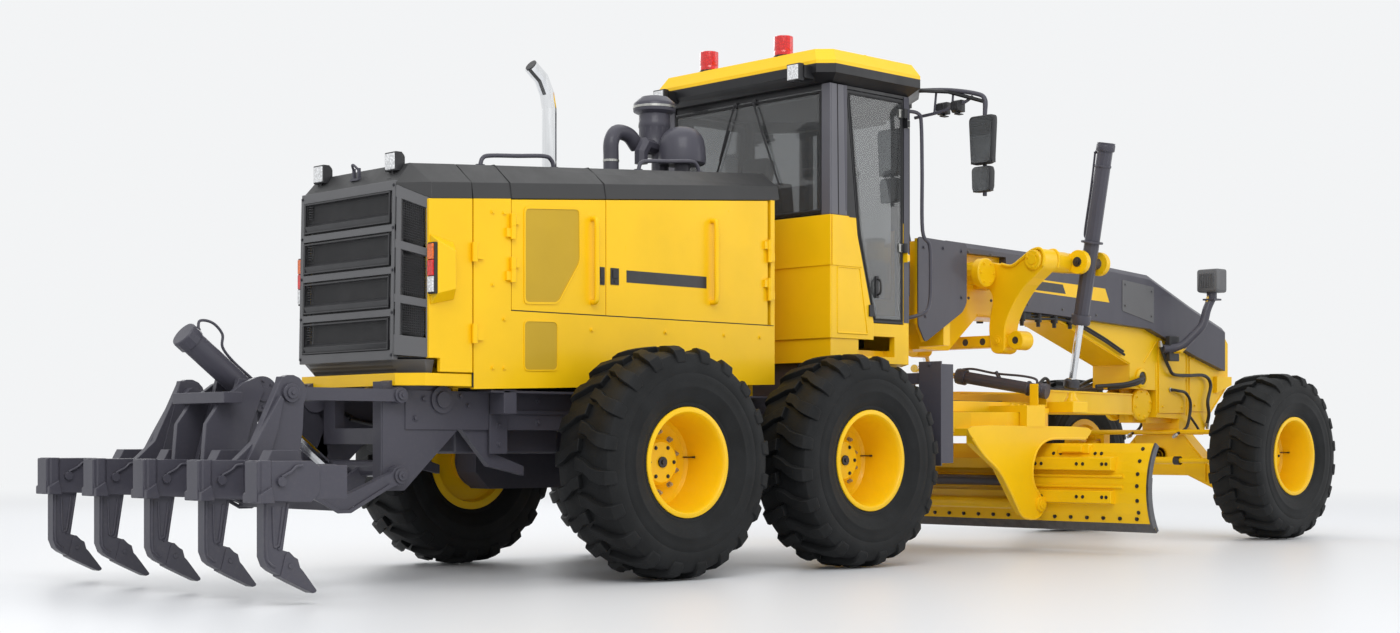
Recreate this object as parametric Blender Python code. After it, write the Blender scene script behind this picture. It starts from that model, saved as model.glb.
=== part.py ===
"""Motor grader: an articulated, six-wheeled road grader with a moldboard and a rear ripper.

Metres, +Z up.  The design is laid out in the machine frame: X forward from the tandem pivot,
Y to the left, Z up from the ground.  The root empty moves it so that the finished machine is
centred on X, with the ground at Z = 0.
"""

from math import cos, hypot, pi, radians, sin

import bmesh
import bpy
from mathutils import Matrix, Vector

# ------------------------------------------------------------------ driving dimensions
TYRE_RADIUS = 0.745          # 20.5-25 tyre, 1.49 m over the tread
TYRE_WIDTH = 0.52
RIM_BORE = 0.330             # tyre bead seat radius
TRACK = 2.26                 # between wheel centre planes
TANDEM_SPACING = 1.74        # between the two rear axles
WHEELBASE = 6.60             # tandem pivot to front axle
HINGE_X = 2.45               # articulation hinge
AXLE_Z = TYRE_RADIUS

HOOD_REAR = -2.056
HOOD_FRONT = 0.60
HOOD_HALF = 0.68             # half-width over the side doors
HOOD_PANEL = 0.035
HOOD_DOOR_BOTTOM = 1.70
HOOD_SPLIT_X = -0.978        # between the two side doors
HOOD_REAR_DOOR_X = -1.755    # rear edge of the side doors
HOOD_EDGE_Z = 2.37           # side of the grey top, at HOOD_REAR
HOOD_CREST_Z = 2.60          # crown of the grey top, at HOOD_REAR
HOOD_CREST_HALF = 0.50
HOOD_EDGE_RISE = 0.082       # metres of rise per metre forward
HOOD_CREST_RISE = 0.0735
GRILLE_X = -2.54             # rear face of the rear door
GRILLE_HALF = 0.53

CAB_REAR = 1.00
CAB_HALF = 0.85
CAB_SIDE_FRONT = 1.86        # where the side wall turns inwards
CAB_NOSE = 2.19
CAB_NOSE_HALF = 0.50
CAB_BASE_Z = 1.45
CAB_FLOOR_Z = 1.75
CAB_SILL_Z = 2.50            # bottom of the rear window
CAB_TOP_Z = 3.45
CAB_WALL = 0.05
ROOF_EDGE_Z = 3.60
ROOF_TOP_Z = 3.69
ROOF_REAR = 0.87
ROOF_FRONT = 2.25
ROOF_HALF = 0.93
BEACON_TOP_Z = 3.84
BEACON_X = 0.99
BEACON_Y = 0.393
BEACON_RADIUS = 0.065
MIRROR_Y = 1.30              # middle of the mirrors, out from the machine's centre
GLASS = 0.008

FRAME_HALF = 0.50            # outside of the rear frame rails
RAIL_BOTTOM = 0.95
RAIL_TOP = 1.19
RAIL_WIDTH = 0.14
RAIL_REAR = -2.43
CROSS_PLATE_X = RAIL_REAR - 0.01   # rear face of the cross plate between the ripper's ears
RISER_X = 2.215              # upright that carries the articulation lugs
TANDEM_INNER = 0.60
TANDEM_OUTER = 0.82

BOX_HALF = 0.20              # half-width of the front frame box
COVER_HALF = 0.27
NOSE_X = 7.385
BLADE_LENGTH = 3.66          # 12 ft moldboard
CIRCLE_X = 3.40
CIRCLE_RADIUS = 0.80
CIRCLE_BOTTOM = 0.95
CIRCLE_TOP = 1.11
DRAWBAR_PIVOT = Vector((5.98, 0.0, 1.22))
BLADE_PIVOT = Vector((3.46, 0.0, 0.375))
BRACKET_OUTER = 0.85         # circle side brackets
LIFT_TOP = Vector((4.02, 0.95, 2.34))      # trunnion of a lift cylinder, left side
LIFT_BALL = Vector((4.06, 0.75, 1.36))     # its ball on the drawbar, left side
SHIFT_FOOT = Vector((3.78, -0.62, 1.30))   # centre-shift cylinder on the drawbar
SHIFT_EYE = Vector((3.50, 0.46, 1.50))     # its rod eye under the link bar
SHIFT_DROP = 0.15                          # from the shift cylinder down to its pin's seat
SHIFT_TRUNNION = 0.085                     # half-width between the yoke's ears
CLEVIS_HALF = 0.11                         # half-width inside the lift cylinders' clevis
STUD_DROP = 0.075                          # from a lift ball down to its stud

KINGPIN_Y = 0.80
LEAN_Z = 0.50
LEAN_BAR_Z = 0.965
LEAN_BAR_X = WHEELBASE - 0.13
STEER_ARM = 0.28
TIE_ROD_Z = 0.70

RIPPER_FRAME_X = -2.50
RIPPER_BODY_X = -3.30
RIPPER_UPPER_Z = 1.156
RIPPER_LOWER_Z = 0.670
RIPPER_HALF = 0.55
RIPPER_BEAM_HALF = 1.30
SHANK_SPACING = 0.62
SHANK_REAR = -3.93
RIPPER_TRUNNION = Vector((-3.21, 0.0, 1.16))
RIPPER_ROD_EYE = Vector((-2.52, 0.0, 0.61))

LUG_RADIUS = 0.10            # articulation lugs
RISER_DEPTH = 0.12

GAP = 0.0004                 # between pieces that touch
CLEAR = 0.006                # between pieces that move past each other
WHEEL_SIDES = 24
CIRCLE_SIDES = 32

# The object's middle along X lies halfway between the ripper's rear and the nose.
MIDDLE_X = (SHANK_REAR + NOSE_X) / 2

# ------------------------------------------------------------------ materials
PALETTE = {
    "yellow": ((0.95, 0.58, 0.02), 0.35, 0.0),
    "charcoal": ((0.07, 0.07, 0.085), 0.5, 0.0),
    "grey": ((0.09, 0.09, 0.09), 0.5, 0.0),
    "tyre": ((0.012, 0.014, 0.016), 0.8, 0.0),
    "chrome": ((0.8, 0.8, 0.8), 0.1, 1.0),
    "glass": ((0.2, 0.24, 0.26), 0.05, 0.0),
    "engine": ((0.25, 0.25, 0.25), 0.6, 0.3),
    "trim": ((0.02, 0.02, 0.022), 0.7, 0.0),
}


def material(name):
    """The named material, made on first use."""
    found = bpy.data.materials.get(name)
    if found:
        return found
    colour, roughness, metallic = PALETTE[name]
    made = bpy.data.materials.new(name)
    made.use_nodes = True
    shader = made.node_tree.nodes["Principled BSDF"]
    shader.inputs["Base Color"].default_value = (*colour, 1.0)
    shader.inputs["Roughness"].default_value = roughness
    shader.inputs["Metallic"].default_value = metallic
    made.diffuse_color = (*colour, 1.0)
    return made


# ------------------------------------------------------------------ shapes
def finish(bm):
    """A temporary object that holds this bmesh, with its faces pointing out."""
    bmesh.ops.remove_doubles(bm, verts=bm.verts, dist=1e-5)
    bmesh.ops.recalc_face_normals(bm, faces=bm.faces)
    mesh = bpy.data.meshes.new("shape")
    bm.to_mesh(mesh)
    bm.free()
    obj = bpy.data.objects.new("shape", mesh)
    bpy.context.collection.objects.link(obj)
    return obj


def box(x, y, z):
    """A block between the two limits on each axis."""
    bm = bmesh.new()
    bmesh.ops.create_cube(bm, size=1.0)
    for vert in bm.verts:
        for axis, (low, high) in enumerate((x, y, z)):
            vert.co[axis] = low if vert.co[axis] < 0 else high
    return finish(bm)


PLANES = {"X": (1, 2, 0), "Y": (0, 2, 1), "Z": (0, 1, 2)}


def plate(outline, axis, span):
    """A closed outline in the plane across an axis, extruded over a span of that axis."""
    first, second, along = PLANES[axis]
    bm = bmesh.new()
    corners = []
    for point in outline:
        co = [0.0, 0.0, 0.0]
        co[first], co[second], co[along] = point[0], point[1], span[0]
        corners.append(bm.verts.new(co))
    face = bm.faces.new(corners)
    made = bmesh.ops.extrude_face_region(bm, geom=[face])["geom"]
    step = [0.0, 0.0, 0.0]
    step[along] = span[1] - span[0]
    bmesh.ops.translate(bm, vec=step, verts=[g for g in made if isinstance(g, bmesh.types.BMVert)])
    return finish(bm)


def loft(sections):
    """A closed solid through rings that each have the same number of points."""
    bm = bmesh.new()
    rings = [[bm.verts.new(point) for point in section] for section in sections]
    count = len(rings[0])
    for near, far in zip(rings, rings[1:]):
        for i in range(count):
            j = (i + 1) % count
            bm.faces.new((near[i], near[j], far[j], far[i]))
    bm.faces.new(rings[0])
    bm.faces.new(rings[-1])
    return finish(bm)


def frame_along(direction):
    """Two unit vectors that complete a right-handed set with this direction."""
    side = Vector((0, 0, 1)).cross(direction)
    if side.length < 1e-6:
        side = Vector((1, 0, 0))
    side.normalize()
    return side, direction.cross(side).normalized()


def ring(centre, direction, radius, sides, turn=0.5):
    """Points around a circle, with its facets tangent to the circle when turn is a half."""
    across, up = frame_along(direction)
    reach = radius / cos(pi / sides)
    angles = [2 * pi * (i + turn) / sides for i in range(sides)]
    return [centre + across * reach * cos(a) + up * reach * sin(a) for a in angles]


def rod(start, end, radius, sides=12, end_radius=None):
    """A round bar between two points, or a cone with two radii."""
    start, end = Vector(start), Vector(end)
    direction = (end - start).normalized()
    last = radius if end_radius is None else end_radius
    return loft([ring(start, direction, radius, sides), ring(end, direction, last, sides)])


def tube_path(points, radius, sides=8):
    """A round bar that follows a line of points, mitred at each bend."""
    points = [Vector(p) for p in points]
    rings = []
    across = None
    for i, point in enumerate(points):
        before = (point - points[i - 1]).normalized() if i else None
        after = (points[i + 1] - point).normalized() if i + 1 < len(points) else None
        direction = ((before or after) + (after or before)).normalized()
        if across is None:
            across = frame_along(direction)[0]
        across = (across - direction * across.dot(direction)).normalized()
        up = direction.cross(across)
        stretch = 1.0 / max(0.5, direction.dot(before or after))
        bend = (after - before).normalized() if before and after and (after - before).length > 1e-6 else None
        section = []
        for k in range(sides):
            angle = 2 * pi * (k + 0.5) / sides
            offset = (across * cos(angle) + up * sin(angle)) * radius
            if bend is not None:
                offset += bend * offset.dot(bend) * (stretch - 1.0)
            section.append(point + offset)
        rings.append(section)
    return loft(rings)


def turned(profile, centre, direction, steps=WHEEL_SIDES):
    """A closed profile of (radius, distance along) turned about an axis, facets tangent to it."""
    centre, direction = Vector(centre), Vector(direction).normalized()
    across, up = frame_along(direction)
    grow = 1.0 / cos(pi / steps)
    bm = bmesh.new()
    rings = []
    for radius, along in profile:
        middle = centre + direction * along
        if radius < 1e-6:
            rings.append([bm.verts.new(middle)] * steps)
            continue
        made = []
        for i in range(steps):
            angle = 2 * pi * (i + 0.5) / steps
            made.append(bm.verts.new(middle + (across * cos(angle) + up * sin(angle)) * radius * grow))
        rings.append(made)
    for here, there in zip(rings, rings[1:] + rings[:1]):
        for i in range(steps):
            j = (i + 1) % steps
            corners = []
            for vert in (here[i], here[j], there[j], there[i]):
                if vert not in corners:
                    corners.append(vert)
            if len(corners) > 2:
                bm.faces.new(corners)
    return finish(bm)


def discard(obj):
    mesh = obj.data
    bpy.data.objects.remove(obj)
    bpy.data.meshes.remove(mesh)


def combined(pieces, cuts=()):
    """One mesh: the union of the pieces, less the cuts.  The shapes are used up."""
    base, others = pieces[0], list(pieces[1:])
    for operation, shapes in (("UNION", others), ("DIFFERENCE", list(cuts))):
        for shape in shapes:
            modifier = base.modifiers.new(operation.title(), "BOOLEAN")
            modifier.operation = operation
            modifier.object = shape
    graph = bpy.context.evaluated_depsgraph_get()
    mesh = bpy.data.meshes.new_from_object(base.evaluated_get(graph))
    for shape in [base, *others, *cuts]:
        discard(shape)
    return mesh


# ------------------------------------------------------------------ bodies and nodes
BODIES = {}


def body(name, pivot=(0, 0, 0), parent=None):
    """An empty on the joint of a moving body, under its parent body's empty."""
    empty = bpy.data.objects.new(name + "_body", None)
    empty.empty_display_size = 0.2
    bpy.context.collection.objects.link(empty)
    pivot = Vector(pivot)
    if parent:
        empty.parent = BODIES[parent][0]
        empty.location = pivot - BODIES[parent][1]
    else:
        empty.location = pivot - Vector((MIDDLE_X, 0, 0))
    BODIES[name] = (empty, pivot)


def node(name, owner, colour, pieces, cuts=(), smooth=30):
    """A sub-part made of these shapes, held by the empty of the body that owns it."""
    mesh = combined(list(pieces), list(cuts))
    empty, pivot = BODIES[owner]
    mesh.transform(Matrix.Translation(-pivot))
    mesh.name = name
    mesh.materials.clear()
    mesh.materials.append(material(colour))
    mesh.shade_smooth()
    mesh.set_sharp_from_angle(angle=radians(smooth))
    obj = bpy.data.objects.new(name, mesh)
    bpy.context.collection.objects.link(obj)
    obj.parent = empty
    return obj


def span(side, inner, outer):
    """Limits on Y between two distances from the middle, on the left (1) or the right (-1)."""
    return tuple(sorted((side * inner, side * outer)))


SIDES = {"left": 1, "right": -1}


# ------------------------------------------------------------------ hood heights
def hood_edge(x):
    return HOOD_EDGE_Z + (x - HOOD_REAR) * HOOD_EDGE_RISE


def hood_crest(x):
    return HOOD_CREST_Z + (x - HOOD_REAR) * HOOD_CREST_RISE


# ------------------------------------------------------------------ hinges of the doors
KNUCKLE = 0.018
HINGE_OUT = KNUCKLE + 0.002   # from a panel's outer face to its hinge line


def hinge_leaves(x, side, half_width, heights, length, behind, width, moving):
    """One side's leaves of a door hinge: knuckles on a vertical line with a strap to the panel.

    The moving leaf is the upper half of each knuckle; behind is the X direction of its panel.
    """
    y = side * (half_width + HINGE_OUT)
    strap_y = span(side, half_width - 0.01, half_width + HINGE_OUT)
    toward = behind if moving else -behind
    strap_x = tuple(sorted((x, x + toward * width)))
    made = []
    for z in heights:
        low, high = (z + GAP, z + length / 2) if moving else (z - length / 2, z)
        made.append(rod((x, y, low), (x, y, high), KNUCKLE, 8))
        middle = (low + high) / 2
        made.append(box(strap_x, strap_y, (middle - length * 0.17, middle + length * 0.17)))
    return made


# ------------------------------------------------------------------ wheels
def tyre_profile():
    half, bead = TYRE_WIDTH / 2, 0.20
    right = [
        (RIM_BORE, bead),
        (RIM_BORE + 0.032, bead),
        (RIM_BORE + 0.05, half - 0.025),
        (0.56, half),
        (0.69, half - 0.015),
        (TYRE_RADIUS, half - 0.08),
    ]
    return right + [(r, -y) for r, y in reversed(right)]


HUB_FACE = 0.21              # inboard of the wheel's centre plane


def rim_profile():
    seat = RIM_BORE - GAP
    lip = RIM_BORE + 0.024
    bead = 0.20 + GAP
    return [
        (0.0, -HUB_FACE),
        (0.15, -HUB_FACE),
        (0.15, -0.17),
        (0.29, -0.17),
        (0.30, -0.222),
        (lip, -0.222),
        (lip, -bead),
        (seat, -bead),
        (seat, bead),
        (lip, bead),
        (lip, 0.222),
        (0.312, 0.222),
        (0.285, -0.13),
        (0.16, -0.13),
        (0.14, -0.06),
        (0.0, -0.06),
    ]


def wheel(name, x, side, parent):
    """A tyre on its rim; the profiles run outwards along Y on either side."""
    centre = (x, side * TRACK / 2, AXLE_Z)
    body(name, centre, parent)
    out = (0, side, 0)
    node("tyre_" + name, name, "tyre", [turned(tyre_profile(), centre, out)])
    node("rim_" + name, name, "yellow", [turned(rim_profile(), centre, out)])


# ------------------------------------------------------------------ rear frame
def make_rear_frame():
    pieces, cuts = [], []
    for side in SIDES.values():
        rail = span(side, FRAME_HALF - RAIL_WIDTH, FRAME_HALF)
        pieces.append(box((RAIL_REAR, CAB_NOSE), rail, (RAIL_BOTTOM, RAIL_TOP)))
        # Ripper bracket: two ears down from the rail, with a pin end at each link.
        ear = span(side, 0.40, FRAME_HALF - 0.01)
        pieces.append(
            plate(
                [
                    (RIPPER_FRAME_X - 0.09, RIPPER_UPPER_Z + 0.06),
                    (RIPPER_FRAME_X - 0.09, RIPPER_LOWER_Z - 0.09),
                    (RIPPER_FRAME_X + 0.07, RIPPER_LOWER_Z - 0.09),
                    (-2.02, RAIL_BOTTOM + 0.01),
                    (-2.02, RAIL_TOP - 0.01),
                ],
                "Y",
                ear,
            )
        )
        # Outriggers under the hood sides, and the ladder with its dark hanger.
        for x in (-1.75, 0.30):
            top = 1.20 + (x - HOOD_REAR) * 0.03
            pieces.append(box((x - 0.05, x + 0.05), span(side, 0.45, 0.66), (1.05, top - 0.006)))
        pieces.append(box((1.70, 1.82), span(side, 0.45, 1.15), (1.30, 1.38)))
        pieces.append(box((1.69, 1.83), span(side, 1.10, 1.14), (0.74, 1.44)))
        pieces.append(box((1.69, 1.83), span(side, 1.27, 1.30), (0.72, 1.44)))
        for z in (0.76, 1.06, 1.36):
            pieces.append(box((1.69, 1.83), span(side, 1.12, 1.28), (z, z + 0.03)))
        # Saddle blocks over the axle housing.
        pieces.append(box((-0.16, 0.16), span(side, 0.37, 0.49), (AXLE_Z + 0.17, RAIL_BOTTOM + 0.01)))
    # Rear cross plate with its wide opening, and cross members along the rails.
    pieces.append(box((CROSS_PLATE_X, CROSS_PLATE_X + 0.07), (-0.39, 0.39), (0.86, 1.34)))
    cuts.append(box((RAIL_REAR - 0.05, RAIL_REAR + 0.11), (-0.26, 0.26), (0.96, 1.22)))
    for x in (-1.3, 0.9):
        pieces.append(box((x, x + 0.12), (-0.42, 0.42), (1.00, 1.15)))
    # Lower cross tube that carries the foot of the ripper cylinder.
    pieces.append(rod((-2.43, -0.45, 0.71), (-2.43, 0.45, 0.71), 0.05, 10))
    eye_x, eye_z = RIPPER_ROD_EYE.x, RIPPER_ROD_EYE.z
    lug = [
        (eye_x - 0.06, eye_z - 0.06),
        (eye_x + 0.05, eye_z - 0.06),
        (-2.40, 0.70),
        (-2.45, 0.74),
        (eye_x - 0.06, eye_z + 0.04),
    ]
    for side in SIDES.values():
        pieces.append(plate(lug, "Y", span(side, 0.04 + GAP, 0.07)))
    # Cab platform and the riser with the lower two articulation lugs.
    pieces.append(box((1.06, CAB_NOSE - 0.02), (-0.47, 0.47), (1.10, CAB_BASE_Z - GAP)))
    pieces.append(box((RISER_X - 0.08, RISER_X + RISER_DEPTH), (-0.20, 0.20), (1.02, CAB_BASE_Z - 0.01)))
    pieces.append(box((RISER_X, RISER_X + RISER_DEPTH), (-0.20, 0.20), (1.40, 2.30)))
    for low, high in ((1.44, 1.60), (2.14, 2.30)):
        pieces.append(rod((HINGE_X, 0, low), (HINGE_X, 0, high), LUG_RADIUS, 16))
        pieces.append(box((RISER_X + 0.05, HINGE_X), (-LUG_RADIUS, LUG_RADIUS), (low, high)))
    return node("rear_frame", "chassis", "charcoal", pieces, cuts)


def make_rear_axle():
    """Axle housing with both tandem cases; each case carries two hubs."""
    half = TANDEM_SPACING / 2
    radius = 0.17 - GAP
    housing = [(0, -0.70), (radius, -0.70), (radius, 0.70), (0, 0.70)]
    pieces = [
        turned(housing, (0, 0, AXLE_Z), (0, 1, 0), 16),
        box((-0.22, 0.22), (-0.24, 0.24), (AXLE_Z - 0.2, AXLE_Z + 0.15)),
    ]
    face = TRACK / 2 - HUB_FACE - GAP
    for side in SIDES.values():
        case = [
            (-half - 0.20, AXLE_Z - 0.08),
            (-half - 0.08, AXLE_Z - 0.20),
            (half + 0.08, AXLE_Z - 0.20),
            (half + 0.20, AXLE_Z - 0.08),
            (half + 0.20, AXLE_Z + 0.08),
            (half + 0.08, AXLE_Z + 0.20),
            (-half - 0.08, AXLE_Z + 0.20),
            (-half - 0.20, AXLE_Z + 0.08),
        ]
        pieces.append(plate(case, "Y", span(side, TANDEM_INNER, TANDEM_OUTER)))
        for x in (-half, half):
            pieces.append(rod((x, side * 0.80, AXLE_Z), (x, side * face, AXLE_Z), 0.14, 16))
    return node("rear_axle", "chassis", "charcoal", pieces)


# ------------------------------------------------------------------ engine and hood
ENGINE_TOP = 2.18
STACK_X, STACK_Y = -0.90, 0.0
CLEANER_X, CLEANER_Y = 0.14, 0.02


def make_engine():
    block = box((-1.65, 0.25), (-0.38, 0.38), (RAIL_TOP + GAP, ENGINE_TOP))
    return node("engine", "chassis", "engine", [block])


def make_hood_body():
    pieces, cuts = [], []
    inner = HOOD_HALF - HOOD_PANEL
    for side in SIDES.values():
        skin = span(side, inner, HOOD_HALF)
        lower = [
            (HOOD_REAR + CLEAR, 1.20),
            (HOOD_FRONT, 1.28),
            (HOOD_FRONT, HOOD_DOOR_BOTTOM - CLEAR),
            (HOOD_REAR + CLEAR, HOOD_DOOR_BOTTOM - CLEAR),
        ]
        pieces.append(plate(lower, "Y", skin))
        edge = HOOD_REAR_DOOR_X - CLEAR
        rear = [
            (HOOD_REAR + CLEAR, HOOD_DOOR_BOTTOM - 0.02),
            (edge, HOOD_DOOR_BOTTOM - 0.02),
            (edge, hood_edge(edge) - GAP),
            (HOOD_REAR + CLEAR, hood_edge(HOOD_REAR + CLEAR) - GAP),
        ]
        pieces.append(plate(rear, "Y", skin))
        behind = span(side, inner - 0.06, inner - CLEAR)
        rail = [
            (HOOD_REAR + CLEAR, hood_edge(HOOD_REAR) - 0.07),
            (HOOD_FRONT, hood_edge(HOOD_FRONT) - 0.07),
            (HOOD_FRONT, hood_edge(HOOD_FRONT) - 0.01),
            (HOOD_REAR + CLEAR, hood_edge(HOOD_REAR) - 0.01),
        ]
        pieces.append(plate(rail, "Y", behind))
        post = (HOOD_SPLIT_X - 0.06, HOOD_SPLIT_X + 0.06)
        pieces.append(box(post, behind, (HOOD_DOOR_BOTTOM - 0.12, hood_edge(HOOD_SPLIT_X) - 0.03)))
        pieces.append(box(post, span(side, inner - 0.06, inner + 0.01), (1.55, HOOD_DOOR_BOTTOM - 0.03)))
    front = (HOOD_FRONT - 0.04, HOOD_FRONT)
    pieces.append(box(front, (-HOOD_HALF, HOOD_HALF), (1.30, hood_edge(HOOD_FRONT - 0.04) - GAP)))
    pieces.append(box(front, (-0.46, 0.46), (RAIL_TOP + GAP, 1.35)))
    rear = (HOOD_REAR + CLEAR, HOOD_REAR + 0.05)
    pieces.append(box(rear, (-HOOD_HALF, HOOD_HALF), (1.21, hood_edge(HOOD_REAR + CLEAR) - GAP)))
    pieces.append(box(rear, (-0.46, 0.46), (RAIL_TOP + GAP, 1.30)))
    cuts.append(box((HOOD_REAR - 0.1, HOOD_REAR + 0.1), (-0.50, 0.50), (1.42, 2.26)))
    for side in SIDES.values():
        for place in HOOD_DOORS:
            pieces.extend(hood_door_leaves(place, side, moving=False))
    pieces.extend(rear_door_leaves(moving=False))
    return node("hood_body", "chassis", "yellow", pieces, cuts)


def hood_section(x, shrink):
    """The grey top's outline across the machine at one place along it."""
    edge, crest = hood_edge(x), hood_crest(x) - shrink
    half, top = HOOD_HALF - shrink, HOOD_CREST_HALF - shrink * 0.4
    return [
        (x, -half, edge),
        (x, half, edge),
        (x, half - 0.02, edge + 0.10),
        (x, top, crest),
        (x, -top, crest),
        (x, -half + 0.02, edge + 0.10),
    ]


def make_hood_top():
    """A shell, open below, with its ends closed and holes for the stacks."""
    rear, front = HOOD_REAR + CLEAR, HOOD_FRONT + 0.05
    outer = loft([hood_section(rear, 0), hood_section(front, 0)])
    inner = loft([hood_section(rear + 0.04, 0.03), hood_section(front - 0.04, 0.03)])
    inside = HOOD_HALF - 0.03
    below = box((rear + 0.04, front - 0.04), (-inside, inside), (2.2, hood_edge(rear) + 0.09))
    cuts = [
        inner,
        below,
        rod((STACK_X, STACK_Y, 2.3), (STACK_X, STACK_Y, 3.0), 0.075, 16),
        rod((CLEANER_X, CLEANER_Y, 2.3), (CLEANER_X, CLEANER_Y, 3.0), 0.075, 16),
    ]
    return node("hood_top", "chassis", "grey", [outer], cuts)


def make_exhaust_stack():
    """A chrome pipe up from the engine, with a slanted, turned-back outlet."""
    top = 3.42
    points = [
        (STACK_X, STACK_Y, ENGINE_TOP + GAP),
        (STACK_X, STACK_Y, top - 0.28),
        (STACK_X - 0.02, STACK_Y, top - 0.18),
        (STACK_X - 0.07, STACK_Y, top - 0.08),
        (STACK_X - 0.16, STACK_Y, top - 0.01),
    ]
    pieces = [tube_path(points, 0.05, 12)]
    return node("exhaust_stack", "chassis", "chrome", pieces)


def make_air_precleaner():
    """The intake's upright bowl with its cap, and the domed cleaner beside it."""
    x, y = CLEANER_X, CLEANER_Y
    pieces = [rod((x, y, ENGINE_TOP + GAP), (x, y, 2.95), 0.06, 12)]
    bowl = [
        (0, 0),
        (0.10, 0),
        (0.11, 0.06),
        (0.11, 0.30),
        (0.14, 0.32),
        (0.14, 0.37),
        (0.09, 0.42),
        (0, 0.42),
    ]
    pieces.append(turned(bowl, (x, y + 0.06, 2.93), (0, 0, 1), 16))
    dome = [(0, 0), (0.15, 0), (0.16, 0.05), (0.15, 0.16), (0.09, 0.24), (0, 0.26)]
    pieces.append(turned(dome, (x + 0.03, y - 0.20, 2.85), (0, 0, 1), 16))
    pieces.append(box((x - 0.04, x + 0.06), (y - 0.2, y), (2.88, 2.93)))
    side_inlet = [
        (x - 0.05, y, 2.98),
        (x - 0.16, y - 0.02, 2.99),
        (x - 0.20, y - 0.02, 2.93),
        (x - 0.20, y - 0.02, 2.85),
    ]
    pieces.append(tube_path(side_inlet, 0.05, 8))
    return node("air_precleaner", "chassis", "trim", pieces)


# ------------------------------------------------------------------ hood doors
HOOD_DOORS = {
    # name: (rear edge, front edge, hinge line, direction of the door from its hinge)
    "rear": (HOOD_REAR_DOOR_X, HOOD_SPLIT_X - CLEAR / 2, HOOD_REAR_DOOR_X - 0.003, 1),
    "front": (HOOD_SPLIT_X + CLEAR / 2, HOOD_FRONT - 0.07, HOOD_FRONT - 0.067, -1),
}


def hood_door_leaves(place, side, moving):
    low, high, hinge_x, toward = HOOD_DOORS[place]
    return hinge_leaves(hinge_x, side, HOOD_HALF, (1.95, 2.22), 0.16, toward, 0.05, moving)


def make_hood_doors():
    """Two doors a side: the rear one turns on its rear edge, the front one on its front edge."""
    for word, side in SIDES.items():
        for place, (low, high, hinge_x, toward) in HOOD_DOORS.items():
            name = f"hood_door_{word}_{place}"
            body(name, (hinge_x, side * (HOOD_HALF + HINGE_OUT), 2.0), "chassis")
            outline = [
                (low, HOOD_DOOR_BOTTOM),
                (high, HOOD_DOOR_BOTTOM),
                (high, hood_edge(high) - CLEAR),
                (low, hood_edge(low) - CLEAR),
            ]
            skin = plate(outline, "Y", span(side, HOOD_HALF - HOOD_PANEL, HOOD_HALF))
            node(name, name, "yellow", [skin, *hood_door_leaves(place, side, moving=True)])


REAR_DOOR_HINGE = Vector((HOOD_REAR, -HOOD_HALF - HINGE_OUT, 1.85))
TAIL_STEP_X = -2.30
TAIL_BOTTOM = 1.38


def make_rear_door():
    """The tail of the hood: one hollow, U-shaped door with the grille frame in its rear face."""
    body("rear_door", REAR_DOOR_HINGE, "chassis")
    front, bottom, top = HOOD_REAR - CLEAR / 2, 1.30, 2.34
    corner_x = -2.40
    plan = [
        (front, -HOOD_HALF),
        (corner_x, -HOOD_HALF),
        (GRILLE_X, -GRILLE_HALF),
        (GRILLE_X, GRILLE_HALF),
        (corner_x, HOOD_HALF),
        (front, HOOD_HALF),
    ]
    wall = HOOD_PANEL
    hollow = [
        (front + 0.1, -HOOD_HALF + wall),
        (corner_x + 0.01, -HOOD_HALF + wall),
        (GRILLE_X + wall, -GRILLE_HALF + 0.02),
        (GRILLE_X + wall, GRILLE_HALF - 0.02),
        (corner_x + 0.01, HOOD_HALF - wall),
        (front + 0.1, HOOD_HALF - wall),
    ]
    roof = loft(
        [
            [(x, y, top - 0.01) for x, y in plan],
            [(x, y, hood_edge(x) + 0.06) for x, y in plan],
            [(max(x, -2.46), y * 0.74, hood_crest(x) - 0.02) for x, y in plan],
        ]
    )
    pieces = [plate(plan, "Z", (bottom, top)), roof]
    cuts = [plate(hollow, "Z", (bottom - 0.1, top - 0.02))]
    # The tail's underside steps up, which clears the ripper's cylinder as the door swings.
    cuts.append(box((GRILLE_X - 0.1, TAIL_STEP_X), (-0.8, 0.8), (bottom - 0.1, TAIL_BOTTOM)))
    # Grille opening in the rear face, left with one upright and two cross bars.
    for y in ((-0.46, -0.02), (0.02, 0.46)):
        for z in ((1.47, 1.86), (1.92, 2.30)):
            cuts.append(box((GRILLE_X - 0.1, GRILLE_X + wall + 0.1), y, z))
    return node("rear_door", "rear_door", "yellow", pieces + rear_door_leaves(moving=True), cuts)


def rear_door_leaves(moving):
    return hinge_leaves(HOOD_REAR, -1, HOOD_HALF, (1.60, 2.10), 0.24, -1, 0.07, moving)


# ------------------------------------------------------------------ cab
DOOR_REAR_TOP_X = 1.173
DOOR_KNEE = (1.294, 2.385)
DOOR_REAR_BOTTOM_X = 1.461
DOOR_FRONT_X = 1.796
DOOR_TOP_Z = 3.42
DOOR_THICK = 0.04
CAB_HINGE_X = DOOR_FRONT_X + CLEAR / 2


def cab_plan(inset):
    """The cab's outline from above, set in by a wall: square at the back, narrow at the nose."""
    half, nose = CAB_HALF - inset, CAB_NOSE_HALF - inset * 0.6
    rear, front = CAB_REAR + inset, CAB_NOSE - inset
    right = [(rear, -half), (CAB_SIDE_FRONT, -half), (front, -nose)]
    return right + [(x, -y) for x, y in reversed(right)]


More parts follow.
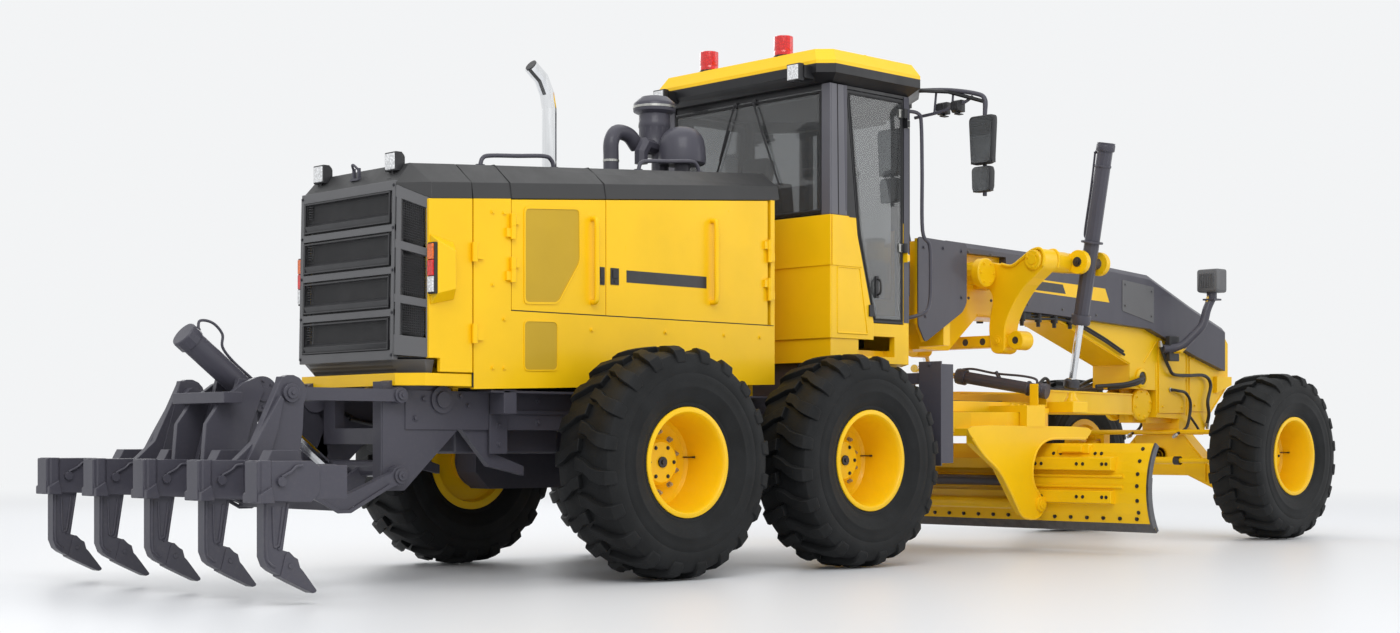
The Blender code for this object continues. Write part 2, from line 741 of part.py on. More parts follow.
def door_outline(grow):
    """The doorway from the side, grown or shrunk all round."""
    return [
        (DOOR_REAR_BOTTOM_X - grow, CAB_FLOOR_Z - grow),
        (DOOR_FRONT_X + grow, CAB_FLOOR_Z - grow),
        (DOOR_FRONT_X + grow, DOOR_TOP_Z + grow),
        (DOOR_REAR_TOP_X - grow, DOOR_TOP_Z + grow),
        (DOOR_KNEE[0] - grow, DOOR_KNEE[1] - grow * 0.4),
    ]


def cab_door_leaves(side, moving):
    return hinge_leaves(CAB_HINGE_X, side, CAB_HALF, (2.28, 3.28), 0.14, -1, 0.055, moving)


def make_cab_body():
    """Floor box, rear wall, posts and top frame in one shell, with the window openings cut."""
    shell = plate(cab_plan(0), "Z", (CAB_BASE_Z, CAB_TOP_Z))
    room = plate(cab_plan(CAB_WALL), "Z", (CAB_BASE_Z + 0.10, CAB_TOP_Z + 0.1))
    cuts = [room]
    beyond = CAB_HALF + 0.15
    cuts.append(plate(door_outline(CLEAR), "Y", (-beyond, beyond)))
    cuts.append(box((CAB_REAR - 0.1, CAB_REAR + 0.1), (-0.72, 0.72), (CAB_SILL_Z + 0.04, CAB_TOP_Z - 0.08)))
    cuts.append(box((CAB_NOSE - 0.1, CAB_NOSE + 0.1), (-0.43, 0.43), (1.98, CAB_TOP_Z - 0.08)))
    for side in SIDES.values():
        # The slanted quarter window between the side wall and the nose.
        start = Vector((CAB_SIDE_FRONT, side * CAB_HALF, 0))
        end = Vector((CAB_NOSE, side * CAB_NOSE_HALF, 0))
        along = (end - start).normalized()
        out = Vector((-along.y, along.x, 0)) * -side
        near, far = start + along * 0.06, end - along * 0.06
        quad = [near - out * 0.1, far - out * 0.1, far + out * 0.1, near + out * 0.1]
        cuts.append(plate([(p.x, p.y) for p in quad], "Z", (1.98, CAB_TOP_Z - 0.08)))
        # Step recess below the doorway.
        cuts.append(box((1.30, 1.70), span(side, 0.74, 1.0), (CAB_BASE_Z + 0.05, CAB_FLOOR_Z - 0.10)))
    pieces = [shell]
    for side in SIDES.values():
        pieces.extend(cab_door_leaves(side, moving=False))
    return node("cab_body", "chassis", "yellow", pieces, cuts)


def make_cab_doors():
    """Each door is a frame that follows the doorway, with its pane in the outer face."""
    for word, side in SIDES.items():
        name = "cab_door_" + word
        body(name, (CAB_HINGE_X, side * (CAB_HALF + HINGE_OUT), 2.5), "chassis")
        frame = plate(door_outline(0), "Y", span(side, CAB_HALF - DOOR_THICK, CAB_HALF))
        hole = plate(door_outline(-0.055), "Y", span(side, CAB_HALF - 0.2, CAB_HALF + 0.1))
        rabbet = plate(door_outline(-0.03), "Y", span(side, CAB_HALF - GLASS - 2 * GAP, CAB_HALF + 0.1))
        node(name, name, "trim", [frame, *cab_door_leaves(side, moving=True)], [hole, rabbet])
        pane = plate(door_outline(-0.03 - GAP), "Y", span(side, CAB_HALF - GLASS - GAP, CAB_HALF - GAP))
        node("door_glass_" + word, name, "glass", [pane])


def make_cab_glass():
    """A rear pane and a three-sided windshield, bonded to the outside of the posts."""
    rear = box((CAB_REAR - GAP - GLASS, CAB_REAR - GAP), (-0.78, 0.78), (CAB_SILL_Z + 0.02, CAB_TOP_Z - 0.04))
    node("rear_window", "chassis", "glass", [rear])
    low, high = 1.95, CAB_TOP_Z - 0.04
    # The slanted panes stand on the slanted walls, so all four points lie on those walls' lines.
    slope = (CAB_HALF - CAB_NOSE_HALF) / (CAB_NOSE - CAB_SIDE_FRONT)
    reach = hypot(1.0, slope)
    start = 0.03
    lines = []
    for distance in (GAP, GAP + GLASS):
        rear_y = CAB_HALF - start * slope + distance * reach
        nose_y = CAB_NOSE_HALF + distance * (reach - slope)
        lines.append(
            [
                (CAB_SIDE_FRONT + start, -rear_y),
                (CAB_NOSE + distance, -nose_y),
                (CAB_NOSE + distance, nose_y),
                (CAB_SIDE_FRONT + start, rear_y),
            ]
        )
    inner, outer = lines
    outline = inner + outer[::-1]
    node("windshield", "chassis", "glass", [plate(outline, "Z", (low, high))])


def make_cab_interior():
    """Seat on its pedestal, and the steering console, joined by the floor mat."""
    floor = CAB_BASE_Z + 0.10 + GAP
    pieces = [
        box((1.15, 2.02), (-0.30, 0.30), (floor, floor + 0.03)),
        box((1.22, 1.58), (-0.18, 0.18), (floor + 0.02, 2.02)),
        box((1.18, 1.68), (-0.25, 0.25), (2.00, 2.14)),
        plate([(1.18, 2.10), (1.32, 2.10), (1.24, 2.80), (1.12, 2.80)], "Y", (-0.24, 0.24)),
        box((1.86, 2.00), (-0.12, 0.12), (floor + 0.02, 2.15)),
        rod((1.93, 0, 2.10), (1.845, 0, 2.435), 0.035, 8),
        turned([(0.0, 0.0), (0.19, 0.0), (0.19, 0.03), (0.0, 0.03)], (1.85, 0, 2.42), (-0.22, 0, 0.97), 16),
    ]
    return node("cab_interior", "chassis", "trim", pieces)


def make_cab_roof():
    """Roof panel with chamfered corners, its beacons, work lights and the mirror arms."""
    cut = 0.10
    plan = [
        (ROOF_REAR + cut, -ROOF_HALF),
        (1.90, -ROOF_HALF),
        (ROOF_FRONT, -0.62),
        (ROOF_FRONT, 0.62),
        (1.90, ROOF_HALF),
        (ROOF_REAR + cut, ROOF_HALF),
        (ROOF_REAR, ROOF_HALF - cut),
        (ROOF_REAR, -ROOF_HALF + cut),
    ]
    middle = Vector((1.55, 0.0))
    crown = [tuple(middle + (Vector(p) - middle) * 0.93) for p in plan]
    under = [tuple(middle + (Vector(p) - middle) * 0.90) for p in plan]
    pieces = [
        loft(
            [
                [(x, y, CAB_TOP_Z + GAP) for x, y in under],
                [(x, y, CAB_TOP_Z + 0.06) for x, y in plan],
                [(x, y, ROOF_EDGE_Z) for x, y in plan],
                [(x, y, ROOF_TOP_Z) for x, y in crown],
            ]
        )
    ]
    for side in SIDES.values():
        foot = Vector((BEACON_X, side * BEACON_Y, ROOF_TOP_Z - 0.02))
        pieces.append(rod(foot, (BEACON_X, side * BEACON_Y, BEACON_TOP_Z), BEACON_RADIUS, 12))
        pieces.append(box((0.80, 0.90), span(side, 0.64, 0.78), (3.47, 3.56)))
        # Mirror arm from the front corner, with the main and the wide-angle mirror.
        y = side * MIRROR_Y
        arm = [(1.95, side * 0.80, 3.52), (2.12, side * 1.02, 3.50), (2.20, y, 3.40), (2.20, y, 2.76)]
        pieces.append(tube_path(arm, 0.015, 6))
        pieces.append(box((2.16, 2.20), span(side, 1.20, 1.40), (2.94, 3.28)))
        pieces.append(box((2.16, 2.20), span(side, 1.22, 1.38), (2.73, 2.91)))
    return node("cab_roof", "chassis", "yellow", pieces)


# ------------------------------------------------------------------ ripper
def link_arm(start, end, side, inner, outer, waist, drop=0.0):
    """A flat link in the XZ plane with round eyes, bent down between them by the drop."""
    pieces = [
        rod((start[0], side * inner, start[1]), (start[0], side * outer, start[1]), waist, 12),
        rod((end[0], side * inner, end[1]), (end[0], side * outer, end[1]), waist, 12),
    ]
    middle = ((start[0] + end[0]) / 2, (start[1] + end[1]) / 2 - drop)
    half = waist * 0.75
    outline = [
        (start[0], start[1] + half),
        (middle[0], middle[1] + half),
        (end[0], end[1] + half),
        (end[0], end[1] - half),
        (middle[0], middle[1] - half),
        (start[0], start[1] - half),
    ]
    pieces.append(plate(outline, "Y", span(side, inner, outer)))
    return pieces


LINK_INNER = FRAME_HALF - 0.01 + GAP
LINK_OUTER = 0.55


def make_ripper():
    """A parallelogram: lower and upper links carry the beam, and one cylinder works it."""
    frame_low = (RIPPER_FRAME_X, RIPPER_LOWER_Z)
    frame_high = (RIPPER_FRAME_X, RIPPER_UPPER_Z)
    body_low = (RIPPER_BODY_X, RIPPER_LOWER_Z)
    body_high = (RIPPER_BODY_X, RIPPER_UPPER_Z)
    body("ripper_lower_link", (frame_low[0], 0, frame_low[1]), "chassis")
    pieces = []
    for side in SIDES.values():
        pieces.extend(link_arm(frame_low, body_low, side, LINK_INNER, LINK_OUTER, 0.06, 0.16))
    x, z = -2.90, RIPPER_LOWER_Z - 0.16
    pieces.append(box((x - 0.06, x + 0.06), (-LINK_OUTER, LINK_OUTER), (z - 0.04, z + 0.04)))
    node("ripper_lower_link", "ripper_lower_link", "charcoal", pieces)

    body("ripper_upper_link", (frame_high[0], 0, frame_high[1]), "chassis")
    pieces = []
    for side in SIDES.values():
        pieces.extend(link_arm(frame_high, body_high, side, LINK_INNER, LINK_OUTER, 0.05))
    tie_x = RIPPER_FRAME_X - 0.22
    reach = LINK_OUTER - 0.01
    pieces.append(rod((tie_x, -reach, RIPPER_UPPER_Z), (tie_x, reach, RIPPER_UPPER_Z), 0.03, 10))
    node("ripper_upper_link", "ripper_upper_link", "charcoal", pieces)

    body("ripper_beam", (body_low[0], 0, body_low[1]), "ripper_lower_link")
    pieces = [box((-3.65, -3.37), (-RIPPER_BEAM_HALF, RIPPER_BEAM_HALF), (0.57, 0.75))]
    inner, outer = LINK_OUTER + GAP, LINK_OUTER + 0.05
    for side in SIDES.values():
        upright = [(-3.62, 0.60), (-3.24, 0.60), (-3.23, 1.24), (-3.36, 1.25), (-3.50, 0.75)]
        pieces.append(plate(upright, "Y", span(side, inner, outer)))
        pieces.append(plate(upright, "Y", span(side, 0.10, 0.14)))
        pieces.append(box((-3.55, -3.40), span(side, 0.12, 0.58), (0.60, 0.74)))
    for i in range(-2, 3):
        y = i * SHANK_SPACING
        y = max(-RIPPER_BEAM_HALF + 0.06, min(RIPPER_BEAM_HALF - 0.06, y))
        pieces.append(box((SHANK_REAR, -3.62), (y - 0.06, y + 0.06), (0.56, 0.77)))
        # The shank drops straight from its holder, and its tooth points down and forward.
        shank = [
            (-3.87, 0.76),
            (-3.87, 0.27),
            (-3.85, 0.22),
            (-3.82, 0.195),
            (-3.57, 0.066),
            (-3.55, 0.075),
            (-3.64, 0.185),
            (-3.67, 0.245),
            (-3.725, 0.285),
            (-3.765, 0.29),
            (-3.72, 0.56),
            (-3.72, 0.76),
        ]
        pieces.append(plate(shank, "Y", (y - 0.032, y + 0.032)))
    node("ripper_beam", "ripper_beam", "charcoal", pieces)

    sizes = {
        "head": 0.52,
        "tail": 0.14,
        "bore": 0.07,
        "rod": 0.035,
        "inside": 0.40,
        "trunnion": 0.10 - GAP,
        "eye": 0.04,
    }
    across = Vector((0, 1, 0))
    cylinder("ripper", "ripper_beam", RIPPER_TRUNNION, RIPPER_ROD_EYE, sizes, across, across)


def cylinder(name, parent, pivot, eye, sizes, trunnion_axis, eye_axis):
    """A hydraulic cylinder pinned at its trunnion; its rod points from there to the eye.

    sizes: head and tail are the barrel's lengths behind and ahead of the pivot, bore and rod
    the two outside radii, and trunnion and eye the half-widths of the two pinned ends.
    """
    pivot, eye = Vector(pivot), Vector(eye)
    direction = (eye - pivot).normalized()
    body(name + "_barrel", pivot, parent)
    back, front = pivot - direction * sizes["head"], pivot + direction * sizes["tail"]
    half = trunnion_axis * sizes["trunnion"]
    pieces = [
        rod(back, front, sizes["bore"], 12),
        rod(front - direction * 0.05, front + direction * 0.03, sizes["bore"] + 0.012, 12),
        rod(back - direction * 0.03, back + direction * 0.04, sizes["bore"] + 0.010, 12),
        rod(pivot - half, pivot + half, 0.045, 10),
    ]
    hole = rod(back + direction * 0.04, front + direction * 0.1, sizes["rod"] + GAP, 10)
    node(name + "_barrel", name + "_barrel", "charcoal", pieces, [hole])
    body(name + "_rod", pivot, name + "_barrel")
    start = front - direction * sizes["inside"]
    half = eye_axis * sizes["eye"]
    pieces = [rod(start, eye, sizes["rod"], 10), rod(eye - half, eye + half, sizes["rod"] * 1.35, 12)]
    node(name + "_rod", name + "_rod", "chrome", pieces)


# ------------------------------------------------------------------ front frame
def top_line(x):
    """Height of the front frame's upper edge."""
    points = [(2.45, 2.51), (4.44, 2.47), (5.95, 2.385), (6.68, 2.126), (NOSE_X, 1.90)]
    for (x0, z0), (x1, z1) in zip(points, points[1:]):
        if x <= x1:
            return z0 + (z1 - z0) * (x - x0) / (x1 - x0)
    return points[-1][1]


def make_front_frame():
    """The gooseneck box with the articulation lugs, the saddle, the drawbar socket and the nose."""
    body("front_frame", (HINGE_X, 0, 1.6), "chassis")
    cover = 0.012
    outline = [
        (2.76, top_line(2.76) - cover),
        (4.44, top_line(4.44) - cover),
        (5.95, top_line(5.95) - cover),
        (6.68, top_line(6.68) - cover),
        (NOSE_X - 0.10, top_line(NOSE_X - 0.10) - cover),
        (NOSE_X, 1.82),
        (NOSE_X, 1.41),
        (7.02, 1.10),
        (6.95, 0.94),
        (6.53, 0.94),
        (6.53, 1.09),
        (6.15, 1.10),
        (6.15, 1.35),
        (5.72, 1.36),
        (5.72, 1.572),
        (4.64, 1.917),
        (3.50, 1.91),
        (3.13, 1.62),
        (2.76, 1.62),
    ]
    pieces = [plate(outline, "Y", (-BOX_HALF, BOX_HALF))]
    # Articulation lugs on top of the rear frame's lugs, back to the box.
    for low, high in ((1.60 + GAP, 1.74), (2.30 + GAP, 2.42)):
        pieces.append(rod((HINGE_X, 0, low), (HINGE_X, 0, high), LUG_RADIUS, 16))
        pieces.append(box((HINGE_X, 2.80), (-LUG_RADIUS, LUG_RADIUS), (low, high)))
        pieces.append(rod((HINGE_X, 0, high - 0.01), (HINGE_X, 0, high + 0.05), 0.07, 12))
    # Side cheeks that stand around the hinge.
    pieces.append(box((2.76, 2.84), (-0.45, 0.45), (1.64, 2.42)))
    cheek = [(2.52, 1.66), (2.98, 1.92), (3.03, 2.00), (3.03, 2.45), (2.44, 2.47), (2.44, 1.80)]
    for side in SIDES.values():
        pieces.append(plate(cheek, "Y", span(side, 0.42, 0.45)))
    # Socket lugs above and below the drawbar's ball block.
    x, z = DRAWBAR_PIVOT.x, DRAWBAR_PIVOT.z
    pieces.append(rod((x, 0, z + 0.08 + GAP), (x, 0, 1.37), 0.072, 12))
    pieces.append(rod((x, 0, 1.05), (x, 0, z - 0.08 - GAP), 0.072, 12))
    pieces.append(box((x, 6.20), (-0.07, 0.07), (1.05, z - 0.08 - GAP)))
    pieces.append(box((6.10, 6.60), (-0.12, 0.12), (1.05, 1.12)))
    # Headlight arms out over the front wheels.
    for side in SIDES.values():
        arm = [
            (6.20, side * 0.18, 1.72),
            (6.30, side * 0.36, 1.72),
            (6.45, side * 0.50, 1.95),
            (6.53, side * 0.55, 2.28),
        ]
        pieces.append(tube_path(arm, 0.03, 6))
        pieces.append(box((6.46, 6.60), span(side, 0.46, 0.64), (2.27, 2.45)))
    pieces.extend(saddle_shapes())
    return node("front_frame", "front_frame", "yellow", pieces)


SADDLE_Z = 2.25
LINK_Z = 1.70


def saddle_shapes():
    """The pin-locked saddle: two lift arms on the frame, the link bar below and both uprights."""
    pieces = []
    pieces.append(rod((3.30, -0.40, SADDLE_Z), (3.30, 0.40, SADDLE_Z), 0.09, 12))
    for side in SIDES.values():
        # The arm, seen from the front: from the frame pivot out to the trunnion, and down to the link bar.
        arm = [
            (side * 0.19, 2.33),
            (side * 0.42, 2.33),
            (side * 0.60, 2.28),
            (side * 0.80, 2.40),
            (side * 0.90, 2.40),
            (side * 0.90, 2.27),
            (side * 0.72, 2.13),
            (side * 0.55, 1.95),
            (side * 0.50, 1.80),
            (side * 0.50, 1.64),
            (side * 0.40, 1.64),
            (side * 0.38, 1.82),
            (side * 0.42, 2.05),
            (side * 0.38, 2.16),
            (side * 0.19, 2.16),
        ]
        pieces.append(plate(arm, "X", (3.46, 3.62)))
        # Boss along X to the clevis that holds the lift cylinder's trunnion.
        pieces.append(rod((3.44, side * 0.82, LIFT_TOP.z), (3.93, side * 0.82, LIFT_TOP.z), 0.075, 12))
        y_in, y_out = LIFT_TOP.y - 0.13, LIFT_TOP.y + 0.13
        ear = (LIFT_TOP.z - 0.07, LIFT_TOP.z + 0.07)
        x = LIFT_TOP.x
        for low, high in ((x - 0.16, x - CLEVIS_HALF), (x + CLEVIS_HALF, x + 0.16)):
            pieces.append(box((low, high), span(side, y_in - 0.02, y_out - 0.06), ear))
        pieces.append(box((LIFT_TOP.x - 0.16, LIFT_TOP.x + 0.16), span(side, y_in - 0.03, y_in + 0.004), ear))
    pieces.append(box((3.48, 3.60), (-0.62, 0.62), (LINK_Z - 0.05, LINK_Z + 0.05)))
    return pieces


def make_frame_cover():
    """The dark cover over the frame's upper half, following its top line."""
    stations = [3.06, 4.44, 5.95, 6.68, NOSE_X - 0.16]
    depth = [0.50, 0.50, 0.48, 0.44, 0.40]
    half, gap = COVER_HALF, BOX_HALF + GAP
    outer, inner = [], []
    for i, (x, drop) in enumerate(zip(stations, depth)):
        top = top_line(x)
        outer.append(
            [
                (x, -half, top - drop),
                (x, half, top - drop),
                (x, half, top - 0.03),
                (x, half - 0.04, top + 0.015),
                (x, -half + 0.04, top + 0.015),
                (x, -half, top - 0.03),
            ]
        )
        # The hollow runs past both ends, with its first and last rings moved out.
        x += {0: -0.05, len(stations) - 1: 0.05}.get(i, 0.0)
        top = top_line(x) - 0.012 + GAP
        inner.append([(x, -gap, top - drop - 0.2), (x, gap, top - drop - 0.2), (x, gap, top), (x, -gap, top)])
    window = box((3.18, 3.80), (-0.5, 0.5), (1.5, 2.42))
    return node("frame_cover", "front_frame", "charcoal", [loft(outer)], [loft(inner), window])


# ------------------------------------------------------------------ drawbar, circle and blade
def make_drawbar():
    pivot = DRAWBAR_PIVOT
    body("drawbar_ball", pivot, "front_frame")
    ball = box(
        (pivot.x - 0.05, pivot.x + 0.05), (-0.085 + GAP, 0.085 - GAP), (pivot.z - 0.08, pivot.z + 0.08)
    )
    node("drawbar_ball", "drawbar_ball", "charcoal", [ball])
    body("drawbar", pivot, "drawbar_ball")
    pieces, cuts = [], []
    z_low, z_high = CIRCLE_TOP + 0.015, 1.30
    for side in SIDES.values():
        pieces.append(rod((pivot.x, side * 0.085, pivot.z), (pivot.x, side * 0.125, pivot.z), 0.11, 12))
        pieces.append(box((5.74, pivot.x), span(side, 0.085, 0.125), (1.14, 1.30)))
        start, end = Vector((5.80, side * 0.12, 0)), Vector((4.02, side * 0.44, 0))
        across = Vector((0, 0.05, 0))
        beam = [start - across, start + across, end + across, end - across]
        pieces.append(plate([(p.x, p.y) for p in beam], "Z", (z_low, z_high)))
        # Lift ball and its bracket on the outer corner.
        foot = Vector((LIFT_BALL.x, side * LIFT_BALL.y, LIFT_BALL.z))
        x, reach = LIFT_BALL.x, LIFT_BALL.y + 0.07
        pieces.append(box((x - 0.10, x + 0.10), span(side, 0.40, reach), (1.12, 1.20)))
        pieces.append(rod((foot.x, foot.y, 1.18), (foot.x, foot.y, foot.z - STUD_DROP), 0.03, 10))
    pieces.append(box((5.72, 5.82), (-0.125, 0.125), (z_low, z_high)))
    # Rear plate over the circle, with an open middle, and the drive housing.
    pieces.append(box((2.66, 4.12), (-0.49, 0.49), (CIRCLE_TOP + GAP, 1.18)))
    cuts.append(box((3.05, 3.75), (-0.28, -0.13), (1.0, 1.3)))
    cuts.append(box((3.05, 3.75), (0.13, 0.28), (1.0, 1.3)))
    pieces.append(box((2.70, 4.27), (-0.12, 0.12), (CIRCLE_TOP + GAP, 1.18)))
    pieces.append(box((3.98, 4.10), (-0.47, 0.47), (1.12, 1.28)))
    # Shoes that hold the circle's ring from outside, at its own height.
    shoe_in = CIRCLE_RADIUS / cos(pi / CIRCLE_SIDES) + CLEAR / 2
    shoe_out = shoe_in + 0.07
    along = (CIRCLE_X - 0.12, CIRCLE_X + 0.12)
    pieces.append(box((CIRCLE_X + shoe_in, CIRCLE_X + shoe_out), (-0.12, 0.12), (0.99, 1.15)))
    for side in SIDES.values():
        pieces.append(box(along, span(side, 0.45, shoe_out), (CIRCLE_TOP + GAP, 1.165)))
        pieces.append(box(along, span(side, shoe_in, shoe_out), (0.995, 1.15)))
    # Centre-shift cylinder's lug.
    foot = SHIFT_FOOT
    upright = (CIRCLE_TOP + GAP, foot.z - SHIFT_DROP)
    pieces.append(box((foot.x - 0.06, foot.x + 0.06), (foot.y - 0.06, -0.45), upright))
    node("drawbar", "drawbar", "yellow", pieces, cuts)


def make_circle():
    """The toothed ring's blank with both side brackets down to the blade's pivot."""
    centre = Vector((CIRCLE_X, 0, 0))
    body("circle", centre, "drawbar")
    inner = CIRCLE_RADIUS - 0.14
    ring_profile = [
        (inner, CIRCLE_BOTTOM),
        (CIRCLE_RADIUS, CIRCLE_BOTTOM),
        (CIRCLE_RADIUS, CIRCLE_TOP),
        (inner, CIRCLE_TOP),
    ]
    pieces = [turned(ring_profile, centre, (0, 0, 1), CIRCLE_SIDES)]
    px, pz = BLADE_PIVOT.x, BLADE_PIVOT.z
    outline = [
        (2.62, 0.98),
        (2.62, 0.86),
        (2.95, 0.66),
        (3.16, 0.40),
        (3.26, 0.29),
        (px, 0.285),
        (px + 0.025, 0.31),
        (px + 0.025, 0.44),
        (3.43, 0.47),
        (3.36, 0.62),
        (3.42, 0.80),
        (3.58, 0.91),
        (4.10, 0.91),
        (4.10, 0.98),
    ]
    for side in SIDES.values():
        pieces.append(plate(outline, "Y", span(side, BRACKET_OUTER - 0.06, BRACKET_OUTER)))
        level = (CIRCLE_BOTTOM - 0.03, CIRCLE_BOTTOM + 0.03)
        pieces.append(box((2.80, 4.00), span(side, 0.50, BRACKET_OUTER), level))
    node("circle", "circle", "yellow", pieces)


BLADE_RADIUS = 0.62


def blade_curve(offset, low, high, steps):
    """Points on the moldboard's arc in the XZ plane; the arc's middle lies ahead of the blade."""
    centre = Vector((3.565 + BLADE_RADIUS, 0.50))
    made = []
    for i in range(steps + 1):
        z = low + (high - low) * i / steps
        angle = (z - centre.y) / BLADE_RADIUS
        reach = BLADE_RADIUS + offset
        made.append((centre.x - reach * cos(angle), centre.y + reach * sin(angle)))
    return made


def make_blade():
    """The pivoting carrier with its rail guides, and the moldboard that slides in them."""
    pivot = Vector((BLADE_PIVOT.x, 0, BLADE_PIVOT.z))
    body("blade_carrier", pivot, "circle")
    inner = BRACKET_OUTER - 0.06 - GAP
    pieces = [rod((pivot.x, -inner, pivot.z), (pivot.x, inner, pivot.z), 0.045, 12)]
    for side in SIDES.values():
        arm = [(3.41, 0.31), (3.50, 0.31), (3.50, 0.80), (3.41, 0.80), (3.38, 0.60)]
        pieces.append(plate(arm, "Y", span(side, 0.62, 0.72)))
    node("blade_carrier", "blade_carrier", "yellow", pieces)

    body("blade", pivot, "blade_carrier")
    half = BLADE_LENGTH / 2
    thick = 0.025
    back = blade_curve(thick, 0.24, 0.87, 8)
    face = blade_curve(0.0, 0.24, 0.87, 8)
    pieces = [plate(back + face[::-1], "Y", (-half, half))]
    edge = blade_curve(-0.022, 0.15, 0.32, 3) + blade_curve(0.001, 0.15, 0.32, 3)[::-1]
    pieces.append(plate(edge, "Y", (-half, half)))
    for low, high in ((0.40, 0.48), (0.66, 0.74)):
        pieces.append(box((3.50 + GAP, 3.60), (-1.50, 1.50), (low, high)))
    node("blade", "blade", "yellow", pieces)


# ------------------------------------------------------------------ lift and shift cylinders
def make_lift_cylinders():
    """One each side: it hangs in the saddle's clevis and its rod stands over the drawbar's stud."""
    sizes = {
        "head": 0.95,
        "tail": 0.48,
        "bore": 0.06,
        "rod": 0.03,
        "inside": 0.45,
        "trunnion": CLEVIS_HALF - GAP,
        "eye": 0.035,
    }
    along = Vector((1, 0, 0))
    for word, side in SIDES.items():
        top = Vector((LIFT_TOP.x, side * LIFT_TOP.y, LIFT_TOP.z))
        ball = Vector((LIFT_BALL.x, side * LIFT_BALL.y, LIFT_BALL.z))
        cylinder("lift_" + word, "front_frame", top, ball, sizes, along, along)


def make_shift_cylinder():
    """The centre-shift cylinder, on a yoke that turns on the drawbar's upright pin."""
    reach = SHIFT_EYE - SHIFT_FOOT
    across = Vector((reach.y, -reach.x, 0)).normalized()
    up = Vector((0, 0, 1))
    body("shift_yoke", SHIFT_FOOT, "drawbar")
    inner, outer = SHIFT_TRUNNION, SHIFT_TRUNNION + 0.02
    pieces = [rod(SHIFT_FOOT - up * (SHIFT_DROP - GAP), SHIFT_FOOT - up * (SHIFT_DROP - 0.03), 0.05, 12)]
    for sign in (1, -1):
        near, far = across * inner * sign, across * outer * sign
        width = up.cross(across) * 0.035
        quad = [near - width, near + width, far + width, far - width]
        outline = [(SHIFT_FOOT.x + p.x, SHIFT_FOOT.y + p.y) for p in quad]
        pieces.append(plate(outline, "Z", (SHIFT_FOOT.z - SHIFT_DROP + 0.01, SHIFT_FOOT.z + 0.05)))
    corners = ((-1, -1), (1, -1), (1, 1), (-1, 1))
    floor = [across * outer * a + up.cross(across) * 0.035 * b for a, b in corners]
    outline = [(SHIFT_FOOT.x + p.x, SHIFT_FOOT.y + p.y) for p in floor]
    pieces.append(plate(outline, "Z", (SHIFT_FOOT.z - SHIFT_DROP + 0.01, SHIFT_FOOT.z - SHIFT_DROP + 0.03)))
    node("shift_yoke", "shift_yoke", "charcoal", pieces)
    sizes = {
        "head": 0.05,
        "tail": 0.71,
        "bore": 0.05,
        "rod": 0.025,
        "inside": 0.36,
        "trunnion": SHIFT_TRUNNION - GAP,
        "eye": 0.03,
    }
    cylinder("shift", "shift_yoke", SHIFT_FOOT, SHIFT_EYE, sizes, across, across)


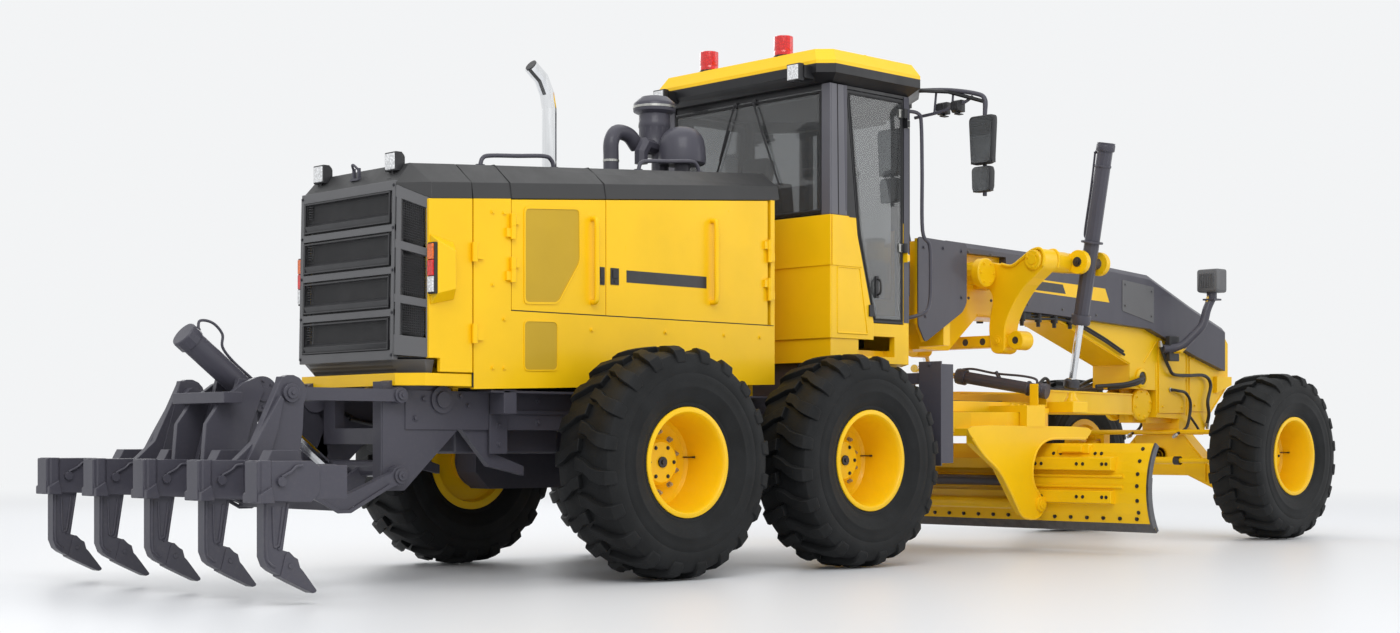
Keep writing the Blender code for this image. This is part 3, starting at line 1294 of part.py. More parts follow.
# ------------------------------------------------------------------ front axle and steering
def make_front_axle():
    """Beam with a fork at each end, then lean pieces, knuckles, lean bar and tie rod."""
    x = WHEELBASE
    beam = [
        (-0.74, 0.43),
        (-0.60, 0.43),
        (-0.30, 0.56),
        (0.30, 0.56),
        (0.60, 0.43),
        (0.74, 0.43),
        (0.74, 0.57),
        (0.58, 0.60),
        (0.26, 0.94 - GAP),
        (-0.26, 0.94 - GAP),
        (-0.58, 0.60),
        (-0.74, 0.57),
    ]
    pieces = [plate(beam, "X", (x - 0.08, x + 0.08))]
    for side in SIDES.values():
        for low, high in ((x - 0.08, x - 0.05), (x + 0.05, x + 0.08)):
            pieces.append(rod((low, side * KINGPIN_Y, LEAN_Z), (high, side * KINGPIN_Y, LEAN_Z), 0.07, 12))
            pieces.append(box((low, high), span(side, 0.66, KINGPIN_Y), (LEAN_Z - 0.07, LEAN_Z + 0.07)))
    cuts = []
    for side in SIDES.values():
        cuts.append(box((x - 0.05, x + 0.05), span(side, 0.60, 0.80), (0.3, 0.7)))
    node("front_axle", "front_frame", "yellow", pieces, cuts)

    for word, side in SIDES.items():
        y = side * KINGPIN_Y
        body("lean_" + word, (x, y, LEAN_Z), "front_frame")
        inner = 0.05 - GAP
        lug = span(side, KINGPIN_Y - 0.04, KINGPIN_Y + 0.04)
        lean = [
            rod((x - inner, y, LEAN_Z), (x + inner, y, LEAN_Z), 0.06, 12),
            box((x - inner, x + inner), span(side, KINGPIN_Y - 0.05, KINGPIN_Y + 0.05), (LEAN_Z, 0.60 - GAP)),
            box((x - 0.06, x + 0.06), span(side, KINGPIN_Y - 0.06, KINGPIN_Y + 0.05), (0.89 + GAP, 0.95)),
            box((x - inner, x + inner), span(side, KINGPIN_Y - 0.15, KINGPIN_Y - 0.11), (0.53, 0.95)),
            box((x - inner, x + inner), span(side, KINGPIN_Y - 0.15, KINGPIN_Y), (0.53, 0.59)),
            box((x - inner, x + inner), span(side, KINGPIN_Y - 0.15, KINGPIN_Y), (0.90, 0.95)),
            box((LEAN_BAR_X + 0.03 + GAP, x), lug, (0.92, LEAN_BAR_Z + 0.035)),
        ]
        node("lean_" + word, "lean_" + word, "yellow", lean)
        body("knuckle_" + word, (x, y, AXLE_Z), "lean_" + word)
        face = TRACK / 2 - HUB_FACE - GAP
        blade = span(side, KINGPIN_Y - 0.025, KINGPIN_Y + 0.025)
        arm = box((x - STEER_ARM, x - 0.03), blade, (TIE_ROD_Z + 0.035, TIE_ROD_Z + 0.07))
        knuckle = [
            rod((x, y, 0.60), (x, y, 0.89), 0.065, 12),
            rod((x, side * KINGPIN_Y, AXLE_Z), (x, side * face, AXLE_Z), 0.09, 12),
            arm,
            rod((x - STEER_ARM, y, TIE_ROD_Z + 0.03 + GAP), (x - STEER_ARM, y, TIE_ROD_Z + 0.07), 0.03, 8),
        ]
        node("knuckle_" + word, "knuckle_" + word, "yellow", knuckle)
        wheel("front_" + word, x, side, "knuckle_" + word)

    left = KINGPIN_Y
    bar_x = LEAN_BAR_X
    body("lean_bar", (bar_x, left, LEAN_BAR_Z), "lean_left")
    bar = [rod((bar_x, -left, LEAN_BAR_Z), (bar_x, left, LEAN_BAR_Z), 0.022, 10)]
    for y in (-left, left):
        bar.append(rod((bar_x - 0.03, y, LEAN_BAR_Z), (bar_x + 0.03, y, LEAN_BAR_Z), 0.035, 10))
    node("lean_bar", "lean_bar", "yellow", bar)
    end_x = x - STEER_ARM
    body("tie_rod_end", (end_x, left, TIE_ROD_Z), "knuckle_left")
    socket = [
        rod((end_x, left, TIE_ROD_Z - 0.02), (end_x, left, TIE_ROD_Z + 0.03), 0.02, 8),
        box((end_x - 0.02, end_x + 0.02), (left - 0.02, left + 0.02), (TIE_ROD_Z - 0.02, TIE_ROD_Z + 0.02)),
    ]
    node("tie_rod_end", "tie_rod_end", "charcoal", socket)
    body("tie_rod", (end_x, left, TIE_ROD_Z), "tie_rod_end")
    level = (TIE_ROD_Z - 0.02, TIE_ROD_Z + 0.02)
    tie = [
        rod((end_x, -left + 0.04, TIE_ROD_Z), (end_x, left - 0.05, TIE_ROD_Z), 0.022, 10),
        rod((end_x, -0.30, TIE_ROD_Z), (end_x, 0.30, TIE_ROD_Z), 0.032, 10),
        box((end_x + 0.02 + GAP, end_x + 0.035), (left - 0.08, left + 0.02), level),
        box((end_x - 0.035, end_x - 0.02 - GAP), (left - 0.08, left + 0.02), level),
        box((end_x - 0.035, end_x + 0.035), (left - 0.08, left - 0.03), level),
    ]
    node("tie_rod", "tie_rod", "yellow", tie)


# ------------------------------------------------------------------ assembly
def build():
    for obj in list(bpy.data.objects):
        bpy.data.objects.remove(obj)
    body("chassis")
    make_rear_frame()
    make_rear_axle()
    for word, side in SIDES.items():
        wheel("middle_" + word, TANDEM_SPACING / 2, side, "chassis")
        wheel("rear_" + word, -TANDEM_SPACING / 2, side, "chassis")
    make_engine()
    make_hood_body()
    make_hood_top()
    make_exhaust_stack()
    make_air_precleaner()
    make_hood_doors()
    make_rear_door()
    make_cab_body()
    make_cab_doors()
    make_cab_glass()
    make_cab_interior()
    make_cab_roof()
    make_ripper()
    make_front_frame()
    make_frame_cover()
    make_drawbar()
    make_circle()
    make_blade()
    make_lift_cylinders()
    make_shift_cylinder()
    make_front_axle()


build()
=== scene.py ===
"""The looks of a motor grader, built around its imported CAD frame.

Every shape is laid out in the machine frame, in metres: X forward from the tandem pivot, Y to
the left, Z up from the ground.  ORIGIN moves that frame to the row frame, where the CAD lies.
"""

from math import cos, pi, radians, sin

import bmesh
import bpy
from mathutils import Matrix, Vector


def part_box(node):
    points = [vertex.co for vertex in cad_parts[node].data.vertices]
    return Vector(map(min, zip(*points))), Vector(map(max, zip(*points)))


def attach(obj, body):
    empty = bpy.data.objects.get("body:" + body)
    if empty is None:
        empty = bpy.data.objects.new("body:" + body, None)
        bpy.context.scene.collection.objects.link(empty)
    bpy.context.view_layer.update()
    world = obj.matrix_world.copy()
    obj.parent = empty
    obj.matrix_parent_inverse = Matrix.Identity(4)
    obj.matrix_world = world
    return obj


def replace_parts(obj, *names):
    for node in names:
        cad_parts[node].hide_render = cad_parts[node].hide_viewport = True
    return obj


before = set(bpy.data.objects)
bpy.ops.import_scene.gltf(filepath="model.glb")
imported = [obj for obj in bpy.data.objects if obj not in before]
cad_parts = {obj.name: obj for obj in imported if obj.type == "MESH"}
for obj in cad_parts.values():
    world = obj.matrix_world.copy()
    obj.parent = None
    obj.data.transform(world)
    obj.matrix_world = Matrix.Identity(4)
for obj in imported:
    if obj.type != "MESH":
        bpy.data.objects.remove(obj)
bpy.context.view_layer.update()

AXLE_LOW, AXLE_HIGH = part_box("rear_axle")
ORIGIN = Vector(((AXLE_LOW.x + AXLE_HIGH.x) / 2, 0.0, 0.0))
SIDES = {"left": 1, "right": -1}


# ------------------------------------------------------------------ camera, floor and light
def make_camera():
    """A level view from the rear right, a little over axle height, with a slight shift up."""
    data = bpy.data.cameras.new("camera")
    data.lens = 49.8
    data.sensor_width = 36.0
    data.shift_y = 0.089
    data.clip_end = 300.0
    camera = bpy.data.objects.new("camera", data)
    camera.location = ORIGIN + Vector((-9.25, -10.25, 0.88))
    camera.rotation_euler = (radians(90), 0.0, 0.8095 - radians(90))
    bpy.context.collection.objects.link(camera)
    bpy.context.scene.camera = camera


ROOM_COLOUR = (0.895, 0.905, 0.915)
ROOM_STRENGTH = 1.0
FLOOR_REACH = 120.0
FADE_START, FADE_END = 7.0, 26.0     # distances over which the floor melts into the room


def make_floor():
    """A wide pale floor, which is not part of the machine."""
    mesh = bpy.data.meshes.new("floor")
    corners = [(x, y, 0) for x, y in square(FLOOR_REACH)]
    mesh.from_pydata(corners, [], [(0, 1, 2, 3)])
    floor = bpy.data.objects.new("floor", mesh)
    floor.location.z = -0.002
    bpy.context.collection.objects.link(floor)
    finish = bpy.data.materials.new("floor")
    finish.use_nodes = True
    shader = finish.node_tree.nodes["Principled BSDF"]
    shader.inputs["Base Color"].default_value = (0.74, 0.75, 0.77, 1.0)
    shader.inputs["Roughness"].default_value = 0.40
    # The floor melts into the room's own colour far from the machine, so that no horizon shows.
    nodes, links = finish.node_tree.nodes, finish.node_tree.links
    haze = nodes.new("ShaderNodeEmission")
    haze.inputs["Color"].default_value = (*ROOM_COLOUR, 1.0)
    haze.inputs["Strength"].default_value = ROOM_STRENGTH
    distance = nodes.new("ShaderNodeVectorMath")
    distance.operation = "LENGTH"
    links.new(nodes.new("ShaderNodeTexCoord").outputs["Object"], distance.inputs[0])
    fade = nodes.new("ShaderNodeMapRange")
    fade.interpolation_type = "SMOOTHSTEP"
    fade.inputs["From Min"].default_value = FADE_START
    fade.inputs["From Max"].default_value = FADE_END
    links.new(distance.outputs["Value"], fade.inputs["Value"])
    blend = nodes.new("ShaderNodeMixShader")
    links.new(fade.outputs["Result"], blend.inputs["Fac"])
    links.new(shader.outputs["BSDF"], blend.inputs[1])
    links.new(haze.outputs["Emission"], blend.inputs[2])
    links.new(blend.outputs["Shader"], nodes["Material Output"].inputs["Surface"])
    mesh.materials.append(finish)


def make_light(name, place, aim, size, power):
    data = bpy.data.lights.new(name, "AREA")
    data.shape = "RECTANGLE"
    data.size, data.size_y = size
    data.energy = power
    light = bpy.data.objects.new(name, data)
    light.location = ORIGIN + Vector(place)
    direction = Vector(aim) - Vector(place)
    light.rotation_euler = direction.to_track_quat("-Z", "Y").to_euler()
    bpy.context.collection.objects.link(light)


def make_lights():
    """Soft boxes above and on the camera's side, in a pale room."""
    middle = (1.7, 0.0, 1.5)
    make_light("key", (-7.0, -9.0, 10.0), middle, (9.0, 6.0), 700)
    make_light("top", (2.0, 1.0, 12.0), middle, (14.0, 8.0), 260)
    make_light("fill", (12.0, -9.0, 5.0), middle, (6.0, 6.0), 160)
    make_light("back", (6.0, 12.0, 8.0), middle, (10.0, 5.0), 320)
    world = bpy.data.worlds.new("room")
    world.use_nodes = True
    background = world.node_tree.nodes["Background"]
    background.inputs["Color"].default_value = (*ROOM_COLOUR, 1.0)
    background.inputs["Strength"].default_value = ROOM_STRENGTH
    bpy.context.scene.world = world
    bpy.context.scene.view_settings.view_transform = "Standard"


# ------------------------------------------------------------------ materials
class Finish:
    """A procedural material, with short ways to add the nodes that it uses."""

    def __init__(self, name):
        self.material = bpy.data.materials.new(name)
        self.material.use_nodes = True
        self.nodes = self.material.node_tree.nodes
        self.links = self.material.node_tree.links
        self.shader = self.nodes["Principled BSDF"]
        self.coordinates = self.nodes.new("ShaderNodeTexCoord").outputs["Object"]

    def set(self, **values):
        """Constants on the shader's own sockets, such as coat_weight=0.3."""
        for word, value in values.items():
            self.shader.inputs[word.replace("_", " ").title().replace("Ior", "IOR")].default_value = value
        return self

    def drive(self, socket, output):
        self.links.new(output, self.shader.inputs[socket])
        return self

    def noise(self, scale, detail=4.0, roughness=0.55, stretch=None):
        node = self.nodes.new("ShaderNodeTexNoise")
        node.inputs["Scale"].default_value = scale
        node.inputs["Detail"].default_value = detail
        node.inputs["Roughness"].default_value = roughness
        source = self.coordinates
        if stretch:
            mapping = self.nodes.new("ShaderNodeMapping")
            mapping.inputs["Scale"].default_value = stretch
            self.links.new(source, mapping.inputs["Vector"])
            source = mapping.outputs["Vector"]
        self.links.new(source, node.inputs["Vector"])
        return node.outputs["Fac"]

    def span(self, output, low, high, to_low=0.0, to_high=1.0):
        """The output between low and high, stretched to another range and held at its ends."""
        node = self.nodes.new("ShaderNodeMapRange")
        for word, value in (("From Min", low), ("From Max", high), ("To Min", to_low),
                            ("To Max", to_high)):
            node.inputs[word].default_value = value
        self.links.new(output, node.inputs["Value"])
        return node.outputs["Result"]

    def mix(self, share, first, second):
        """Two colours mixed by a share; each is a colour or another node's output."""
        node = self.nodes.new("ShaderNodeMix")
        node.data_type = "RGBA"
        self.links.new(share, node.inputs["Factor"])
        for socket, colour in ((node.inputs[6], first), (node.inputs[7], second)):
            if isinstance(colour, tuple):
                socket.default_value = (*colour, 1.0)
            else:
                self.links.new(colour, socket)
        return node.outputs[2]

    def math(self, operation, first, second):
        node = self.nodes.new("ShaderNodeMath")
        node.operation = operation
        for socket, value in zip(node.inputs, (first, second)):
            if isinstance(value, (int, float)):
                socket.default_value = value
            else:
                self.links.new(value, socket)
        return node.outputs["Value"]

    def axis(self, letter):
        """The coordinate of a point along one axis of the row frame."""
        node = self.nodes.new("ShaderNodeSeparateXYZ")
        self.links.new(self.coordinates, node.inputs["Vector"])
        return node.outputs[letter]

    def bump(self, output, distance, strength=1.0, normal=None):
        node = self.nodes.new("ShaderNodeBump")
        node.inputs["Distance"].default_value = distance
        node.inputs["Strength"].default_value = strength
        self.links.new(output, node.inputs["Height"])
        if normal:
            self.links.new(normal, node.inputs["Normal"])
        self.links.new(node.outputs["Normal"], self.shader.inputs["Normal"])
        return node.outputs["Normal"]


DUST = (0.36, 0.31, 0.24)


def paint(name, colour, gloss=0.34, coat=0.08, second=None, dust=0.015):
    """Sprayed paint: cloudy tone, orange peel, uneven gloss, and dust that settles low down.

    second is another colour with a test that says where it is used.
    """
    made = Finish(name)
    cloud = made.noise(1.7, 5.0)
    tone = made.span(cloud, 0.3, 0.7)
    darker = tuple(channel * 0.90 for channel in colour)
    base = made.mix(tone, darker, colour)
    if second:
        other, test = second
        base = made.mix(test(made), base, other)
    low = made.span(made.axis("Z"), 0.15, 1.5, 1.0, 0.0)
    speckle = made.span(made.noise(38.0, 8.0, 0.7), 0.48, 0.72)
    share = made.math("MULTIPLY", made.math("MULTIPLY", low, speckle), dust * 4)
    made.drive("Base Color", made.mix(share, base, DUST))
    smear = made.noise(6.0, 6.0, 0.6, (1.0, 1.0, 0.35))
    made.drive("Roughness", made.span(smear, 0.25, 0.75, gloss - 0.07, gloss + 0.10))
    peel = made.noise(420.0, 2.0)
    made.bump(peel, 0.0004, 0.25)
    made.set(coat_weight=coat, coat_roughness=0.10, specular_ior_level=0.30)
    return made.material


YELLOW = (0.95, 0.57, 0.004)
CHARCOAL = (0.066, 0.064, 0.082)
GREY = (0.045, 0.045, 0.046)
SCREEN_GREY = (0.115, 0.115, 0.12)
BLACK = (0.014, 0.014, 0.016)


def make_rubber():
    """Dark rubber, with fine grain, moulding ripples and pale scuffs spread by noise."""
    made = Finish("rubber")
    grain = made.noise(160.0, 6.0, 0.7)
    cloud = made.span(made.noise(5.0, 5.0), 0.35, 0.7)
    base = made.mix(cloud, (0.0045, 0.005, 0.0055), (0.010, 0.011, 0.012))
    scuff = made.span(made.noise(60.0, 8.0, 0.75), 0.55, 0.80, 0.0, 0.35)
    made.drive("Base Color", made.mix(scuff, base, (0.026, 0.026, 0.025)))
    made.drive("Roughness", made.span(grain, 0.3, 0.7, 0.50, 0.72))
    made.bump(grain, 0.0012, 0.35)
    made.set(specular_ior_level=0.25)
    return made.material


def make_chrome():
    made = Finish("chrome")
    streak = made.noise(22.0, 6.0, 0.6, (1.0, 1.0, 0.08))
    made.drive("Base Color", made.mix(made.span(streak, 0.3, 0.7), (0.68, 0.69, 0.70),
                                      (0.86, 0.87, 0.88)))
    made.drive("Roughness", made.span(streak, 0.3, 0.7, 0.07, 0.18))
    made.set(metallic=1.0)
    return made.material


def make_steel(name, colour, low, high, scale=30.0):
    """Bare or phosphated steel with brushed, blotchy reflections."""
    made = Finish(name)
    blotch = made.noise(scale, 8.0, 0.7)
    darker = tuple(channel * 0.6 for channel in colour)
    made.drive("Base Color", made.mix(made.span(blotch, 0.3, 0.7), darker, colour))
    made.drive("Roughness", made.span(blotch, 0.3, 0.7, low, high))
    made.bump(blotch, 0.0006, 0.3)
    made.set(metallic=0.85)
    return made.material


def make_glass(name, tint, clear=0.9):
    """Tinted pane with a faint film of dust."""
    made = Finish(name)
    film = made.noise(3.0, 8.0, 0.7)
    made.drive("Roughness", made.span(film, 0.4, 0.8, 0.0, 0.10))
    made.drive("Base Color", made.mix(made.span(film, 0.4, 0.9), tint, tuple(c * 0.93 for c in tint)))
    made.set(transmission_weight=clear, ior=1.45)
    return made.material


def make_plastic(name, colour, roughness=0.55, grain=0.3):
    """Moulded plastic with a fine leather-like grain."""
    made = Finish(name)
    fine = made.noise(300.0, 3.0)
    cloud = made.span(made.noise(8.0, 5.0), 0.3, 0.7)
    lighter = tuple(channel * 1.35 + 0.004 for channel in colour)
    made.drive("Base Color", made.mix(cloud, colour, lighter))
    made.drive("Roughness", made.span(fine, 0.3, 0.7, roughness - 0.08, roughness + 0.08))
    made.bump(fine, 0.0006, grain)
    return made.material


def make_lens(name, colour, glow=0.0):
    """A moulded lamp lens with small prisms in it."""
    made = Finish(name)
    cells = made.nodes.new("ShaderNodeTexVoronoi")
    cells.inputs["Scale"].default_value = 70.0
    made.links.new(made.coordinates, cells.inputs["Vector"])
    share = made.span(cells.outputs["Distance"], 0.1, 0.7)
    deep = tuple(channel * 0.55 for channel in colour)
    made.drive("Base Color", made.mix(share, colour, deep))
    made.bump(cells.outputs["Distance"], 0.002, 0.5)
    made.set(roughness=0.12, coat_weight=0.6, coat_roughness=0.05)
    if glow:
        made.set(emission_color=(*colour, 1.0), emission_strength=glow)
    return made.material


def above(height, width=0.002):
    """A test for paint(): 1 above a height."""
    return lambda made: made.span(made.axis("Z"), height - width, height + width)


MATERIALS = {
    "yellow": paint("yellow_paint", YELLOW),
    "charcoal": paint("charcoal_paint", CHARCOAL, 0.42, 0.15),
    "grey": paint("grey_paint", GREY, 0.50, 0.04),
    "frame_grey": paint("frame_grey_paint", SCREEN_GREY, 0.42, 0.15),
    "cab_shell": paint("cab_shell_paint", YELLOW, second=(BLACK, above(2.50))),
    "roof": paint("roof_paint", BLACK, 0.4, second=(YELLOW, above(3.575))),
    "rubber": make_rubber(),
    "chrome": make_chrome(),
    "steel": make_steel("zinc_steel", (0.55, 0.55, 0.52), 0.25, 0.45),
    "dark_steel": make_steel("dark_steel", (0.09, 0.09, 0.10), 0.35, 0.6),
    "edge_steel": make_steel("edge_steel", (0.16, 0.16, 0.17), 0.3, 0.55, 14.0),
    "engine": make_steel("engine_casting", (0.20, 0.21, 0.22), 0.5, 0.7),
    "glass": make_glass("tinted_glass", (0.40, 0.41, 0.415)),
    "pale_charcoal": paint("pillar_paint", (0.11, 0.108, 0.125), 0.4, 0.15),
    "yellow_deep": paint("screen_paint", (0.56, 0.355, 0.016), 0.5, 0.1),
    "seat_fabric": make_plastic("seat_fabric", (0.022, 0.022, 0.024), 0.85, 0.8),
    "mirror": make_steel("mirror_glass", (0.36, 0.37, 0.38), 0.02, 0.05, 2.0),
    "plastic": make_plastic("black_plastic", BLACK),
    "hose": make_plastic("hose_rubber", (0.016, 0.016, 0.018), 0.5, 0.6),
    # Rubber seals and dark seams; the same dark also paints shade in the hood's door gaps and the corner
    # posts' grooves.
    "seal": make_plastic("seal_rubber_and_gap_shade", (0.01, 0.01, 0.011), 0.7),
    # Black wire and plates; the same black also paints shade in holes, ports and the exhaust's mouth.
    "mesh": make_plastic("black_mesh_plate_and_hole_shade", (0.030, 0.030, 0.032), 0.45),
    "red": make_lens("red_lens", (0.75, 0.012, 0.010), 0.15),
    "amber": make_lens("amber_lens", (0.90, 0.16, 0.01), 0.1),
    "white": make_lens("white_lens", (0.85, 0.86, 0.87), 0.1),
    "decal_dark": make_plastic("decal_dark", (0.016, 0.016, 0.018), 0.35, 0.05),
}


# ------------------------------------------------------------------ outlines and curves
PLANES = {"X": (1, 2, 0), "Y": (0, 2, 1), "Z": (0, 1, 2)}


def square(half):
    return [(-half, -half), (half, -half), (half, half), (-half, half)]


def around(count, radius, start=0.0):
    """Points evenly spaced on a circle, as pairs."""
    angles = [start + 2 * pi * i / count for i in range(count)]
    return [(radius * cos(a), radius * sin(a)) for a in angles]


def frame_along(direction):
    """Two unit vectors that complete a right-handed set with this direction."""
    side = Vector((0, 0, 1)).cross(direction)
    if side.length < 1e-6:
        side = Vector((1, 0, 0))
    side.normalize()
    return side, direction.cross(side).normalized()


def circle_at(centre, across, up, radius, count):
    """Points on a circle in the plane of two unit vectors."""
    return [centre + (across * a + up * b) * radius for a, b in around(count, 1.0)]


def catmull(a, b, c, d, t):
    """The point a share t of the way from b to c, on the smooth line through all four."""
    bend = 2 * a - 5 * b + 4 * c - d
    twist = 3 * b - a - 3 * c + d
    return (2 * b + (c - a) * t + bend * t * t + twist * t ** 3) / 2


def smooth_path(points, steps=6):
    """An open smooth line through the points."""
    points = [Vector(p) for p in points]
    padded = [points[0] * 2 - points[1], *points, points[-1] * 2 - points[-2]]
    made = []
    for corners in zip(padded, padded[1:], padded[2:], padded[3:]):
        made += [catmull(*corners, step / steps) for step in range(steps)]
    return made + [points[-1]]


def curved(points, steps=3):
    """A closed smooth outline through the points."""
    ring = [Vector(p) for p in points]
    made = []
    for i in range(len(ring)):
        corners = [ring[(i + k) % len(ring)] for k in (-1, 0, 1, 2)]
        made += [tuple(catmull(*corners, step / steps)) for step in range(steps)]
    return made


def rounded(outline, radius=0.03, steps=4):
    """The outline with each corner cut to an arc-like curve."""
    made = []
    count = len(outline)
    for i, corner in enumerate(outline):
        here = Vector(corner)
        before, after = Vector(outline[i - 1]), Vector(outline[(i + 1) % count])
        into = here + (before - here).normalized() * min(radius, (before - here).length * 0.45)
        away = here + (after - here).normalized() * min(radius, (after - here).length * 0.45)
        for k in range(steps + 1):
            t = k / steps
            made.append(tuple(into * (1 - t) ** 2 + here * 2 * t * (1 - t) + away * t * t))
    return made


def span(side, inner, outer):
    """The range between two distances from the middle, on one side of the machine."""
    return tuple(sorted((side * inner, side * outer)))


def band_profile(inner, outer, low, high):
    """The section of a plain band, for Shape.turned."""
    return [(inner, low), (outer, low), (outer, high), (inner, high)]


def ring_profile(inner, outer, thick):
    """The section of a ring with its outer edges eased, for Shape.turned."""
    swell, ease = outer + 0.002, 0.004
    return [(inner, 0.0), (outer, 0.0), (swell, ease), (swell, thick - ease), (outer, thick),
            (inner, thick)]


# ------------------------------------------------------------------ shapes
class Shape:
    """The geometry of one piece, gathered in the machine frame."""

    def __init__(self):
        self.bm = bmesh.new()

    def loft(self, sections, closed=True):
        """A skin through rings with equal numbers of points, with end faces when closed."""
        rings = [[self.bm.verts.new(point) for point in section] for section in sections]
        for near, far in zip(rings, rings[1:]):
            for i, vert in enumerate(near):
                j = (i + 1) % len(near)
                self.bm.faces.new((vert, near[j], far[j], far[i]))
        if closed:
            self.bm.faces.new(rings[0])
            self.bm.faces.new(rings[-1])
        return self

    def box(self, x, y, z):
        """A block between two limits along each axis."""
        corners = [(x[0], y[0]), (x[1], y[0]), (x[1], y[1]), (x[0], y[1])]
        return self.loft([[(a, b, height) for a, b in corners] for height in z])

    def prism(self, outline, axis, limits):
        """A closed outline in the plane across an axis, extruded between two limits."""
        first, second, along = PLANES[axis]
        sections = []
        for limit in limits:
            section = []
            for point in outline:
                place = [0.0, 0.0, 0.0]
                place[first], place[second], place[along] = point[0], point[1], limit
                section.append(place)
            sections.append(section)
        return self.loft(sections)

    def rod(self, start, end, radius, sides=20, end_radius=None):
        """A straight bar, tapered when it has another radius at its end."""
        start, end = Vector(start), Vector(end)
        across, up = frame_along((end - start).normalized())
        last = radius if end_radius is None else end_radius
        ends = ((start, radius), (end, last))
        return self.loft([circle_at(centre, across, up, reach, sides) for centre, reach in ends])

    def bars(self, points, radius, sides=8, closed=False):
        """Straight rods from each point to the next."""
        ends = points[1:] + points[:1] if closed else points[1:]
        for start, end in zip(points, ends):
            self.rod(start, end, radius, sides)
        return self

    def tube(self, points, radius, sides=10, steps=6):
        """A round bar along a smooth line through the points."""
        path = smooth_path(points, steps) if steps > 1 else [Vector(p) for p in points]
        across = None
        sections = []
        for i, point in enumerate(path):
            direction = (path[min(i + 1, len(path) - 1)] - path[max(i - 1, 0)]).normalized()
            if across is None:
                across = frame_along(direction)[0]
            across = (across - direction * across.dot(direction)).normalized()
            up = direction.cross(across)
            sections.append(circle_at(point, across, up, radius, sides))
        return self.loft(sections)

    def turned(self, profile, centre, direction, steps=64):
        """A closed profile of (radius, distance along) turned about an axis."""
        centre, direction = Vector(centre), Vector(direction).normalized()
        across, up = frame_along(direction)
        rings = []
        for radius, along in profile:
            middle = centre + direction * along
            if radius < 1e-6:
                rings.append([self.bm.verts.new(middle)] * steps)
                continue
            rings.append([self.bm.verts.new(p) for p in circle_at(middle, across, up, radius, steps)])
        for here, there in zip(rings, rings[1:] + rings[:1]):
            for i in range(steps):
                j = (i + 1) % steps
                corners = []
                for vert in (here[i], here[j], there[j], there[i]):
                    if vert not in corners:
                        corners.append(vert)
                if len(corners) > 2:
                    self.bm.faces.new(corners)
        return self

    def bolt(self, place, direction, size=0.012, washer=True):
        """A hexagon head on its washer, standing out along the direction."""
        place, direction = Vector(place), Vector(direction).normalized()
        if washer:
            self.rod(place - direction * 0.002, place + direction * 0.003, size * 1.45, 16)
        self.rod(place, place + direction * size * 1.1, size, 6, size * 0.94)
        return self

    def side_bolts(self, side, y, spots, size):
        """Bolts at (x, z) spots on a side wall."""
        for x, z in spots:
            self.bolt((x, side * y, z), (0, side, 0), size)
        return self

    def bolt_circle(self, centre, axis, sign, radius, count, size, start=0.0):
        """Bolts evenly spaced round a centre, which face along an axis."""
        first, second, along = PLANES[axis]
        direction = Vector((0, 0, 0))
        direction[along] = sign
        for a, b in around(count, radius, start):
            spot = Vector(centre)
            spot[first] += a
            spot[second] += b
            self.bolt(spot, direction, size)
        return self

    def place(self, name, body, material, bevel=0.0, smooth=35.0, segments=2):
        """Makes the piece, hands it to its body, and returns it."""
        bmesh.ops.recalc_face_normals(self.bm, faces=self.bm.faces)
        mesh = bpy.data.meshes.new(name)
        self.bm.to_mesh(mesh)
        self.bm.free()
        mesh.materials.append(MATERIALS[material])
        mesh.shade_smooth()
        mesh.set_sharp_from_angle(angle=radians(smooth))
        piece = bpy.data.objects.new(name, mesh)
        piece.location = ORIGIN
        bpy.context.collection.objects.link(piece)
        if bevel:
            modifier = piece.modifiers.new("edges", "BEVEL")
            modifier.width = bevel
            modifier.segments = segments
            modifier.limit_method = "ANGLE"
            modifier.angle_limit = radians(40)
            modifier.harden_normals = True
        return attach(piece, body)


# ------------------------------------------------------------------ CAD nodes that stay
NODE_MATERIALS = {
    "rear_frame": "charcoal", "rear_axle": "charcoal", "engine": "engine", "hood_body": "yellow",
    "hood_top": "grey", "exhaust_stack": "chrome", "air_precleaner": "charcoal", "cab_body": "cab_shell",
    "rear_window": "glass", "windshield": "glass", "cab_interior": "plastic", "cab_roof": "roof",
    "rear_door": "yellow", "ripper_lower_link": "charcoal", "ripper_upper_link": "charcoal",
    "ripper_beam": "charcoal", "ripper_barrel": "charcoal", "ripper_rod": "chrome",
    "front_frame": "yellow", "frame_cover": "charcoal", "front_axle": "yellow",
    "drawbar_ball": "dark_steel", "drawbar": "yellow", "circle": "yellow", "blade_carrier": "yellow",
    "blade": "yellow", "shift_yoke": "yellow", "shift_barrel": "charcoal", "shift_rod": "chrome",
    "lean_bar": "yellow", "tie_rod_end": "dark_steel", "tie_rod": "yellow",
}
for word in SIDES:
    NODE_MATERIALS.update({
        f"lift_{word}_barrel": "charcoal", f"lift_{word}_rod": "chrome", f"lean_{word}": "yellow",
        f"knuckle_{word}": "yellow", f"cab_door_{word}": "plastic", f"door_glass_{word}": "glass",
        f"hood_door_{word}_rear": "yellow", f"hood_door_{word}_front": "yellow",
    })


# Panes, rods and round parts whose edges stay as they are.
UNBEVELLED = {
    "rear_window", "windshield", "door_glass_left", "door_glass_right", "engine",
    "exhaust_stack", "air_precleaner", "tie_rod_end",
}


def finish_cad_nodes():
    """Gives each CAD node its material, and small bevels on its sharp edges."""
    for name, material in NODE_MATERIALS.items():
        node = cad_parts[name]
        for slot in node.material_slots:
            slot.material = MATERIALS[material]
        if name in UNBEVELLED:
            continue
        weld = node.modifiers.new("weld", "WELD")
        weld.merge_threshold = 0.0001
        bevel = node.modifiers.new("bevel", "BEVEL")
        bevel.width = 0.004
        bevel.segments = 2
        bevel.limit_method = "ANGLE"
        bevel.angle_limit = radians(32)
        bevel.use_clamp_overlap = True
        bevel.harden_normals = True


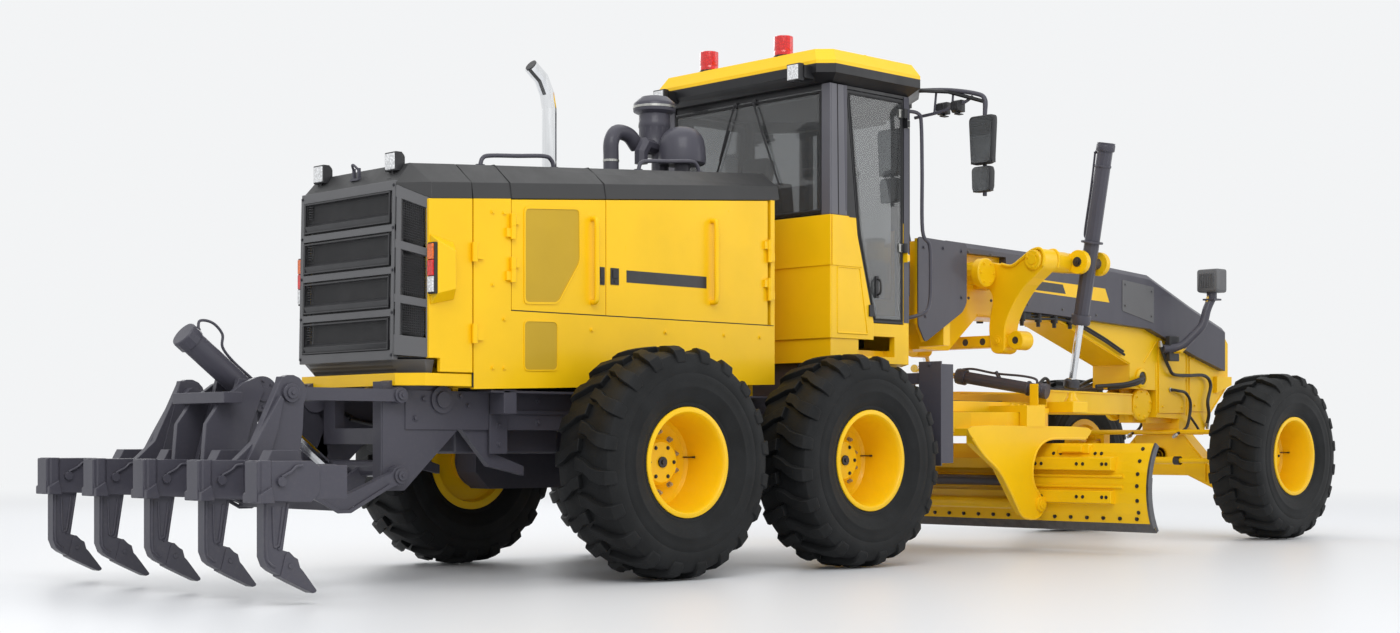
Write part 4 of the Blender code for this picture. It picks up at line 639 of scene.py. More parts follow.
# ------------------------------------------------------------------ wheels
TYRE_RADIUS = 0.745
AXLE_Z = TYRE_RADIUS
LUGS = 20
WHEEL_X = {"rear": -0.87, "middle": 0.87, "front": 6.60}
TRACK_HALF = 1.13
DRIVE_DISC, STEER_DISC = -0.060, -0.030      # how deep the disc of each kind of rim sits
NUTS, NUT_CIRCLE, HUB_CIRCLE = 12, 0.205, 0.105


def carcass_profile():
    """Half the tyre's section, from bead to crown, below the tread lugs."""
    half = [
        (0.330, 0.200), (0.352, 0.214), (0.368, 0.222), (0.380, 0.222), (0.392, 0.232),
        (0.430, 0.246), (0.470, 0.2555), (0.476, 0.2585), (0.484, 0.2585), (0.490, 0.2565),
        (0.530, 0.2585), (0.560, 0.259), (0.566, 0.2555), (0.572, 0.2585), (0.620, 0.255),
        (0.660, 0.246), (0.686, 0.230), (0.700, 0.200), (0.706, 0.120), (0.707, 0.0),
    ]
    return half + [(r, -y) for r, y in reversed(half[:-1])]


def tread_lug(shape, centre, out, angle, hand):
    """One curved lug from the tyre's middle over its shoulder; hand is the half it lies on."""
    line = [
        # (across the tyre, turn about the axle, inner radius, outer radius, half-width)
        (-0.012, 0.000, 0.690, 0.744, 0.040),
        (0.060, 0.030, 0.690, 0.744, 0.036),
        (0.120, 0.085, 0.690, 0.743, 0.038),
        (0.185, 0.118, 0.680, 0.737, 0.044),
        (0.232, 0.130, 0.660, 0.716, 0.048),
        (0.257, 0.134, 0.630, 0.672, 0.046),
        (0.2585, 0.136, 0.615, 0.640, 0.040),
    ]
    sections = []
    for across, turn, low, high, half in line:
        section = []
        for radius, shift in ((low, -half * 1.25), (high, -half), (high, half), (low, half * 1.25)):
            theta = angle + turn + shift / TYRE_RADIUS
            y = across if radius == high else min(across, 0.235)
            reach = Vector((radius * cos(theta), out * hand * y, radius * sin(theta)))
            section.append(Vector(centre) + reach)
        sections.append(section)
    shape.loft(sections)


def make_tyre(name, centre, out):
    shape = Shape()
    shape.turned(carcass_profile(), centre, (0, out, 0), 96)
    for i in range(LUGS):
        angle = 2 * pi * i / LUGS
        tread_lug(shape, centre, out, angle, 1)
        tread_lug(shape, centre, out, angle + pi / LUGS, -1)
    piece = shape.place("tyre_tread_" + name, name, "rubber", bevel=0.006, smooth=32.0)
    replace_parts(piece, "tyre_" + name)


def rim_profile(disc):
    """The section of a rim whose disc sits at a depth; positive is outboard."""
    return [
        (0.0, -0.21), (0.15, -0.21), (0.15, -0.17), (0.29, -0.17), (0.300, -0.222), (0.352, -0.222),
        (0.352, -0.212), (0.3295, -0.2005), (0.3295, 0.2005), (0.352, 0.212), (0.352, 0.222),
        (0.345, 0.226), (0.322, 0.226), (0.314, 0.216), (0.308, 0.190), (0.300, 0.150), (0.296, 0.060),
        (0.288, disc - 0.030), (0.270, disc - 0.052), (0.235, disc - 0.060), (0.175, disc - 0.060),
        (0.160, disc - 0.050), (0.150, disc + 0.010), (0.130, disc + 0.030), (0.0, disc + 0.034),
    ]


def make_rim(name, centre, out, disc):
    """A rim with its nuts, hub cap and valve."""
    centre = Vector(centre)

    def outboard(distance):
        return Vector((0, out * distance, 0))

    dish = Shape()
    dish.turned(rim_profile(disc), centre, (0, out, 0), 96)
    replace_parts(dish.place("rim_dish_" + name, name, "yellow", bevel=0.002), "rim_" + name)
    floor = disc - 0.060
    nuts = Shape()
    for x, z in around(NUTS, NUT_CIRCLE, pi / NUTS):
        spot = centre + Vector((x, out * floor, z))
        nuts.rod(spot - outboard(0.002), spot + outboard(0.005), 0.021, 20)
        nuts.rod(spot, spot + outboard(0.024), 0.0150, 6, 0.0142)
        nuts.rod(spot, spot + outboard(0.034), 0.0085, 12)
    nuts.place("wheel_nuts_" + name, name, "steel", bevel=0.0012)
    hub = Shape()
    face = floor + 0.094
    hub.bolt_circle(centre + outboard(face - 0.001), "Y", out, HUB_CIRCLE, 6, 0.009)
    hub.rod(centre + outboard(face - 0.002), centre + outboard(face + 0.012), 0.035, 32)
    hub.rod(centre + outboard(face + 0.010), centre + outboard(face + 0.022), 0.016, 6)
    hub.place("hub_bolts_" + name, name, "dark_steel", bevel=0.001)
    valve = Shape()
    root = centre + Vector((0.262, out * (floor + 0.010), 0.03))
    tip = root + Vector((0.018, 0, 0))
    valve.tube([root, root + Vector((0.012, out * 0.03, 0.0)), tip + outboard(0.075)], 0.0045, 10)
    valve.rod(tip + outboard(0.07), tip + outboard(0.09), 0.007, 12)
    valve.place("valve_stem_" + name, name, "dark_steel")


def make_wheels():
    for word, side in SIDES.items():
        for row, x in WHEEL_X.items():
            name = f"{row}_{word}"
            centre = (x, side * TRACK_HALF, AXLE_Z)
            make_tyre(name, centre, side)
            make_rim(name, centre, side, STEER_DISC if row == "front" else DRIVE_DISC)


# ------------------------------------------------------------------ hood
HOOD_HALF = 0.68
HOOD_REAR = -2.056
HOOD_EDGE_Z, HOOD_EDGE_RISE = 2.37, 0.082
HOOD_CREST_Z, HOOD_CREST_RISE, HOOD_CREST_HALF = 2.60, 0.0735, 0.50
GRILLE_TOP = Vector((-2.516, 0.0, 2.427))
GRILLE_FOOT = Vector((-2.535, 0.0, 1.400))
GRILLE_HALF = 0.519
CORNER_X = -2.385            # where the yellow side ends and the grey tail begins


def hood_edge(x):
    return HOOD_EDGE_Z + (x - HOOD_REAR) * HOOD_EDGE_RISE


def hood_crest(x):
    return HOOD_CREST_Z + (x - HOOD_REAR) * HOOD_CREST_RISE


def wire_mesh(shape, corner, across, up, counts, wire):
    """A woven screen on the parallelogram at a corner, with so many wires each way."""
    corner, across, up = Vector(corner), Vector(across), Vector(up)
    out = across.cross(up).normalized()
    for count, run, step, lift in ((counts[0], up, across, 0.0), (counts[1], across, up, wire)):
        side = run.cross(out).normalized() * wire
        for i in range(1, count):
            start = corner + step * (i / count) + out * lift
            ring_a = [start - side, start + out * wire, start + side]
            shape.loft([ring_a, [point + run for point in ring_a]])


def framed(shape, corner, across, up, width, depth):
    """Four bars round a parallelogram, standing out from it."""
    corner, across, up = Vector(corner), Vector(across), Vector(up)
    out = across.cross(up).normalized() * depth
    a, u = across.normalized() * width, up.normalized() * width
    bars = [
        (corner, across, u), (corner + up - u, across, u),
        (corner + u, a, up - u * 2), (corner + across - a + u, a, up - u * 2),
    ]
    for start, one, other in bars:
        ring_a = [start, start + one, start + one + other, start + other]
        shape.loft([ring_a, [point + out for point in ring_a]])

TAIL_FRONT = HOOD_REAR - 0.003
TAIL_BACK = 0.035            # how deep the grille's bars are
TAIL_TOP, TAIL_BOTTOM = 2.427, 1.382
GRILLE_PANELS = 4


def tail_cheeks():
    """The yellow sides of the rear door."""
    bottom, step_x = 1.30, -2.302
    door = Shape()
    cheek = [
        (TAIL_FRONT, bottom), (step_x, bottom), (step_x, TAIL_BOTTOM), (CORNER_X, TAIL_BOTTOM),
        (CORNER_X, hood_edge(CORNER_X)), (TAIL_FRONT, hood_edge(TAIL_FRONT)),
    ]
    for side in SIDES.values():
        door.prism(cheek, "Y", span(side, HOOD_HALF - 0.035, HOOD_HALF))
    door.box((-2.10, TAIL_FRONT), (-0.66, 0.66), (bottom, bottom + 0.04))
    piece = door.place("rear_door_cheeks", "rear_door", "yellow", bevel=0.004)
    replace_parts(piece, "rear_door")


def tail_post_ends():
    """The outline of a corner post at its foot and at its head, from the cheek to the grille."""
    edge = CORNER_X + 0.02
    ends = []
    for centre, corner_z in ((GRILLE_FOOT, 1.384), (GRILLE_TOP, hood_edge(CORNER_X))):
        x, z = centre.x, centre.z
        ends.append([Vector(point) for point in (
            (edge, -HOOD_HALF, corner_z), (x, -GRILLE_HALF - 0.012, z), (x, -GRILLE_HALF + 0.030, z),
            (x + TAIL_BACK, -GRILLE_HALF + 0.040, z), (edge, -HOOD_HALF + 0.040, corner_z),
        )])
    return ends


def tail_post(tail, sign):
    """A corner post beside the grille, open where its side screens lie."""
    foot, head = tail_post_ends()
    for share, deep in ((0.0, 0.12), (0.31, 0.05), (0.63, 0.05), (0.93, 0.07)):
        low = [a.lerp(b, share) for a, b in zip(foot, head)]
        high = [a.lerp(b, min(1.0, share + deep)) for a, b in zip(foot, head)]
        tail.loft([[(p.x, p.y * sign, p.z) for p in ring] for ring in (low, high)])
    back = Vector((0.03, 0.014, 0.0))
    for index, other, width in ((0, 1, 0.16), (1, 0, 0.14)):
        upright = []
        for ring in (foot, head):
            start = ring[index]
            near = start.lerp(ring[other], width)
            upright.append([(p.x, p.y * sign, p.z) for p in (start, near, near + back, start + back)])
        tail.loft(upright)


def tail_cap():
    """The slope above the grille, up to the crest."""
    edge_x, edge_z = CORNER_X + 0.02, hood_edge(CORNER_X)
    front_z, crest_x = hood_edge(TAIL_FRONT), -2.400
    halves = [
        # (x, half-width, height) from the tail forward, for the bottom, the middle and the top
        [(GRILLE_TOP.x, GRILLE_HALF, TAIL_TOP), (edge_x, HOOD_HALF, edge_z),
         (TAIL_FRONT, HOOD_HALF, front_z)],
        [(GRILLE_TOP.x, GRILLE_HALF, TAIL_TOP + 0.012), (edge_x, HOOD_HALF, edge_z + 0.10),
         (TAIL_FRONT, HOOD_HALF - 0.01, front_z + 0.10)],
        [(crest_x, HOOD_CREST_HALF, hood_crest(crest_x)), (crest_x + 0.02, HOOD_CREST_HALF,
                                                           hood_crest(crest_x)),
         (TAIL_FRONT, HOOD_CREST_HALF, hood_crest(TAIL_FRONT))],
    ]
    rings = []
    for tail, corner, front in halves:
        left = [(x, half, z) for x, half, z in (tail, corner, front)]
        right = [(x, -half, z) for x, half, z in (front, corner, tail)]
        rings.append(right[-1:] + left + right[:-1])
    Shape().loft(rings).place("tail_cap", "rear_door", "grey", bevel=0.004)


def tail_grille_frame():
    """Corner posts, the rails and uprights round the grille's panels, and the tray below them."""
    foot, half = GRILLE_FOOT, GRILLE_HALF
    tail = Shape()
    for sign in (1, -1):
        tail_post(tail, sign)
    for row in range(GRILLE_PANELS + 1):
        centre = foot.lerp(GRILLE_TOP, row / GRILLE_PANELS)
        tall = 0.030 if row in (0, GRILLE_PANELS) else 0.022
        tail.box((centre.x - 0.004, centre.x + TAIL_BACK), (-half, half),
                 (centre.z - tall, centre.z + tall))
    for sign in (1, -1):
        near, far = sign * (half - 0.030), sign * half
        tail.loft([
            [(p.x - 0.004, near, p.z), (p.x - 0.004, far, p.z), (p.x + TAIL_BACK, far, p.z),
             (p.x + TAIL_BACK, near, p.z)]
            for p in (foot, GRILLE_TOP)
        ])
    wide = HOOD_HALF - 0.04
    tail.loft([
        [(foot.x, -half, foot.z - 0.006), (foot.x, half, foot.z - 0.006), (CORNER_X, wide, 1.386),
         (CORNER_X, -wide, 1.386)],
        [(foot.x + 0.05, -half + 0.03, TAIL_BOTTOM), (foot.x + 0.05, half - 0.03, TAIL_BOTTOM),
         (-2.31, wide, TAIL_BOTTOM), (-2.31, -wide, TAIL_BOTTOM)],
    ])
    tail.place("tail_grille_frame", "rear_door", "frame_grey", bevel=0.003)


def tail_inner_baffle():
    foot, half = GRILLE_FOOT, GRILLE_HALF
    back = Shape()
    back.box((foot.x + 0.10, foot.x + 0.11), (-half, half), (foot.z, 2.42))
    for sign in (1, -1):
        outline = [
            (foot.x + 0.09, sign * (half - 0.02)), (CORNER_X, sign * 0.62),
            (CORNER_X, sign * 0.60), (foot.x + 0.10, sign * (half - 0.05)),
        ]
        back.prism(outline, "Z", (1.40, 2.34))
    back.place("tail_inner_baffle", "rear_door", "mesh")


def tail_screens():
    """Woven wire in the grille's panels and in the openings of the corner posts."""
    mesh = Shape()
    margin = 0.034
    for row in range(GRILLE_PANELS):
        low, high = (
            GRILLE_FOOT.lerp(GRILLE_TOP, row / GRILLE_PANELS + rise) + Vector((0.012,
                                                                               -GRILLE_HALF + margin, 0))
            for rise in (0.022, 0.228)
        )
        wire_mesh(mesh, low, (0, 2 * (GRILLE_HALF - margin), 0), high - low, (84, 19), 0.0021)
    foot, head = tail_post_ends()
    base, top = (ring[1].lerp(ring[0], 0.14) for ring in (foot, head))
    for side in SIDES.values():
        for share in (0.13, 0.37, 0.69):
            low = base.lerp(top, share)
            low_end = foot[0].lerp(head[0], share)
            rise = base.lerp(top, share + 0.235) - low
            low.y, low_end.y = abs(low.y) * side, abs(low_end.y) * side
            across = (low_end - low) * 0.84
            inward = Vector((0.012, -0.006 * side, 0))
            wire_mesh(mesh, low + inward, across, Vector((rise.x, -rise.y * side, rise.z)), (13, 16),
                      0.0026)
    mesh.place("tail_wire_mesh", "rear_door", "mesh")


def grille_panel_frames():
    """A frame round each panel of the grille, with a shelf and a coil of fins at its foot."""
    half = GRILLE_HALF
    panel = Shape()
    for row in range(GRILLE_PANELS):
        low, high = (
            GRILLE_FOOT.lerp(GRILLE_TOP, row / GRILLE_PANELS + rise) + Vector((0.002, -half + 0.045, 0))
            for rise in (0.032, 0.218)
        )
        framed(panel, low, (0, 2 * half - 0.09, 0), high - low, 0.010, -0.012)
        base = GRILLE_FOOT.lerp(GRILLE_TOP, row / GRILLE_PANELS + 0.034)
        x, z = base.x, base.z
        shelf = [(x + 0.001, z), (x - 0.010, z + 0.040), (x + 0.014, z + 0.062), (x + 0.018, z)]
        panel.prism(shelf, "Y", (-half + 0.055, half - 0.055))
        for k in range(7):
            fin_z = z + 0.085 + k * 0.016
            fin = [(x + 0.008, half - 0.070, fin_z), (x + 0.002, half - 0.095, fin_z + 0.004),
                   (x + 0.008, half - 0.120, fin_z)]
            panel.tube(fin, 0.004, 6, 2)
    panel.place("grille_panel_frames", "rear_door", "decal_dark", bevel=0.002)


def grille_screws():
    screws = Shape()
    for row in range(GRILLE_PANELS + 1):
        for sign in (1, -1):
            rail = GRILLE_FOOT.lerp(GRILLE_TOP, row / GRILLE_PANELS)
            screws.bolt(rail + Vector((-0.004, sign * (GRILLE_HALF - 0.012), 0)), (-1, 0, 0), 0.007)
    screws.place("grille_screws", "rear_door", "dark_steel")


def tail_catch():
    hook = Shape()
    hook.box((-2.47, -2.40), (-0.045, 0.045), (2.505, 2.520))
    hook.box((-2.46, -2.44), (-0.035, -0.020), (2.51, 2.585))
    hook.box((-2.46, -2.44), (0.020, 0.035), (2.51, 2.585))
    hook.tube([(-2.45, -0.028, 2.57), (-2.475, -0.010, 2.60), (-2.475, 0.010, 2.60),
               (-2.45, 0.028, 2.57)], 0.008)
    hook.place("tail_catch", "rear_door", "charcoal", bevel=0.002)


def make_tail():
    """The rear door: yellow cheeks, and a grey tail with its grille panels and side screens."""
    tail_cheeks()
    tail_cap()
    tail_grille_frame()
    tail_inner_baffle()
    tail_screens()
    grille_panel_frames()
    grille_screws()
    tail_catch()


def make_tail_lamps():
    """A three-colour lamp in its own yellow housing on each cheek of the tail."""
    for word, side in SIDES.items():
        y = side * HOOD_HALF
        deep = side * 0.085
        shell = Shape()
        # The housing is a wedge: flat and tall at its rear face, closing on the cheek further forward.
        rear = [(-2.378, y, 1.70), (-2.378, y, 2.13), (-2.378, y + deep, 2.085),
                (-2.378, y + deep, 1.765)]
        fore = [(-2.20, y, 1.74), (-2.20, y, 2.09), (-2.245, y + deep, 2.03), (-2.245, y + deep, 1.80)]
        shell.loft([rear, fore])
        shell.place("lamp_housing_" + word, "rear_door", "yellow", bevel=0.006, segments=3)
        case = Shape()
        case.box((-2.400, -2.374), span(side, HOOD_HALF + 0.006, HOOD_HALF + 0.078), (1.765, 2.075))
        case.place("lamp_case_" + word, "rear_door", "plastic", bevel=0.004)
        for index, colour in enumerate(("white", "red", "amber")):
            low = 1.775 + index * 0.0985
            lens = Shape()
            lens.box((-2.410, -2.392), span(side, HOOD_HALF + 0.014, HOOD_HALF + 0.070),
                     (low, low + 0.094))
            lens.place(f"lamp_lens_{word}_{index}", "rear_door", colour, bevel=0.004, segments=3)


def square_lamp(name, body, place, face, size=0.058, mast=0.05):
    """A square work light on its bracket; face is the direction that it shines in."""
    place, face = Vector(place), Vector(face).normalized()
    across, up = frame_along(face)

    def section(along, half):
        return [place + face * along + across * a + up * b for a, b in square(half)]

    case = Shape()
    stations = ((-0.055, size * 0.72), (-0.025, size), (0.018, size), (0.022, size * 0.94))
    case.loft([section(along, half) for along, half in stations])
    for i in range(-3, 4):
        fin = place + across * (i * size * 0.24) - face * 0.058
        thin, tall = across * 0.002, up * size * 0.6
        ring_a = [fin - thin - tall, fin + thin - tall, fin + thin + tall, fin - thin + tall]
        case.loft([ring_a, [p + face * 0.03 for p in ring_a]])
    foot = place - up * (size + mast)
    case.rod(foot, place - up * size * 0.9, 0.009, 12)
    case.box((foot.x - 0.03, foot.x + 0.03), (foot.y - 0.022, foot.y + 0.022),
             (foot.z - 0.004, foot.z + 0.004))
    case.place(name + "_case", body, "plastic", bevel=0.004, segments=3)
    lens = Shape()
    lens.loft([section(along, size * share) for along, share in ((0.014, 0.88), (0.026, 0.84),
                                                                 (0.028, 0.6))])
    lens.place(name + "_lens", body, "white", bevel=0.004, segments=3)


def inset_panel(name, body, side, outline, recess, material="yellow_deep"):
    """A screen on a side panel: a raised rim round a darker pressed plate."""
    y = side * HOOD_HALF
    rim = Shape()
    outer = rounded(outline, 0.035)
    middle = Vector((sum(p[0] for p in outer) / len(outer), sum(p[1] for p in outer) / len(outer)))
    inner = [tuple(middle + (Vector(p) - middle) * 0.955) for p in outer]
    count = len(outer)
    foot, top = y + side * 0.0006, y + side * recess
    sections = ((outer, foot), (outer, top), (inner, top), (inner, foot))
    rings = [[(x, level, z) for x, z in line] for line, level in sections]
    made = [[rim.bm.verts.new(point) for point in ring] for ring in rings]
    for here, there in zip(made, made[1:] + made[:1]):
        for i in range(count):
            j = (i + 1) % count
            rim.bm.faces.new((here[i], here[j], there[j], there[i]))
    rim.place(name + "_rim", body, "yellow", smooth=50)
    plate = Shape()
    plate.prism(inner, "Y", span(side, HOOD_HALF + 0.0008, HOOD_HALF + 0.0022))
    plate.place(name + "_plate", body, material)


def grip(shape, side, x, low, high, reach=0.050, radius=0.018, offset=HOOD_HALF):
    """A D-shaped pull on a side panel."""
    y = side * offset
    out = side * (offset + reach)
    shape.tube(
        [(x, y, low), (x, y + side * reach * 0.7, low + 0.003), (x, out, low + 0.04),
         (x, out, (low + high) / 2), (x, out, high - 0.04), (x, y + side * reach * 0.7, high - 0.003),
         (x, y, high)],
        radius, 12,
    )


def flush_latch(name, body, side, x, z, half=(0.026, 0.058)):
    """A black paddle latch in its plate."""
    y = HOOD_HALF
    base = Shape()
    base.box((x - half[0], x + half[0]), span(side, y + 0.0006, y + 0.006), (z - half[1], z + half[1]))
    base.box((x - half[0] * 0.55, x + half[0] * 0.55), span(side, y + 0.005, y + 0.011),
             (z - half[1] * 0.25, z + half[1] * 0.8))
    base.rod((x, side * (y + 0.004), z - half[1] * 0.62), (x, side * (y + 0.010), z - half[1] * 0.62),
             0.010, 20)
    base.place(name, body, "plastic", bevel=0.002)


def hood_screens(word, side):
    """The two screens let into each side of the hood."""
    rear = f"hood_door_{word}_rear"
    slanted = [(-1.660, 2.355), (-1.200, 2.385), (-1.196, 2.035), (-1.385, 1.752), (-1.660, 1.740)]
    inset_panel(f"door_screen_{word}", rear, side, slanted, 0.007)
    lower = [(-1.660, 1.640), (-1.385, 1.645), (-1.385, 1.328), (-1.660, 1.320)]
    inset_panel(f"lower_screen_{word}", "chassis", side, lower, 0.006)


def hood_pulls_and_latches(word, side):
    for end, x, low, high in (("rear", -1.098, 1.78, 2.32), ("front", -0.020, 1.83, 2.39)):
        pull = Shape()
        grip(pull, side, x, low, high)
        pull.place(f"door_pull_{word}_{end}", f"hood_door_{word}_{end}", "yellow")
    flush_latch(f"latch_{word}_rear", f"hood_door_{word}_rear", side, -1.018, 1.955)
    flush_latch(f"latch_{word}_front", f"hood_door_{word}_front", side, -0.905, 1.958, (0.036, 0.055))
    # A plain dark band fills the place of the marks.
    mark = Shape()
    mark.box((-0.800, -0.070), span(side, HOOD_HALF + 0.0004, HOOD_HALF + 0.0014), (1.925, 2.005))
    mark.place(f"plain_band_{word}", f"hood_door_{word}_front", "decal_dark")


def hood_seams(word, side):
    """Seams across the hood top."""
    seams = Shape()
    for x in (-1.755, -0.978):
        edge, crest = hood_edge(x), hood_crest(x)
        slope = ((HOOD_HALF + 0.001, edge), (HOOD_HALF - 0.018, edge + 0.101),
                 (HOOD_CREST_HALF, crest + 0.002))
        line = [(x, side * y, z) for y, z in slope]
        seams.tube(line, 0.0035, 6, 1)
        seams.rod((x, side * HOOD_CREST_HALF, crest + 0.001), (x, 0, crest + 0.001), 0.0035, 6)
    seams.place(f"hood_seams_{word}", "chassis", "seal")


def hood_bolts(word, side):
    """Bolts on the hood's side, and the gaps round its doors, drawn as thin dark strips of painted shade.
    """
    rivets = Shape()
    spots = (
        (-1.905, 2.30), (-1.815, 2.30), (-1.905, 1.85), (-1.905, 1.335), (-1.815, 1.335), (-1.815, 1.64),
        (-1.10, 1.60), (-0.60, 1.335), (0.10, 1.61), (0.45, 1.61), (-0.45, 1.61),
    )
    rivets.side_bolts(side, HOOD_HALF, spots, 0.011)
    rivets.place(f"hood_bolts_{word}", "chassis", "yellow", bevel=0.001)
    # Painted shade: thin dark strips stand for the shadowed gaps under and behind the hood doors.
    gap = Shape()
    gap.box((-1.753, 0.59), span(side, HOOD_HALF - 0.008, HOOD_HALF + 0.0012), (1.6945, 1.6995))
    gap.box((-2.060, -2.052), span(side, HOOD_HALF - 0.008, HOOD_HALF + 0.0010), (1.21, 1.30))
    gap.place(f"hood_gap_shade_{word}", "chassis", "seal")


def hood_top_rails(word, side):
    rails = Shape()
    for start, end in ((-1.80, -1.24), (-0.46, 0.07)):
        z0, z1 = hood_crest(start), hood_crest(end)
        y = side * 0.44
        rise = 0.072
        line = [
            (start - 0.02, y, z0), (start, y, z0 + 0.05), (start + 0.06, y, z0 + rise),
            ((start + end) / 2, y, (z0 + z1) / 2 + rise),
            (end - 0.06, y, z1 + rise), (end, y, z1 + 0.05), (end + 0.02, y, z1),
        ]
        rails.tube(line, 0.014, 12)
        for x, z in ((start - 0.02, z0), (end + 0.02, z1)):
            rails.rod((x, y, z - 0.002), (x, y, z + 0.008), 0.03, 20)
    rails.place(f"hood_top_rails_{word}", "chassis", "charcoal")


def tail_bumper_and_skirt():
    """The bumper, and the dark skirt that slopes in from the grille down to it."""
    bumper = Shape()
    plan = [(-2.055, -0.67), (-2.40, -0.67), (-2.52, -0.52), (-2.52, 0.52), (-2.40, 0.67), (-2.055, 0.67)]
    inner = [(-2.07, 0.64), (-2.385, 0.64), (-2.49, 0.50), (-2.49, -0.50), (-2.385, -0.64),
             (-2.07, -0.64)]
    bumper.prism(plan + inner, "Z", (1.215, 1.292))
    bumper.place("tail_bumper", "chassis", "yellow", bevel=0.004)
    skirt = Shape()
    rings = []
    for z, inset in ((1.376, 0.0), (1.294, 0.055)):
        half_rear, half_side = 0.505 - inset, 0.640 - inset * 0.5
        rear, corner = -2.512 + inset, -2.385 + inset * 0.5
        rings.append([(-2.315, -half_side, z), (corner, -half_side, z), (rear, -half_rear, z),
                      (rear, half_rear, z), (corner, half_side, z), (-2.315, half_side, z)])
    skirt.loft(rings)
    skirt.place("tail_skirt", "chassis", "frame_grey", bevel=0.004)


def tail_skirt_hole_shade():
    # Painted shade: flat dark dots stand for the perforations in the skirt.
    slots = Shape()
    for row in range(3):
        share = (row + 0.75) / 3.6
        x, z = -2.512 + 0.055 * share - 0.001, 1.376 - 0.082 * share
        for k in range(-17, 18):
            y = k * 0.0265 + 0.013 * (row % 2)
            slots.rod((x, y, z), (x + 0.004, y, z + 0.003), 0.0095, 6)
    slots.place("tail_skirt_hole_shade", "chassis", "mesh")


def make_hood_details():
    for word, side in SIDES.items():
        hood_screens(word, side)
        hood_pulls_and_latches(word, side)
        hood_seams(word, side)
        hood_bolts(word, side)
        hood_top_rails(word, side)
        square_lamp(f"tail_work_light_{word}", "rear_door", (-2.452, side * 0.40, 2.585), (-1, 0, 0))
    tail_bumper_and_skirt()
    tail_skirt_hole_shade()


def make_stacks():
    """Bands and caps on the exhaust, and clamps on the intake's pipes."""
    pipe = Shape()
    for z in (2.66, 2.70):
        pipe.turned(band_profile(0.0505, 0.058, -0.006, 0.006), (-0.90, 0, z), (0, 0, 1), 32)
    pipe.place("exhaust_bands", "chassis", "steel", bevel=0.001)
    # A dark disc stands for the pipe's bore: soot, and painted shade.
    mouth = Shape()
    mouth.rod((-1.0555, 0, 3.4145), (-1.0612, 0, 3.4190), 0.043, 28)
    mouth.place("exhaust_mouth_soot_and_shade", "chassis", "mesh")
    boots = Shape()
    boots.rod((-0.90, 0, 2.55), (-0.90, 0, hood_crest(-0.90) + 0.025), 0.085, 32, 0.078)
    boots.rod((0.14, 0.02, 2.6), (0.14, 0.02, hood_crest(0.14) + 0.03), 0.088, 32, 0.08)
    boots.place("stack_collars", "chassis", "charcoal", bevel=0.003)
    cleaner = Shape()
    bowl_at, dome_at, elbow = (0.14, 0.08), (0.17, -0.18), (-0.265, 0.09)
    bowl = [(0.112, 0.045), (0.116, 0.055), (0.116, 0.075), (0.112, 0.085), (0.1115, 0.20), (0.116, 0.21),
            (0.116, 0.24), (0.112, 0.25), (0.1125, 0.30), (0.150, 0.318), (0.153, 0.326), (0.153, 0.374),
            (0.146, 0.384), (0.10, 0.425), (0.06, 0.434), (0.0, 0.436), (0.0, 0.40), (0.10, 0.38),
            (0.105, 0.30), (0.105, 0.045)]
    cleaner.turned(bowl, (*bowl_at, 2.93), (0, 0, 1), 48)
    dome = [(0.0, -0.004), (0.155, -0.004), (0.168, 0.006), (0.170, 0.040), (0.166, 0.10), (0.158, 0.165),
            (0.138, 0.210), (0.100, 0.245), (0.050, 0.262), (0.0, 0.266)]
    cleaner.turned(dome, (*dome_at, 2.85), (0, 0, 1), 48)
    cleaner.rod((*dome_at, 2.70), (*dome_at, 2.86), 0.055, 32)
    cleaner.place("intake_bowls", "chassis", "charcoal", bevel=0.002)
    duct = Shape()
    duct.tube([(-0.01, 0.10, 2.99), (-0.09, 0.10, 3.06), (-0.20, 0.10, 3.07), (-0.262, 0.09, 3.00),
               (*elbow, 2.88), (*elbow, 2.70)], 0.055, 24)
    duct.rod((*elbow, 2.60), (*elbow, 2.74), 0.062, 24)
    duct.place("intake_duct", "chassis", "charcoal")
    clamps = Shape()
    clamps.turned(band_profile(0.0545, 0.0580, -0.008, 0.008), (*elbow, 2.86), (0, 0, 1), 24)
    clamps.turned(band_profile(0.1535, 0.1560, -0.008, 0.008), (*bowl_at, 3.28), (0, 0, 1), 40)
    clamps.turned(band_profile(0.1165, 0.1185, -0.007, 0.007), (*bowl_at, 2.995), (0, 0, 1), 40)
    clamps.place("intake_clamps", "chassis", "steel")


# ------------------------------------------------------------------ cab
CAB_HALF = 0.85


def cab_corner_post(word, side):
    """The rounded cover of a rear corner post, with a dark line of painted shade for the groove down its
    side.
    """
    post = Shape()
    post.prism([(0.9985, 2.507), (1.168, 2.507), (1.138, 3.448), (0.9985, 3.448)], "Y",
               span(side, CAB_HALF + 0.0006, CAB_HALF + 0.009))
    post.box((0.9835, 0.9990), span(side, 0.775, CAB_HALF + 0.009), (2.507, 3.448))
    post.place(f"cab_corner_post_{word}", "chassis", "pale_charcoal", bevel=0.012, segments=4)
    # Painted shade: a thin dark tube stands for the groove.
    groove = Shape()
    groove.tube([(1.075, side * (CAB_HALF + 0.0092), 2.512), (1.062, side * (CAB_HALF + 0.0092), 3.446)],
                0.004, 8, 1)
    groove.place(f"cab_post_groove_shade_{word}", "chassis", "seal")


